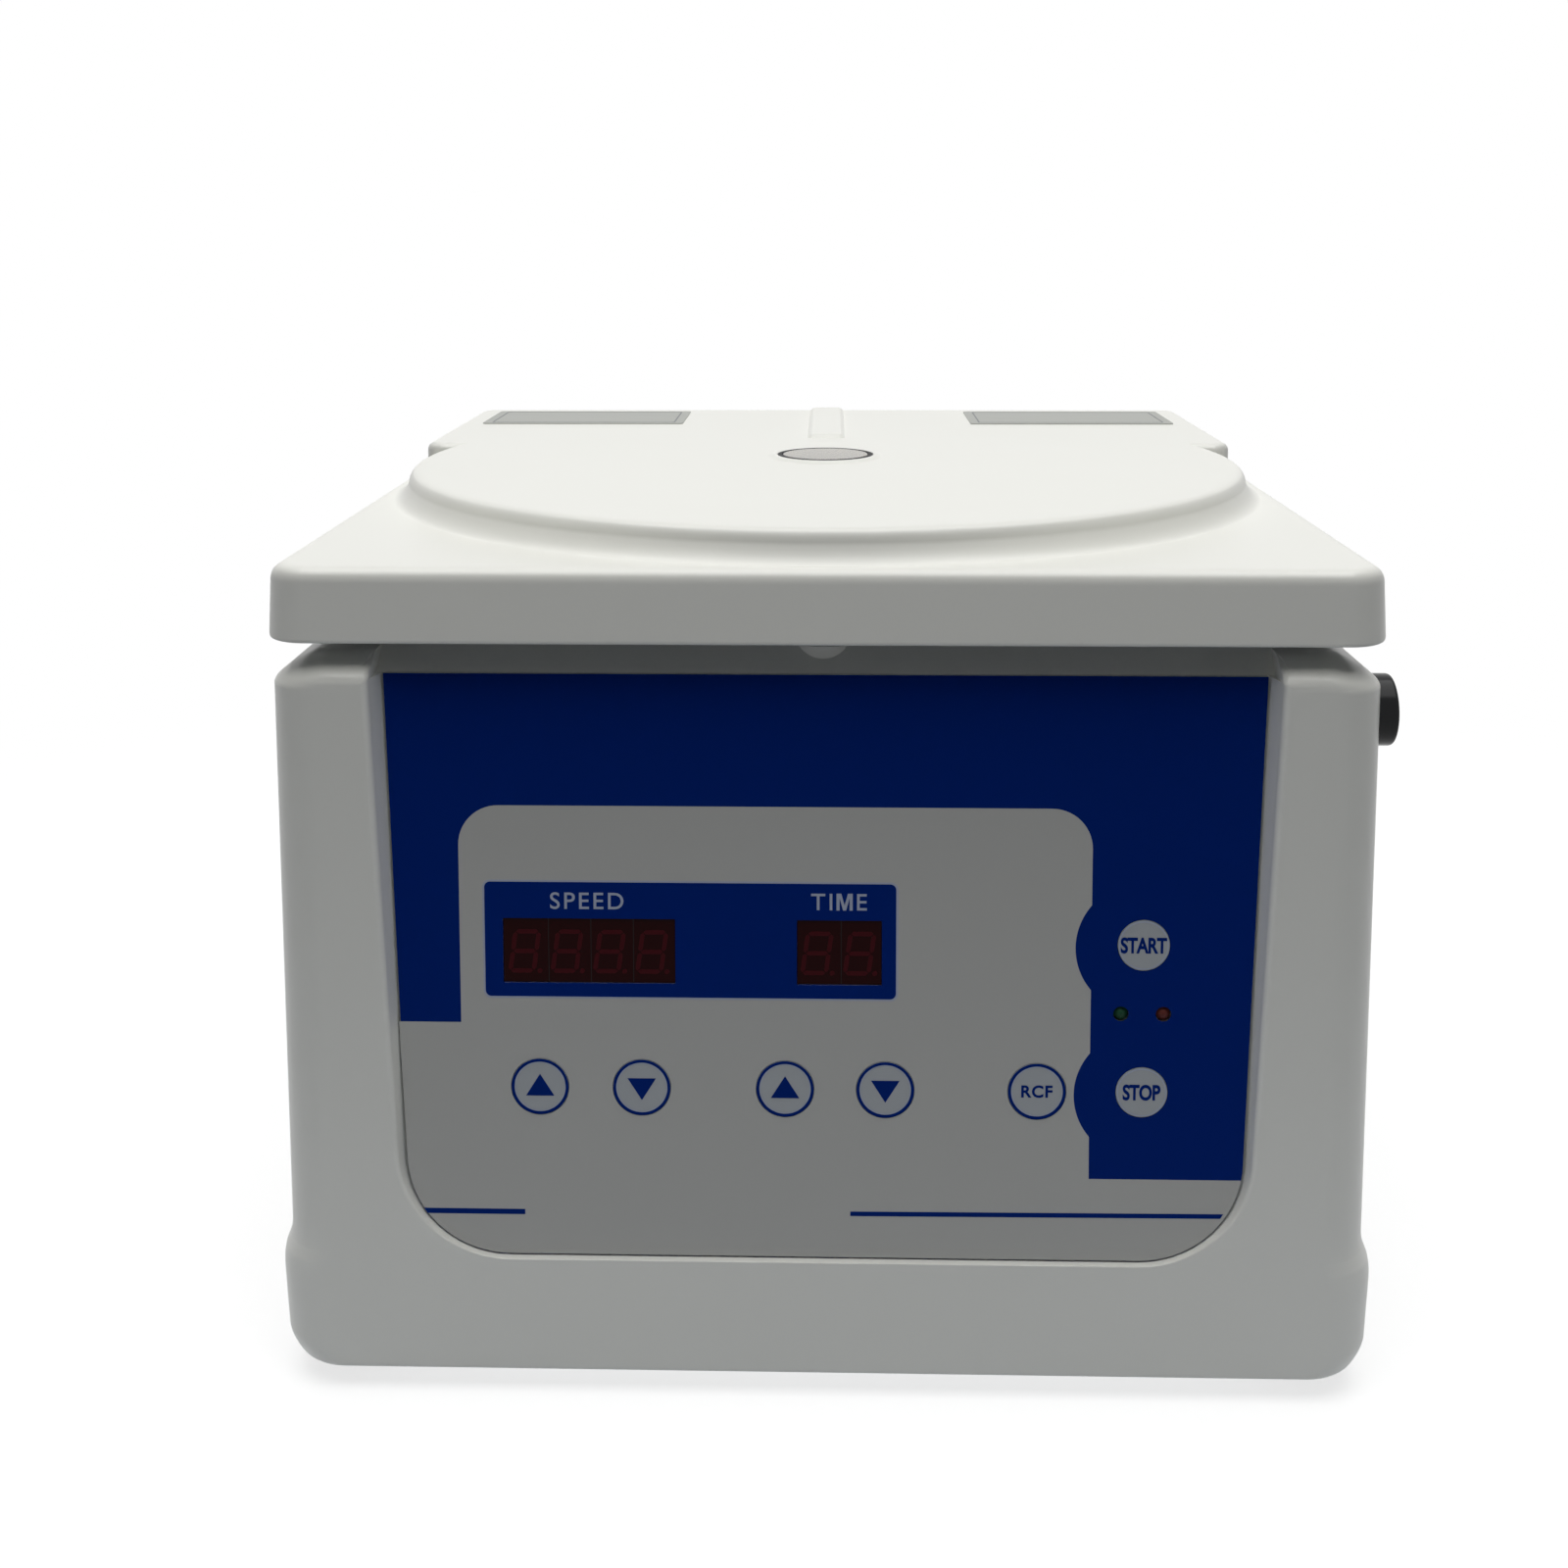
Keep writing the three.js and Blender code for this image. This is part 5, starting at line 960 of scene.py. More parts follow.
@dataclass
class Housing:
    """White housing with its plinth, shoulder, front recess and rear openings."""

    wall: float = 3.0
    corner: float = 14.0
    draft: float = 0.8
    flare: float = 2.8
    foot_flare: float = 2.0
    plinth_z: float = 35.0
    blend_z: float = 43.0
    bottom_round: float = 2.0
    side_cut: float = 4.2
    side_cut_rise: float = 8.0
    rim: float = 9.0
    edge_round: float = 3.0
    ledge_z: float = 10.6
    mouth: float = 2.0
    recess_round: float = 2.2
    post_round: float = 2.2
    seat: float = 2.3
    gap: float = 0.3
    ring: float = 9.0
    chamber_hole: float = 118.0
    striker_hole: float = 6.8
    button_hole: float = 10.3
    shoulder_z: float = DECK_Z - SHOULDER_RISE

    def side_in(self, z: float) -> float:
        """Returns how far the sides have drawn in at a height, before the shoulder's own slope."""
        start = self.shoulder_z - SIDE_SHOULDER - 1.0
        along = min(max((z - start) / (self.shoulder_z - start), 0.0), 1.0)
        return -SIDE_SHOULDER * along**1.5

    def side_foot(self, z: float) -> float:
        """Returns how far the sides stand out at a height close to the bottom edge."""
        left = max(1.0 - (z - EDGE_Z) / self.side_cut_rise, 0.0)
        return self.foot_flare - self.side_cut * left**1.7

    def front_y(self, z: float) -> float:
        """Returns the front face's Y at a height."""
        top = self.shoulder_z - SIDE_SHOULDER
        along = min(max((z - self.blend_z) / (top - self.blend_z), 0.0), 1.0)
        return -HALF_DEPTH - self.draft * (1.0 - along)

    def skin(self, levels: Iterable[Triple]) -> Solid:
        """Skins levels of offset, height and how much further the sides stand out."""
        half = (HALF_WIDTH, HALF_DEPTH)
        return loft([rounded_ring(half, self.corner, o, z, sideways=more) for o, z, more in levels])

    def outer(self) -> Solid:
        """Skins the outside."""
        reach = math.hypot(SHOULDER_RUN, SHOULDER_RISE)
        soft = self.edge_round
        run, rise = soft * SHOULDER_RUN / reach, soft * SHOULDER_RISE / reach
        r, d = self.bottom_round, self.draft
        foot = arc((d - r, EDGE_Z + r), r, -90, 0, 6)
        rise_steps = [EDGE_Z + r + (self.side_cut_rise - r) * i / 6 for i in range(1, 7)]
        wide, low_z, high_z = self.flare, self.plinth_z, self.blend_z
        flare = blend((wide - 0.15, low_z - 4), (wide, low_z), (wide - 0.9, low_z + 3), 6)
        neck = blend((0.7, high_z - 2), (0.0, high_z), (0.0, high_z + 3), 6)
        ramp = [self.shoulder_z - SIDE_SHOULDER - 1.0 + 0.25 * i for i in range(4)]
        edge_z, deck = self.shoulder_z, -SHOULDER_RUN
        low = blend((0.0, edge_z - soft), (0.0, edge_z), (-run, edge_z + rise))
        high = blend((deck + run, DECK_Z - rise), (deck, DECK_Z), (deck - soft, DECK_Z))
        return self.skin(
            [
                *[(o, z, self.side_foot(z)) for o, z in foot],
                *[(d, z, self.side_foot(z)) for z in rise_steps],
                *[(d, z, more) for more, z in flare + neck],
                *[(0.0, z, self.side_in(z)) for z in ramp],
                *[(o, z, self.side_in(z)) for o, z in low + high],
            ]
        )

    def hollow(self) -> Solid:
        """Skins the inside."""
        w, inner = self.wall, self.draft - self.wall
        opening = self.draft - self.rim
        return self.skin(
            [
                (opening, EDGE_Z - 1, self.foot_flare),
                (opening, self.ledge_z, self.foot_flare),
                (inner, self.ledge_z + w, self.foot_flare),
                (inner, self.plinth_z, self.flare),
                (inner, self.blend_z, 0.0),
                (-w, self.shoulder_z - SIDE_SHOULDER - w / 2, 0.0),
                (-w, self.shoulder_z - 1.8, -SIDE_SHOULDER),
                (-9.8, DECK_Z - w, -SIDE_SHOULDER),
            ]
        )

    def recess_ring(self, depth: float, spread: float, seat: bool) -> list[Triple]:
        """Draws the recess's outline at one depth.

        Args:
            depth: how far behind the front face, where the sides are at their full round.
            spread: how far the outline is grown there.
            seat: whether the ring lies on the panel's seat.

        Returns:
            The ring's points.
        """
        low, radius = PANEL_LOW_HALF + self.gap, PANEL_CORNER + self.gap
        slope = (PANEL_HIGH_HALF - PANEL_LOW_HALF) / PANEL_LENGTH
        lean = math.cos(LEAN)
        bottom_z = EDGE_Z + PANEL_FOOT
        top = min(self.shoulder_z + max(depth, 0.0) * SHOULDER_RISE / SHOULDER_RUN, DECK_Z)
        high = (top - bottom_z) / lean
        r = self.post_round
        lip: list[tuple[float, ...]] = []
        for i in range(7):
            bend = math.radians(15 * i)
            across = low + slope * (high - r) + r * (1 - math.cos(bend))
            lip.append((across, high - r + r * math.sin(bend), 1.0, 0.0))
        foot: list[tuple[float, ...]] = []
        for i in range(15):
            out_u, out_v = math.cos(math.radians(90 * i / 14)), math.sin(math.radians(90 * i / 14))
            foot.append((low - radius + radius * out_u, PANEL_CORNER - radius * out_v, out_u, -out_v))
        crown = (lip[-1][0], high + 20.0, 1.0, 0.0)
        side = [crown, *reversed(lip), *foot]
        ring: list[Triple] = []
        for sign, points in ((-1, side), (1, list(reversed(side)))):
            for u, v, out_u, out_v in points:
                full = 0.16 + 0.84 * min(max((v - 4.0) / 40.0, 0.0), 1.0)
                u, v = sign * (u + out_u * spread * full), v + out_v * spread * full
                z = bottom_z + v * lean
                y = self.front_y(z) + depth * (full if depth > 0 else 1.0)
                if seat:
                    y = (PANEL @ Vector((u, self.seat, v))).y
                ring.append((u, y, z))
        return ring

    def recess(self) -> list[Solid]:
        """Makes the solids that cut the recess, with its rounded mouth and slanted sides."""
        r = self.recess_round
        rings = [self.recess_ring(-10.0, self.mouth + r, False)]
        for i in range(9):
            angle = math.radians(90 * i / 8)
            depth = r * (1 - math.cos(angle)) + 0.001
            rings.append(self.recess_ring(depth, self.mouth + r * (1 - math.sin(angle)), False))
        rings.append(self.recess_ring(9.5, 0.0, True))
        top = PANEL @ Vector((0.0, self.seat, PANEL_LENGTH))
        edge = top.y + DECK_Z - top.z
        reach = 119.0 + self.mouth
        section = [(-190.0, top.z), (top.y, top.z), (edge + 1, DECK_Z + 1), (-190.0, DECK_Z + 1)]
        slope = loft([[(x, y, z) for y, z in section] for x in (-reach, reach)])
        window = block((-104.0, 0.0, 16.0), (104.0, self.seat + 4.0, 118.0)).moved(PANEL)
        return [loft(rings), slope, window]

    def backing(self) -> list[Solid]:
        """Makes the wall behind the recess."""
        w = self.wall
        low = PANEL_LOW_HALF + self.mouth + w
        outline = [(low + 4.0, PANEL_LENGTH), *arc((low - 31.0, PANEL_CORNER), 31.0, 0, -90, 12)]
        outline += [(-x, v) for x, v in reversed(outline)]
        sheets = [[tuple(PANEL @ Vector((u, y, v))) for u, v in outline] for y in (-10.0, self.seat + w)]
        top = PANEL @ Vector((0.0, self.seat, PANEL_LENGTH))
        edge = top.y + DECK_Z - top.z
        section = [(-165.0, top.z - w), (top.y + w, top.z - w), (edge + w, DECK_Z - w), (edge + w, DECK_Z)]
        section.append((-165.0, DECK_Z))
        slope = loft([[(x, y, z) for y, z in section] for x in (-low - 4.0, low + 4.0)])
        return [loft(sheets), slope]

    def openings(self) -> list[Solid]:
        """Makes the solids that cut the chamber, striker, button, inlet, switch and vent holes."""

        def slot(x: float, width: float, height: float) -> Solid:
            """Makes one opening through the rear wall."""
            half, rise = width / 2, height / 2
            return block((x - half, 147.0, REAR_Z - rise), (x + half, 158.0, REAR_Z + rise))

        vents = [slot(VENT_X + (i - 4.5) * 8.0, 3.6, 46.6) for i in range(10)]
        return [
            bar(Axis.Z, self.chamber_hole, 200.0, 212.0, ROTOR_MIDDLE, steps=128),
            bar(Axis.Z, self.striker_hole, 195.0, 212.0, (0.0, LOCK_Y), steps=64),
            bar(Axis.X, self.button_hole, 144.0, 156.0, (LOCK_Y, LOCK_Z), steps=64),
            slot(INLET_X, 30.6, 34.6),
            slot(SWITCH_X, 15.6, 22.6),
            *vents,
        ]

    def build(self) -> None:
        """Makes the housing with its recess, the striker's ring and the openings."""
        body = combined(self.outer().mesh("housing_moulding"), Join.CUT, [self.hollow()])
        backing = self.backing()
        wall = combined(backing[0].mesh("wall"), Join.UNION, backing[1:])
        combined(wall, Join.COMMON, [self.outer()])
        behind = solid_of_mesh(wall.data)
        bpy.data.objects.remove(wall)
        combined(body, Join.UNION, [behind])
        combined(body, Join.CUT, self.recess())
        low, high, r = DECK_Z - 5, DECK_Z + 0.4, self.ring
        boss = turned([(0.0, low), (r, low), *eased((r, high), 0.3, 0.3, 3), (0.0, high)], (0.0, LOCK_Y), 64)
        combined(body, Join.UNION, [boss])
        combined(body, Join.CUT, self.openings())
        dress(finished(body), SHELL_WHITE, "base", "white_plastic", "housing")


@dataclass
class Lid:
    """White lid with its round plateau, rear strip, sight window, liner, labels and striker."""

    half: Pair = (149.7, 152.4)
    draft: float = 0.8
    corner: float = 12.0
    skirt: float = 20.2
    top: float = 29.5
    round: float = 5.0
    wall: float = 3.0
    plateau_y: float = -3.0
    strip_y: float = 92.0
    strip_half: Pair = (146.0, 57.0)
    strip_corner: float = 6.0
    plateau_foot: float = 142.2
    plateau_edge: float = 136.6
    plateau_inside: float = 135.2
    window: float = 14.7
    boss: float = 19.5
    label_half: Pair = (39.8, 21.5)
    label_at: Pair = (96.6, 116.8)

    def flank(self, foot: float, crown: float) -> list[Pair]:
        """Draws the plateau's soft side, from its foot up to its flat top.

        Args:
            foot: radius or offset where the side leaves the low top.
            crown: radius or offset where the flat top starts.

        Returns:
            The points from foot to crown.
        """
        rise = self.top - self.skirt
        mid = (foot * 0.52 + crown * 0.48, self.skirt + rise * 0.5)
        lower = blend((foot + 2.2, self.skirt), (foot - 0.6, self.skirt), mid, 8)
        upper = blend(mid, (crown + 2.6, self.top), (crown - 1.4, self.top), 8)
        return lower + upper[1:]

    def outside(self) -> Thing:
        """Joins the slab, the plateau, the strip, the rib and the window's boss."""
        d, r, low, top = self.draft, self.round, self.skirt, self.top
        edge = blend((-1.2, 0.0), (0.0, 0.0), (0.0, 1.2), 4) + eased((-d, low), r, r, 10)
        slab = stack(self.half, self.corner, edge).mesh("lid_moulding")
        side = self.flank(self.plateau_foot, self.plateau_edge)
        section = [(0.0, low - 3), (side[0][0], low - 3), *side, (0.0, top)]
        disc = turned(section, (0.0, self.plateau_y), 192)
        levels = [(0.0, low - 3.0), (0.0, low + 0.6), *eased((0.0, top), 3.4, 3.4, 8)]
        strip = stack(self.strip_half, self.strip_corner, levels, self.strip_y)
        high, wide = top + 0.8, self.boss
        rim = blend((wide, top), (wide - 1.7, high), (wide - 2.5, high), 5)
        boss = turned([(0.0, top - 1), (wide, top - 1), *rim, (0.0, high)], ROTOR_MIDDLE, 96)
        return combined(slab, Join.UNION, [disc, strip, self.rib(), boss])

    def rib(self) -> Solid:
        """Makes the small rib on the strip, with soft sides and a sloping front end."""
        half, rear = (7.0, 47.5), 145.9
        levels = [(0.0, self.top - 1), (0.0, self.top), (-1.1, self.top + 1.1), (-1.9, self.top + 1.4)]
        return stack(half, 3.0, levels, rear - half[1], 6)

    def inside(self) -> list[Solid]:
        """Makes the solids that hollow the lid and open its window."""
        w, d, r = self.wall, self.draft, self.round
        low, top = self.skirt - w, self.top - w
        base = [(-w, -1.0), (-w, 2.1), (-w - d, self.skirt - r), (-d - r, low)]
        slab = stack(self.half, self.corner, base)
        disc = bar(Axis.Z, self.plateau_inside, low - 1, top, (0.0, self.plateau_y), steps=128)
        strip = stack(self.strip_half, self.strip_corner, [(-w, low - 1), (-w, top)], self.strip_y)
        seat = bar(Axis.Z, self.window + 1.8, self.top - 1.6, self.top + 3, ROTOR_MIDDLE, steps=96)
        sight = bar(Axis.Z, self.window - 1.6, 0.0, self.top, ROTOR_MIDDLE, steps=96)
        return [slab, disc, strip, seat, sight]

    def sight_glass(self) -> None:
        """Makes the window and the ring that holds it."""
        low, top = LID_Z + self.top - 1.3, LID_Z + self.top + 0.9
        r = self.window
        glass = turned([(0.0, low), (r, low), *eased((r, top), 0.5, 0.6, 4), (0.0, top)], ROTOR_MIDDLE, 96)
        make(glass, "sight_glass", WINDOW_CLEAR, "lid", "clear_window", "lid_window")
        inner, outer = r + 0.1, r + 1.6
        section = [(inner, low), (outer, low), *eased((outer, top), 0.3, 0.5, 3), (inner, top)]
        ring = turned(section, ROTOR_MIDDLE, 96)
        make(ring, "sight_glass_ring", RUBBER_BLACK, "lid", "black_rubber", "window_ring")

    def labels(self) -> None:
        """Makes the two grey foil labels with a thin printed frame each."""
        x, y = self.label_half
        outline = round_box((-x, -y), (x, y), 1.5)
        insets = ((3.3, 1.0), (3.9, 0.8))
        frame_lines = [round_box((d - x, d - y), (x - d, y - d), r) for d, r in insets]
        for side, sign in (("left", -1), ("right", 1)):
            middle = shift(sign * self.label_at[0], self.label_at[1], LID_Z + self.top + 0.35)
            foil = drawing([outline], 0.35).moved(middle)
            make(foil, "label_foil_" + side, LABEL_GREY, "lid", "grey_label", "lid_label_" + side)
            ink = drawing(frame_lines, INK).moved(shift(z=0.04) @ middle)
            make(ink, "label_frame_" + side, LABEL_INK, "lid", "grey_label")

    def striker(self) -> None:
        """Makes the steel striker with its eye."""
        z = LID_Z
        foot = block((-10.0, -134.4, z - 1.6), (10.0, -124.4, z), 0.5).mesh("striker_tongue")
        tongue = block((-1.0, -133.9, 181.1), (1.0, -124.9, z - 0.8), 0.35)
        combined(foot, Join.UNION, [tongue])
        combined(foot, Join.CUT, [block((-2.0, -132.1, 188.1), (2.0, -126.7, 193.5))])
        dress(finished(foot), HINGE_STEEL, "lid", "steel", "striker")
        places = [(-7.0, LOCK_Y, z - 1.6), (7.0, LOCK_Y, z - 1.6)]
        screws("striker_screws", screw_head(1.9, 1.1, 0.5), places, DOWNWARD, "lid")

    def liner(self) -> None:
        """Makes the liner with a soft edge and its row of fixing screws."""
        z0, z1 = LID_Z + 0.3, LID_Z + 1.8
        levels = [(-3.8, z0), (-3.3, z0 + 0.5), (-3.3, z1)]
        sheet = stack(self.half, self.corner, levels).mesh("liner_sheet")
        hole = bar(Axis.Z, self.window, z0 - 1, z1 + 1, ROTOR_MIDDLE, steps=96)
        combined(sheet, Join.CUT, [hole])
        dress(finished(sheet), LINER_GREY, "lid", "grey_liner", "lid_liner")
        spots = [(x, y, z0) for x in (-138.0, 0.0, 138.0) for y in (-140.0, 140.0) if x or y > 0]
        spots += [(x, 0.0, z0) for x in (-138.0, 138.0)]
        screws("liner_screws", screw_head(3.0, 0.6, 0.7), spots, DOWNWARD, "lid")

    def build(self) -> None:
        """Makes the whole lid."""
        moulding = combined(self.outside(), Join.CUT, self.inside())
        moulding.data.transform(Matrix.Translation((0.0, 0.0, LID_Z)))
        dress(finished(moulding, 30), SHELL_WHITE, "lid", "white_plastic", "lid_shell")
        self.sight_glass()
        self.labels()
        self.striker()
        self.liner()


class Mark(Enum):
    """What is printed on a key."""

    UP = "up"
    DOWN = "down"
    RCF = "RCF"
    START = "START"
    STOP = "STOP"


@dataclass(frozen=True)
class Key:
    """One key of the panel: its body, its place and its print."""

    body: str
    across: float
    up: float
    radius: float
    mark: Mark


KEYS = (
    Key("speed_up_key", -77.6, 48.0, 7.9, Mark.UP),
    Key("speed_down_key", -49.6, 48.0, 7.9, Mark.DOWN),
    Key("time_up_key", -10.3, 48.0, 7.9, Mark.UP),
    Key("time_down_key", 17.1, 48.0, 7.9, Mark.DOWN),
    Key("rcf_key", 58.4, 48.0, 7.9, Mark.RCF),
    Key("start_key", 86.8, 89.2, 7.0, Mark.START),
    Key("stop_key", 86.8, 48.0, 7.0, Mark.STOP),
)


@dataclass
class FrontPanel:
    """Printed panel with its keys, displays and lamps, drawn across and up the leaning face."""

    display_up: float = 86.4
    display_height: float = 18.0
    lamp_up: float = 70.0
    hairline: float = 0.14
    displays: tuple[tuple[str, float, float, int], ...] = (
        ("speed_display", -63.7, 47.0, 4),
        ("time_display", 4.5, 23.0, 2),
    )
    lamps: tuple[tuple[str, float], ...] = (("run_lamp", 80.9), ("stop_lamp", 92.4))

    def side(self, up: float) -> float:
        """Returns half the panel's width at a height above its rounded corners."""
        return PANEL_LOW_HALF + (PANEL_HIGH_HALF - PANEL_LOW_HALF) * up / PANEL_LENGTH

    def outline(self, inset: float) -> list[Pair]:
        """Draws the panel's edge, pulled in by an inset."""
        low, r = PANEL_LOW_HALF - inset, PANEL_CORNER
        angles = [math.radians(-90 + 90 * i / 18) for i in range(19)]
        right = [(low - r + r * math.cos(a), r + inset + r * math.sin(a)) for a in angles]
        right.append((PANEL_HIGH_HALF - inset, PANEL_LENGTH - inset))
        return right + [(-x, v) for x, v in reversed(right)]

    def holes(self) -> list[list[Pair]]:
        """Draws the holes for keys, lamps and displays."""
        loops = [circle((k.across, k.up), k.radius + self.hairline) for k in KEYS]
        loops += [circle((x, self.lamp_up), 2.1, 36) for _, x in self.lamps]
        up, rise = self.display_up, self.display_height / 2 + 0.05
        for _, x, width, _ in self.displays:
            half = width / 2 + 0.05
            loops.append(round_box((x - half, up - rise), (x + half, up + rise), 0.3))
        return loops

    def silver_area(self) -> list[Pair]:
        """Draws the silver field that runs round the blue blocks."""
        top, shelf, stem, swell = 66.0, 115.8, 23.3, 18.4
        lower = [p for p in self.outline(0.05) if p[1] < 40.0]
        right_low = [p for p in lower if p[0] > 0 and p[1] <= stem]
        left_low = [p for p in lower if p[0] < 0]
        r = PANEL_CORNER
        x_edge = PANEL_LOW_HALF - 0.05 - r + math.sqrt(max(r**2 - (r - stem) ** 2, 0.0))
        stop = next(k for k in KEYS if k.mark is Mark.STOP)
        begin = next(k for k in KEYS if k.mark is Mark.START)
        half = math.degrees(math.acos((stop.across - 72.7) / swell))
        return [
            (-self.side(top) + 0.05, top),
            (-99.1, top),
            *arc((-88.1, shelf), 11.0, 180, 90),
            *arc((61.7, shelf), 11.0, 90, 0),
            *arc((begin.across, begin.up - 0.8), swell, 180 - half, 180 + half, 20),
            *arc((stop.across, stop.up - 0.9), swell, 180 - half, 180 + half, 20),
            (72.8, stem),
            (x_edge, stem),
            *sorted(right_low, key=lambda p: -p[1]),
            *sorted(left_low, key=lambda p: p[1]),
        ]

    def layer(
        self,
        name: str,
        loops: Sequence[Sequence[Pair]],
        finish: Finish,
        front: float = 0.04,
        back: float = -0.01,
    ) -> None:
        """Makes one printed layer.

        Args:
            name: the piece's name.
            loops: the outline and its holes.
            finish: its ink.
            front: its face above the panel's face.
            back: its back above the panel's face.
        """
        sheet = drawing(loops, front - back).moved(PRINT @ shift(z=front))
        make(sheet, name, finish, "base", "panel_overlay", sharp_deg=20)

    def sheets(self) -> None:
        """Makes the aluminium plate and the film's layers."""
        holes = self.holes()
        plate = drawing([self.outline(0.05), *holes], 1.7).moved(PRINT @ shift(z=-0.3))
        make(plate, "panel_plate", PLATE_ALUMINIUM, "base", "panel_overlay", "front_panel")
        self.layer("film_blue", [self.outline(0.0), *holes], FILM_BLUE, -0.05, -0.3)
        in_silver = [h for h, k in zip(holes, KEYS) if k.mark not in (Mark.START, Mark.STOP)]
        windows = holes[-len(self.displays) :]
        self.layer("film_silver", [self.silver_area(), *in_silver, *windows], FILM_SILVER, 0.0, -0.06)
        box = round_box((-92.2, 73.5), (19.9, 105.6), 1.6)
        self.layer("display_box", [box, *windows], FILM_BLUE)
        self.layer("display_box_edge", [round_box((-92.7, 73.0), (20.4, 106.1), 2.0), box], FILM_PALE, 0.03)
        self.layer("rule_left", [[(-109.4, 11.3), (-82.2, 11.3), (-82.2, 12.8), (-110.3, 12.8)]], FILM_BLUE)
        self.layer("rule_right", [[(7.6, 11.9), (108.8, 12.4), (109.6, 13.7), (7.6, 13.2)]], FILM_BLUE)
        self.words()

    def words(self) -> None:
        """Prints the two words above the displays; the M of the second is drawn from listed points."""
        speed = lettering("SPEED", 4.8, 0.05, 1.2, INK)
        ends = [lettering(w, 4.8, 0.05, 1.2, INK).moved(shift(x)) for w, x in (("TI", -4.8), ("E", 6.1))]
        time = drawing([self.letter_m()], INK).moved(shift(1.4)).plus(*ends)
        for name, text, x, up in (("word_speed", speed, -64.2, 100.4), ("word_time", time, 4.5, 100.6)):
            printed = text.moved(PRINT @ shift(x, up, 0.08))
            make(printed, name, FILM_PALE, "base", "panel_overlay")

    def letter_m(self) -> list[Pair]:
        """Draws a capital M about its middle."""
        half, rise, stem, cap, valley = 2.2, 2.35, 0.85, 1.3, 1.4
        inside = -half + stem
        left = [(-0.42, -rise), (inside, rise - 1.2), (inside, -rise), (-half, -rise), (-half, rise)]
        left.append((-half + cap, rise))
        return [*left, (0.0, -rise + valley), *[(-x, y) for x, y in reversed(left)]]

    def triangle(self, mark: Mark) -> list[Pair]:
        """Draws an arrow key's triangle about the key's middle."""
        sign = 1 if mark is Mark.UP else -1
        return [(-3.9, -2.6 * sign), (3.9, -2.6 * sign), (0.0, 3.6 * sign)]

    def key(self, key: Key) -> None:
        """Makes a key's cap, stem and print.

        Args:
            key: the key.
        """
        r = key.radius
        dome = eased((r, 0.1), 0.1, 0.25, 3)
        stem = [(0.0, -10.1), (1.75, -10.1), (1.75, -3.2)]
        cap = [*stem, (r + 0.9, -3.2), (r + 0.9, -2.3), (r, -2.3), *dome, (0.0, 0.1)]
        here = PRINT @ shift(key.across, key.up)
        make(turned(cap, steps=72).moved(here), key.body + "_cap", KEY_SILVER, key.body, "key_face", key.body)
        for part, finish, ink in self.key_print(key):
            lifted = ink.moved(here @ shift(z=0.14))
            make(lifted, f"{key.body}_{part}", finish, key.body, "key_face", sharp_deg=20)

    def key_print(self, key: Key) -> list[tuple[str, Finish, Solid]]:
        """Draws what is printed on a key, about its middle.

        Args:
            key: the key.

        Returns:
            The name, the ink and the shape of each print.
        """

        def ring(outer: float, inner: float) -> Solid:
            """Draws a ring whose two sides lie this far inside the key's edge."""
            return drawing([circle((0, 0), key.radius - outer), circle((0, 0), key.radius - inner)], KEY_INK)

        if key.mark in (Mark.START, Mark.STOP):
            narrow = Matrix.Diagonal((0.74, 1.0, 1.0, 1.0))
            word = lettering(key.mark.value, 4.3, 0.2, 0.96, KEY_INK).moved(narrow)
            return [("rim", FILM_PALE, ring(0.25, 0.6)), ("word", FILM_BLUE, word)]
        edges = [("ring", FILM_BLUE, ring(0.05, 0.85)), ("rim", FILM_PALE, ring(0.9, 1.15))]
        if key.mark is Mark.RCF:
            return [*edges, ("word", FILM_BLUE, lettering("RCF", 3.4, 0.13, 1.1, KEY_INK))]
        return [*edges, ("arrow", FILM_BLUE, drawing([self.triangle(key.mark)], KEY_INK))]

    def digit(self) -> Solid:
        """Makes one unlit digit: seven slanted segments and a point, about its middle."""
        width, height, stroke, slant, gap = 6.4, 11.0, 1.25, 0.14, 0.16
        x, y, half = width / 2, height / 2, stroke / 2
        level = [(0, y, True), (0, 0, True), (0, -y, True)]
        upright = [(side, up, False) for up in (y / 2, -y / 2) for side in (-x, x)]
        loops: list[list[Pair]] = []
        for mid_x, mid_y, flat in level + upright:
            end = (width if flat else y) / 2 - gap
            top = [(-end, 0.0), (-end + half, half), (end - half, half)]
            shape = top + [(-a, -b) for a, b in top]
            loops.append([(mid_x + a, mid_y + b) if flat else (mid_x + b, mid_y + a) for a, b in shape])
        loops.append(circle((x + 1.7, -y), 0.7, 16))
        solids = [drawing([[(a + slant * b, b) for a, b in loop]], INK) for loop in loops]
        return solids[0].plus(*solids[1:])

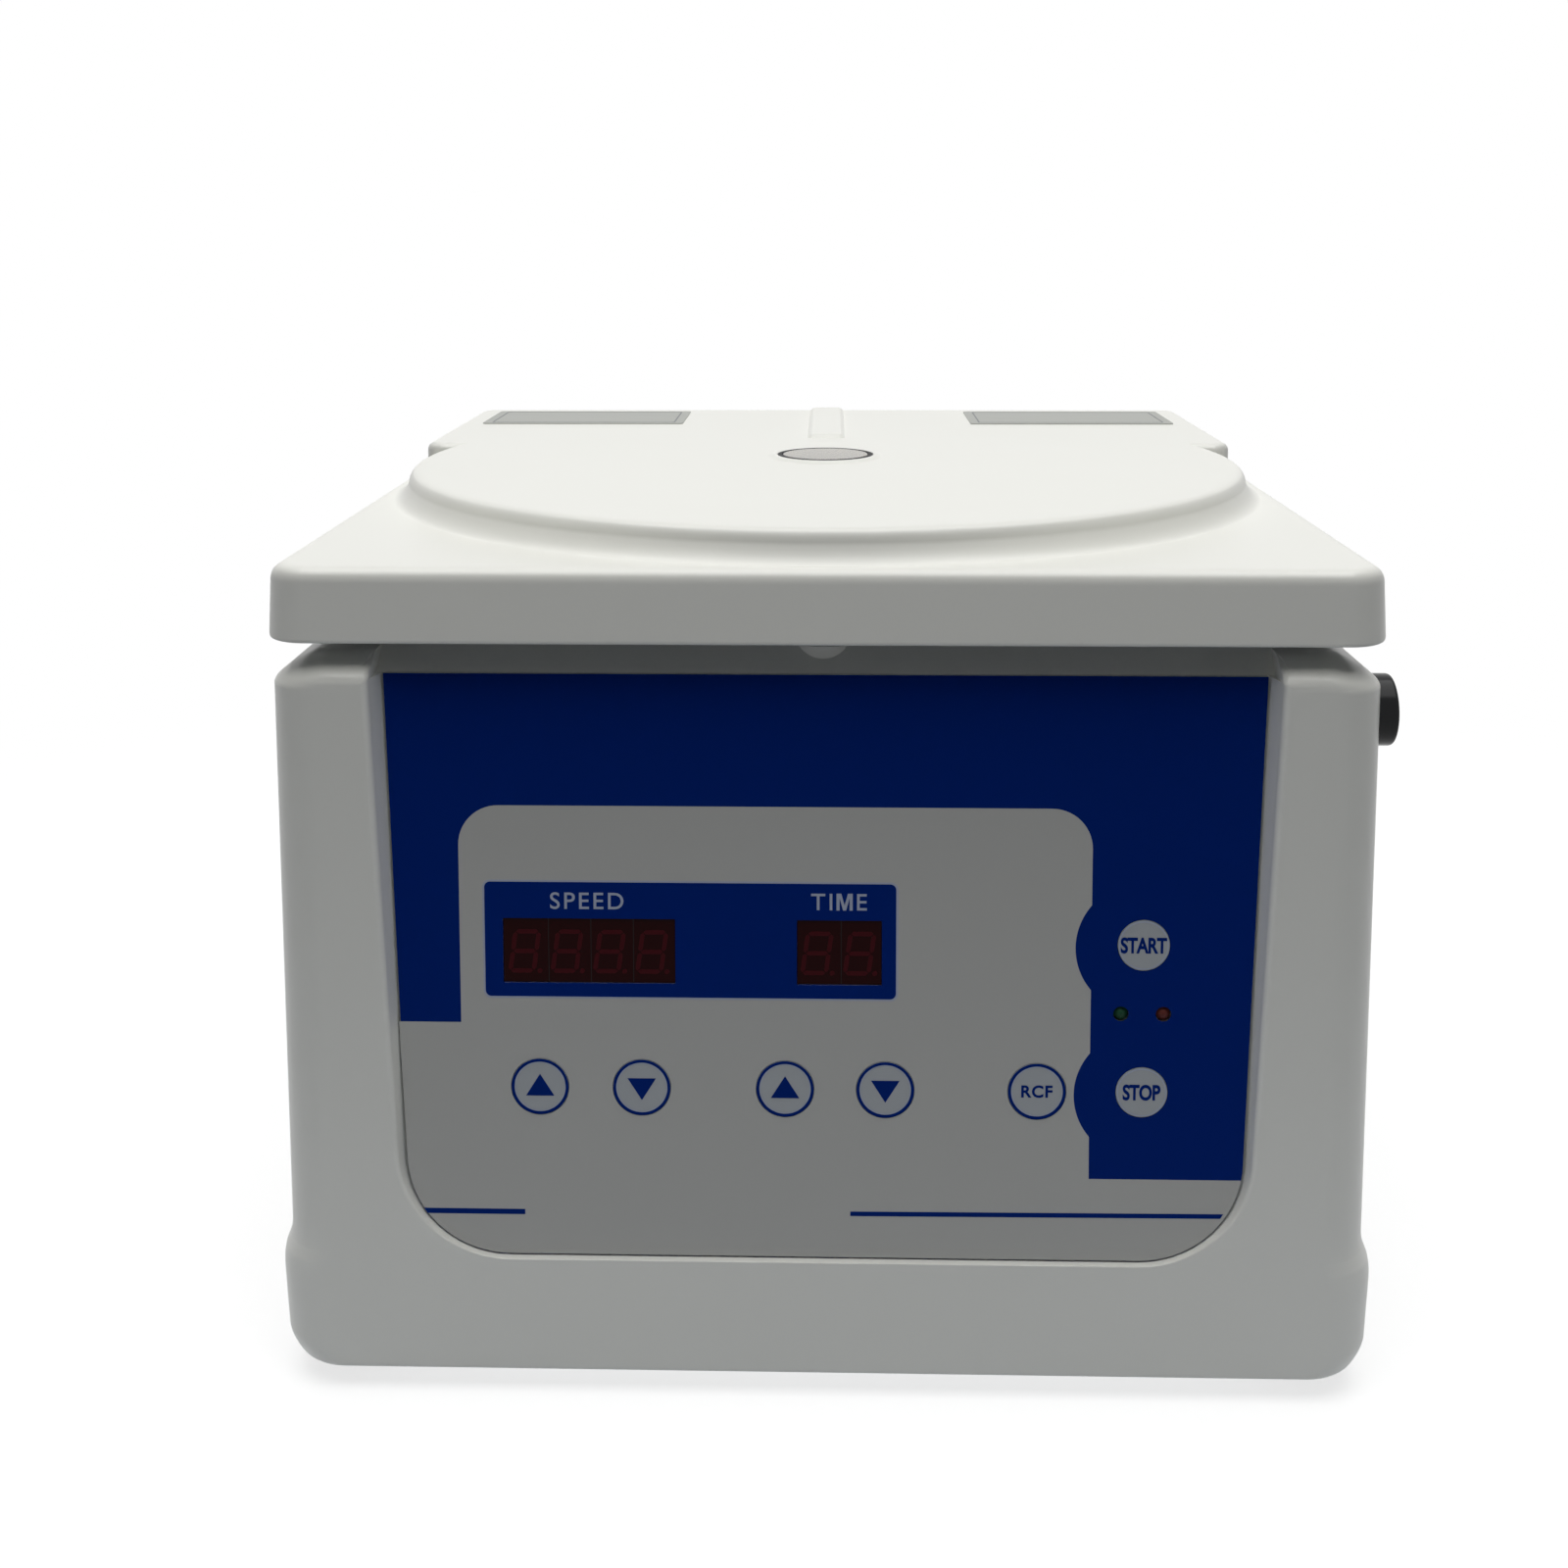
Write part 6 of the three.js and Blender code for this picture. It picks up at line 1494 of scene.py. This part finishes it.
    def display(self, name: str, x: float, width: float, count: int) -> None:
        """Makes a display: its filter, its digits and the seams between the digits' modules.

        Args:
            name: the CAD node that it stands for.
            x: its middle.
            width: its width.
            count: how many digits it has.
        """
        rise, up, pitch = self.display_height / 2, self.display_up, 11.6
        window = block((x - width / 2, up - rise, -13.7), (x + width / 2, up + rise, -0.35), 0.15)
        make(window.moved(PRINT), name + "_filter", FILTER_RED, "base", "display_red", name)
        facing = PRINT.to_3x3().to_4x4()
        first = x - pitch * (count - 1) / 2
        spots = [tuple(PRINT @ Vector((first + i * pitch - 0.3, up - 0.3, -0.30))) for i in range(count)]
        Copies(name + "_digits", self.digit().moved(facing), spots).build(SEGMENT_RED, "base", "display_red")
        line = drawing([[(-0.06, -rise), (0.06, -rise), (0.06, rise), (-0.06, rise)]], 0.04).moved(facing)
        seams = [first + (i + 0.5) * pitch + 0.5 for i in range(count - 1)]
        spots = [tuple(PRINT @ Vector((s, up, -0.31))) for s in seams]
        Copies(name + "_seams", line, spots).build(BUTTON_BLACK, "base", "display_red")

    def lamp(self, name: str, x: float, finish: Finish, slot: str) -> None:
        """Makes a lamp with its domed lens and one lead.

        Args:
            name: the CAD node that it stands for.
            x: its middle.
            finish: the lens's surface.
            slot: the record's material slot.
        """
        dome = [(max(r, 0.0), z) for r, z in arc((0.0, -2.0), 2.0, 0, 90, 8)[:-1]]
        section = [(0.0, -13.7), (0.8, -13.7), (0.8, -6.0), (2.0, -6.0), *dome, (0.0, 0.0)]
        lens = turned(section, steps=36).moved(PRINT @ shift(x, self.lamp_up, -0.02))
        make(lens, name + "_lens", finish, "base", slot, name, sharp_deg=50)

    def build(self) -> None:
        """Makes the whole panel."""
        self.sheets()
        for key in KEYS:
            self.key(key)
        for name, x, width, count in self.displays:
            self.display(name, x, width, count)
        looks = ((LAMP_GREEN, "green_lamp"), (LAMP_RED, "red_lamp"))
        for (name, x), (finish, slot) in zip(self.lamps, looks):
            self.lamp(name, x, finish, slot)


@dataclass
class Lock:
    """Push button on the right side, with its bolt."""

    radius: float = 9.9
    face: float = 155.4
    length: float = 17.3

    def build(self) -> None:
        """Makes the button with a dished face and a rounded rim, and its bolt."""
        r, x = self.radius, self.face
        rim = eased((r, x), 1.3, 1.0, 6)
        dish = blend((r - 1.5, x), (r - 2.0, x - 0.1), (r - 2.6, x - 0.5), 4)
        section = [(0.0, x - self.length), (r, x - self.length), *rim, *dish, (0.0, x - 0.8)]
        cap = turned(section, steps=96).moved(shift(0.0, LOCK_Y, LOCK_Z) @ Axis.X.value)
        make(cap, "button_cap", BUTTON_BLACK, "lock", "black_plastic", "lock_button")
        nose = bar(Axis.X, 2.0, 1.6, 9.8, (LOCK_Y, LOCK_Z), 0.4)
        shank = bar(Axis.X, 3.0, 9.6, 146.1, (LOCK_Y, LOCK_Z), 0.4)
        make(nose.plus(shank), "bolt_rod", HINGE_STEEL, "lock", "steel", "lock_bolt")


@dataclass
class Hinges:
    """Two steel hinges at the rear, each with leaves, knuckles, pin and screws."""

    at: Pair = (158.0, 209.0)
    spread: float = 95.0
    half: float = 25.0
    lid_half: float = 9.0
    knuckle: float = 4.0
    face: float = 152.2
    lid_face: float = 152.7
    sheet: float = 2.0

    def curl(self, x0: float, x1: float, middle: float, face: float) -> Solid:
        """Makes one knuckle and the web to its leaf.

        Args:
            x0: its first end from the hinge's middle.
            x1: its last end.
            middle: the hinge's middle.
            face: the Y of the leaf's back.

        Returns:
            The solid.
        """
        y, z = self.at
        barrel = bar(Axis.X, self.knuckle, middle + x0, middle + x1, self.at, 0.3, 48)
        web = block((middle + x0 + 0.3, face, z - 2.0), (middle + x1 - 0.3, y - 2.0, z + 2.0))
        return barrel.plus(web)

    def leaf(self, middle: float, reach: Pair, face: float, rise: Pair, bevel: float) -> Solid:
        """Makes a flat piece of a leaf.

        Args:
            middle: the hinge's middle.
            reach: its two ends from the hinge's middle.
            face: the Y of its back.
            rise: its two heights from the hinge's axis.
            bevel: the width of its softened edges.

        Returns:
            The plate.
        """
        z = self.at[1]
        low = (middle + reach[0], face, z + rise[0])
        return block(low, (middle + reach[1], face + self.sheet, z + rise[1]), bevel)

    def build(self) -> None:
        """Makes both hinges."""
        half, small, z = self.half, self.lid_half, self.at[1]
        head = screw_head(3.1, 1.5, 0.8)
        for side, middle in (("left", -self.spread), ("right", self.spread)):
            upper = self.curl(-small, small, middle, self.lid_face).plus(
                self.leaf(middle, (-small, small), self.lid_face, (0.0, 6.0), 0.3),
                self.leaf(middle, (-half, half), self.lid_face, (5.3, 19.0), 0.6),
            )
            make(upper, "upper_leaf_" + side, HINGE_STEEL, "lid", "steel", "lid_leaf_" + side)
            lower = self.leaf(middle, (-half, half), self.face, (-34.0, -6.0), 0.6)
            for reach in ((-half, -small - 0.3), (small + 0.3, half)):
                web = self.leaf(middle, reach, self.face, (-7.0, 0.0), 0.3)
                lower = lower.plus(self.curl(*reach, middle, self.face), web)
            make(lower, "lower_leaf_" + side, HINGE_STEEL, "base", "steel", "housing_leaf_" + side)
            pin = bar(Axis.X, 2.0, middle - half, middle + half, self.at, 0.3, 32)
            make(pin, "pin_" + side, HINGE_STEEL, "base", "steel", "hinge_pin_" + side)
            above = [(middle + dx, self.lid_face + self.sheet, z + 12.2) for dx in (-18.0, 0.0, 18.0)]
            spots = [(dx, dz) for dx in (-18.0, 18.0) for dz in (14.0, 27.0)]
            below = [(middle + dx, self.face + self.sheet, z - dz) for dx, dz in spots]
            screws("upper_screws_" + side, head, above, REARWARD, "lid", 3)
            screws("lower_screws_" + side, head, below, REARWARD, "base", 5)


@dataclass
class Chamber:
    """Spun bowl with its rolled rim, the seal on it and the grommet round the shaft."""

    radius: float = 116.0
    sheet: float = 1.2
    floor_z: float = 99.5

    def build(self) -> None:
        """Makes the bowl, the seal and the grommet."""
        inside, sheet, r = self.radius, self.sheet, 12.0
        outer = inside + sheet
        z, flange = self.floor_z, DECK_Z + 0.3
        top = flange + sheet
        bowl = [
            (9.0, z),
            *arc((outer - r, z + r), r, -90, 0, 14),
            (outer, flange),
            *blend((121.4, flange), (122.0, flange + 0.6), (121.4, top), 4),
            *blend((inside + 1.6, top), (inside, top), (inside, flange - 0.6), 6),
            *arc((outer - r, z + r), r - sheet, 0, -90, 14),
            (9.0, z + sheet),
        ]
        make(turned(bowl, ROTOR_MIDDLE, 160), "bowl_spun", BOWL_STEEL, "base", "stainless", "chamber_bowl")
        low, high = top + 0.3, LID_Z
        inner, wide = inside + 1.0, 4.0
        crown = [(x, min(h, high)) for x, h in arc((inner + wide / 2, high - 1.0), wide / 2, 0, 180, 12)]
        seal = turned([(inner, low), (inner + wide, low), *crown], ROTOR_MIDDLE, 160)
        make(seal, "seal_bead", RUBBER_PALE, "base", "pale_seal", "chamber_seal", sharp_deg=50)
        lips = [(5.4, -2.3), (11.6, -2.3), (12.0, -1.9), (12.0, -0.3), (8.7, -0.3)]
        lips += [(8.7, 1.5), (12.0, 1.5), (12.0, 2.9), (11.2, 3.5), (5.4, 3.5)]
        grommet = turned([(x, z + h) for x, h in lips], ROTOR_MIDDLE, 64)
        make(grommet, "grommet", RUBBER_BLACK, "base", "black_rubber", "shaft_seal")


@dataclass
class Rotor:
    """Turned rotor head with four forks, its ribbed nut, the shaft and the buckets."""

    hub: float = 20.0
    pivot: float = 36.0
    fork: float = 14.0
    prong: float = 4.0

    def head(self) -> None:
        """Makes the head."""
        hub, low, high = self.hub, PIVOT_Z - 10, PIVOT_Z + 10
        neck = low - 34
        section = [(5.3, neck), (11.4, neck), (12.0, neck + 0.6), (12.0, low - 3)]
        section += [*blend((12.0, low - 3), (12.0, low), (15.0, low), 5), (hub - 1, low), (hub, low + 1)]
        section += [(hub, high - 1), (hub - 1, high), (5.3, high)]
        body = turned(section, ROTOR_MIDDLE, 96).mesh("head_turned")
        prongs, slots = [], []
        for i in range(4):
            turn = shift(*ROTOR_MIDDLE) @ Matrix.Rotation(i * math.pi / 2, 4, "Z")
            for side in (-1, 1):
                a, b = sorted((side * self.fork, side * (self.fork + self.prong)))
                prongs.append(block((13.0, a, PIVOT_Z - 8), (43.0, b, PIVOT_Z + 8), 0.8).moved(turn))
            slots.append(bar(Axis.Y, 2.8, -20.0, 20.0, (self.pivot, PIVOT_Z), steps=32).moved(turn))
            gap = block((self.pivot - 2.8, -20.0, PIVOT_Z), (self.pivot + 2.8, 20.0, PIVOT_Z + 10))
            slots.append(gap.moved(turn))
        combined(body, Join.UNION, prongs)
        combined(body, Join.CUT, [*slots, bar(Axis.Z, 5.3, neck - 1, high + 1, ROTOR_MIDDLE)])
        dress(finished(body), ROTOR_ALUMINIUM, "rotor", "aluminium", "rotor_head")

    def nut(self) -> None:
        """Makes the nut with a ring of grip ribs."""
        z, count, out = PIVOT_Z + 10.6, 32, 10.55
        top, floor = z + 11.0, DECK_Z - 6.2
        crown = eased((10.6, top), 3.0, 3.6, 8)
        section = [(4.3, z), (10.2, z), (10.6, z + 0.4), *crown, (0.0, top), (0.0, floor), (4.3, floor)]
        make(turned(section, ROTOR_MIDDLE, 72), "nut_turned", BRIGHT_STEEL, "rotor", "steel", "rotor_nut")
        angles = [2 * math.pi * i / count for i in range(count)]
        places = [(out * math.cos(a), ROTOR_Y + out * math.sin(a), z + 0.8) for a in angles]
        rib = block((-0.4, -0.45, 0.0), (0.42, 0.45, 6.6), 0.15, 1)
        Copies("nut_ribs", rib, places, turn_step=2 * math.pi / count).build(BRIGHT_STEEL, "rotor", "steel")

    def shaft(self) -> None:
        """Makes the shaft."""
        z, seat, top = 17.7, PIVOT_Z + 10.3, DECK_Z - 6.5
        section = [(0.0, z), (4.6, z), (5.0, z + 0.4), (5.0, seat), (4.0, seat), (4.0, top), (0.0, top)]
        make(turned(section, ROTOR_MIDDLE, 48), "shaft_ground", BRIGHT_STEEL, "rotor", "steel", "motor_shaft")

    def buckets(self) -> None:
        """Makes the four buckets, each with a rubber cushion in its floor."""
        outside = [(0.0, -73), *blend((7.0, -73), (11.0, -73), (11.0, -69), 8), (11.0, -7), (12.2, -6)]
        rim = [(12.5, -5.7), (12.5, 8.2), *eased((12.5, 9), 0.6, 0.6, 3), (9.4, 9), (8.9, 8.5)]
        section = [*outside, *rim, *blend((8.9, -61.6), (8.9, -70.5), (0.0, -70.5), 8)]
        cushion = [(0.0, -69.9), (5.4, -67.8), (5.4, -66.4), (0.0, -67.4)]
        for i in range(4):
            angle = i * math.pi / 2
            c = (self.pivot * math.cos(angle), ROTOR_Y + self.pivot * math.sin(angle))
            cup = turned([(x, PIVOT_Z + h) for x, h in section], c, 64)
            turn = shift(*ROTOR_MIDDLE) @ Matrix.Rotation(angle, 4, "Z")
            for span in ((11.5, 17.7), (-17.7, -11.5)):
                cup = cup.plus(bar(Axis.Y, 2.5, *span, (self.pivot, PIVOT_Z), 0.3, 32).moved(turn))
            body = f"bucket_{i + 1}"
            rings = {"centre": (*c, 0.0), "ring_mm": 0.6}
            finish = TurnedMetal(f"aluminium_turned_bucket_{i + 1}", "C9CBCD", 0.3, **rings)
            make(cup, body + "_cup", finish, body, "aluminium", body)
            pad = turned([(x, PIVOT_Z + h) for x, h in cushion], c, 32)
            make(pad, body + "_pad", RUBBER_BLACK, body, "black_rubber", sharp_deg=50)

    def build(self) -> None:
        """Makes the whole rotor."""
        self.head()
        self.nut()
        self.shaft()
        self.buckets()


@dataclass
class RearFittings:
    """Power inlet with its fuse drawer, rocker switch, vent grille and a bare label."""

    wall: float = 152.7

    def inlet(self) -> None:
        """Makes the inlet with its socket, blades, drawer and screws."""
        face = self.wall + 2.7
        at = shift(INLET_X, 0.0, REAR_Z)
        flange = block((-24.0, face - 2.4, -20.0), (24.0, face, 20.0), 0.9).moved(at).mesh("inlet_moulding")
        body = block((-15.0, face - 22.0, -17.0), (15.0, face - 1.2, 17.0)).moved(at)
        combined(flange, Join.UNION, [body])
        w, h, b, up = 12.2, 8.3, 4.0, 6.0
        corners = [(-w, -h), (w, -h), (w, h - b), (w - b, h), (-w + b, h), (-w, h - b)]
        socket = loft([[(x, y, z + up) for x, z in corners] for y in (face - 16.0, face + 1.0)]).moved(at)
        drawer_slot = block((-11.3, face - 17.3, -14.8), (11.3, face + 1.0, -6.2)).moved(at)
        combined(flange, Join.CUT, [socket, drawer_slot])
        dress(finished(flange), INLET_BLACK, "base", "black_plastic", "power_inlet")
        blades = [
            block((x - 1.0, face - 17.0, z - 2.0), (x + 1.0, face - 2.0, z + 2.0), 0.3).moved(at)
            for x, z in ((-7.0, up - 3), (7.0, up - 3), (0.0, up + 3))
        ]
        make(blades[0].plus(*blades[1:]), "inlet_blades", BRASS_BRIGHT, "base", "black_plastic")
        drawer = block((-11.0, face - 17.0, -14.5), (11.0, face, -6.5), 0.4)
        drawer = drawer.plus(block((-5.5, face - 1.2, -12.5), (5.5, face + 1.2, -8.5), 0.5)).moved(at)
        make(drawer, "drawer_moulding", INLET_BLACK, "drawer", "black_plastic", "fuse_drawer")
        places = [(INLET_X + dx, face, REAR_Z) for dx in (-19.8, 19.8)]
        screws("inlet_screws", screw_head(2.9, 1.2, 0.7), places, REARWARD, "base")

    def switch(self) -> None:
        """Makes the switch frame and its rocker with the usual line and circle."""
        face = self.wall + 2.3
        at = shift(SWITCH_X, 0.0, REAR_Z)
        frame = block((-9.5, face - 2.0, -13.0), (9.5, face, 13.0), 0.8).moved(at).mesh("switch_moulding")
        combined(frame, Join.UNION, [block((-7.5, face - 15.0, -11.0), (7.5, face - 1.0, 11.0)).moved(at)])
        combined(frame, Join.CUT, [block((-6.0, face - 13.5, -9.5), (6.0, face + 1.0, 9.5)).moved(at)])
        dress(finished(frame), INLET_BLACK, "base", "black_plastic", "switch_frame")
        tilt = shift(SWITCH_X, face - 3.0, REAR_Z) @ Matrix.Rotation(-math.radians(10), 4, "X")
        section = [(-5.0, -2.5), (0.0, -8.7), (4.3, -8.7), *blend((4.6, -8.5), (3.2, -4.0), (3.0, 0.0), 6)]
        section += [*blend((3.0, 0.0), (3.2, 4.0), (4.6, 8.5), 6)[1:], (4.3, 8.7), (0.0, 8.7), (-5.0, 2.5)]
        rocker = loft([[(x, y, z) for y, z in section] for x in (-5.6, 5.6)]).moved(tilt)
        make(rocker, "rocker_moulding", BUTTON_BLACK, "rocker", "black_plastic", "power_rocker", sharp_deg=30)
        marks = [
            ("on", [[(-0.3, -1.6), (0.3, -1.6), (0.3, 1.6), (-0.3, 1.6)]], 5.2),
            ("off", [circle((0, 0), 1.6, 40), circle((0, 0), 1.1, 40)], -5.2),
        ]
        for name, loops, z in marks:
            slope = Matrix.Rotation(math.radians(9.0) * (1 if z > 0 else -1), 4, "X")
            ink = drawing(loops, INK).moved(tilt @ shift(0.0, 3.72, z) @ slope @ TO_REAR)
            make(ink, "rocker_mark_" + name, MARK_WHITE, "rocker", "black_plastic")

    def grille(self) -> None:
        """Makes the fine wires behind the vent slots."""
        source = bar(Axis.X, 0.35, -42.0, 42.0, (0.0, 0.0), steps=8)
        places = [(VENT_X, 148.2, REAR_Z - 25.0 + 2.5 * i) for i in range(21)]
        Copies("vent_wires", source, places).build(HINGE_STEEL, "base", "steel")

    def rating_label(self) -> None:
        """Makes a bare foil label above the inlet, which lies along the leaning wall."""
        lean = Matrix.Rotation(math.atan2(0.8, 158.5), 4, "X")
        place = shift(66.0, HALF_DEPTH + 0.62, 118.0) @ lean @ TO_REAR
        foil = drawing([round_box((-32.0, -16.0), (32.0, 16.0), 2.0)], 0.25).moved(place)
        make(foil, "rear_label_foil", LABEL_GREY, "base", "grey_label")

    def build(self) -> None:
        """Makes what is on the rear face."""
        self.inlet()
        self.switch()
        self.grille()
        self.rating_label()


@dataclass
class Underside:
    """Feet and base plate screws."""

    feet: Pair = (132.0, 132.0)

    def build(self) -> None:
        """Makes the feet with their hollow for the screw, and the screws of the base plate."""
        x, y = self.feet
        section = blend((3.4, 2.2), (3.4, 0.0), (4.4, 0.0), 4) + blend((8.6, 0.0), (9.6, 0.0), (9.8, 1.2), 5)
        section += [(10.0, 7.8), (9.8, 8.0), (3.4, 8.0)]
        for front, sy in (("front", -1), ("rear", 1)):
            for side, sx in (("left", -1), ("right", 1)):
                name, spot = f"foot_{front}_{side}", (sx * x, sy * y)
                make(turned(section, spot, 48), name + "_rubber", RUBBER_GREY, "base", "grey_rubber", name)
                core = bar(Axis.Z, 3.2, 2.6, 7.9, spot, steps=32)
                make(core, name + "_screw", HINGE_STEEL, "base", "steel")
        places = [(sx * 100.0, sy * 134.0, 8.3) for sx in (-1, 0, 1) for sy in (-1, 1)]
        places += [(sx * 136.0, 0.0, 8.3) for sx in (-1, 1)]
        screws("base_screws", screw_head(3.4, 1.8, 0.9), places, DOWNWARD, "base", 11)


@dataclass
class InnerWorks:
    """Pieces inside the housing, which keep their CAD shapes and get their finishes."""

    finishes: tuple[tuple[Finish, tuple[str, ...]], ...] = (
        (SHEET_ZINC, ("base_plate", "motor_bracket", "motor_can", "lock_guide")),
        (BRIGHT_STEEL, ("motor_armature", "lower_bearing", "upper_bearing", "lock_spring")),
        (RUBBER_BLACK, ("damper_1", "damper_2", "damper_3")),
        (BOARD_GREEN, ("control_board", "power_board")),
    )

    def build(self, nodes: dict[str, Thing]) -> None:
        """Dresses the CAD nodes.

        Args:
            nodes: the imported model's nodes by name.
        """
        for finish, names in self.finishes:
            for name in names:
                nodes[name].data.materials.clear()
                nodes[name].data.materials.append(finish.material())


@dataclass
class Studio:
    """Pale floor, soft lamps and the camera at the photograph's angle."""

    eye: Triple = (2.6, -623.1, 327.8)
    tilt_deg: float = 7.56
    turn_deg: float = 1.525
    roll_deg: float = 0.135
    lens: float = 42.08
    shift_up: float = -340.3 / FRAME_SIDE
    floor_half: float = 3000.0
    near_m: float = 0.30
    far_m: float = 0.75

    def white_for_camera(
        self, tree: Tree, seen: Socket, rest: Socket
    ) -> Socket:
        """Mixes two shaders by whether the camera, metal or glass sees them.

        Args:
            tree: the tree of the floor or the world.
            seen: what the camera sees, also in metal and through glass.
            rest: what lights the object.

        Returns:
            The mixed shader's socket.
        """
        path = add(tree, "ShaderNodeLightPath").outputs
        some = {0: path["Is Camera Ray"], 1: path["Is Glossy Ray"]}
        either = add(tree, "ShaderNodeMath", some, operation="MAXIMUM").outputs[0]
        every = {0: either, 1: path["Is Transmission Ray"]}
        sees = add(tree, "ShaderNodeMath", every, operation="MAXIMUM").outputs[0]
        return self.mixed(tree, sees, rest, seen)

    def mixed(
        self,
        tree: Tree,
        share: Socket,
        first: Socket,
        last: Socket,
    ) -> Socket:
        """Goes from one shader to another as the share goes from 0 to 1."""
        return add(tree, "ShaderNodeMixShader", {0: share, 1: first, 2: last}).outputs["Shader"]

    def floor(self) -> None:
        """Makes the floor: white to the camera; to the machine a painted pool of light, pale close by and
        dark far off.
        """
        half = self.floor_half
        data = bpy.data.meshes.new("floor")
        corners = ((-half, -half, 0), (half, -half, 0), (half, half, 0), (-half, half, 0))
        data.from_pydata([tuple(TO_ROW @ Vector(p)) for p in corners], [], [(0, 1, 2, 3)])
        floor = linked("floor", data)
        material = bpy.data.materials.new("matt_white_floor")
        tree = emptied(material)
        white = (1.0, 1.0, 1.0, 1.0)
        lit = add(tree, "ShaderNodeBsdfDiffuse", {"Color": (0.5, 0.5, 0.5, 1.0)}).outputs["BSDF"]
        glow = add(tree, "ShaderNodeEmission", {"Color": white, "Strength": 0.72}).outputs["Emission"]
        near = add(tree, "ShaderNodeAddShader", {0: lit, 1: glow}).outputs["Shader"]
        far = add(tree, "ShaderNodeEmission", {"Color": white, "Strength": 1.0}).outputs["Emission"]
        where = add(tree, "ShaderNodeTexCoord").outputs["Object"]
        distance = add(tree, "ShaderNodeVectorMath", {0: where}, operation="LENGTH").outputs["Value"]
        span = {"Value": distance, "From Min": self.near_m, "From Max": self.far_m}
        fade = add(tree, "ShaderNodeMapRange", span, interpolation_type="SMOOTHSTEP").outputs["Result"]
        seen = self.mixed(tree, fade, near, far)
        # Painted light: the floor that lights the machine is pale close by and dark grey far off. This
        # painted pool of light stands in for the lamp's light falling off with distance.
        pale = add(tree, "ShaderNodeBsdfDiffuse", {"Color": (0.66, 0.69, 0.74, 1.0)}).outputs["BSDF"]
        grey = add(tree, "ShaderNodeBsdfDiffuse", {"Color": (0.05, 0.055, 0.07, 1.0)}).outputs["BSDF"]
        under = self.mixed(tree, fade, pale, grey)
        surface = self.white_for_camera(tree, seen, under)
        add(tree, "ShaderNodeOutputMaterial", {"Surface": surface})
        data.materials.append(material)

    def world(self) -> None:
        """Makes the world white to the camera and a soft grey to the object."""
        world = bpy.data.worlds.new("studio")
        bpy.context.scene.world = world
        tree = emptied(world)
        white = add(tree, "ShaderNodeBackground", {"Color": (1.0, 1.0, 1.0, 1.0), "Strength": 1.0})
        soft = add(tree, "ShaderNodeBackground", {"Color": (0.93, 0.96, 1.0, 1.0), "Strength": 0.02})
        surface = self.white_for_camera(tree, white.outputs["Background"], soft.outputs["Background"])
        add(tree, "ShaderNodeOutputWorld", {"Surface": surface})

    def lamp(self, name: str, where: Triple, size: float, watts: float) -> None:
        """Hangs a soft square lamp that faces the machine's middle.

        Args:
            name: the lamp's name.
            where: its place, in millimetres.
            size: its side, in metres.
            watts: its power.
        """
        light = bpy.data.lights.new(name, "AREA")
        light.size = size
        light.energy = watts
        lamp = linked(name, light)
        lamp.location = TO_ROW @ Vector(where)
        aim = TO_ROW @ Vector((0.0, 0.0, 150.0)) - lamp.location
        lamp.rotation_euler = aim.to_track_quat("-Z", "Y").to_euler()

    def camera(self) -> None:
        """Sets the camera."""
        data = bpy.data.cameras.new("camera")
        data.sensor_width = 36.0
        data.lens = self.lens
        data.shift_y = self.shift_up
        data.clip_start = 0.02
        camera = linked("camera", data)
        camera.location = TO_ROW @ Vector(self.eye)
        angles = (90 - self.tilt_deg, self.roll_deg, self.turn_deg)
        camera.rotation_euler = tuple(math.radians(a) for a in angles)
        bpy.context.scene.camera = camera

    def build(self) -> None:
        """Sets the whole scene."""
        bpy.context.scene.view_settings.view_transform = "Standard"
        self.floor()
        self.world()
        self.lamp("ceiling_lamp", (0.0, -160.0, 1600.0), 1.8, 25.0)
        self.lamp("left_lamp", (-1500.0, -500.0, 900.0), 1.0, 0.3)
        self.lamp("right_lamp", (1500.0, -500.0, 900.0), 1.0, 0.3)
        self.camera()


def main() -> None:
    """Builds every sub-assembly and then the studio."""
    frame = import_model()
    kinds = (Housing, Lid, FrontPanel, Lock, Hinges, Chamber, Rotor, RearFittings, Underside)
    for kind in kinds:
        kind().build()
        log.info("built %s", kind.__name__)
    InnerWorks().build(frame["nodes"])
    Studio().build()


if __name__ == "__main__":
    main()
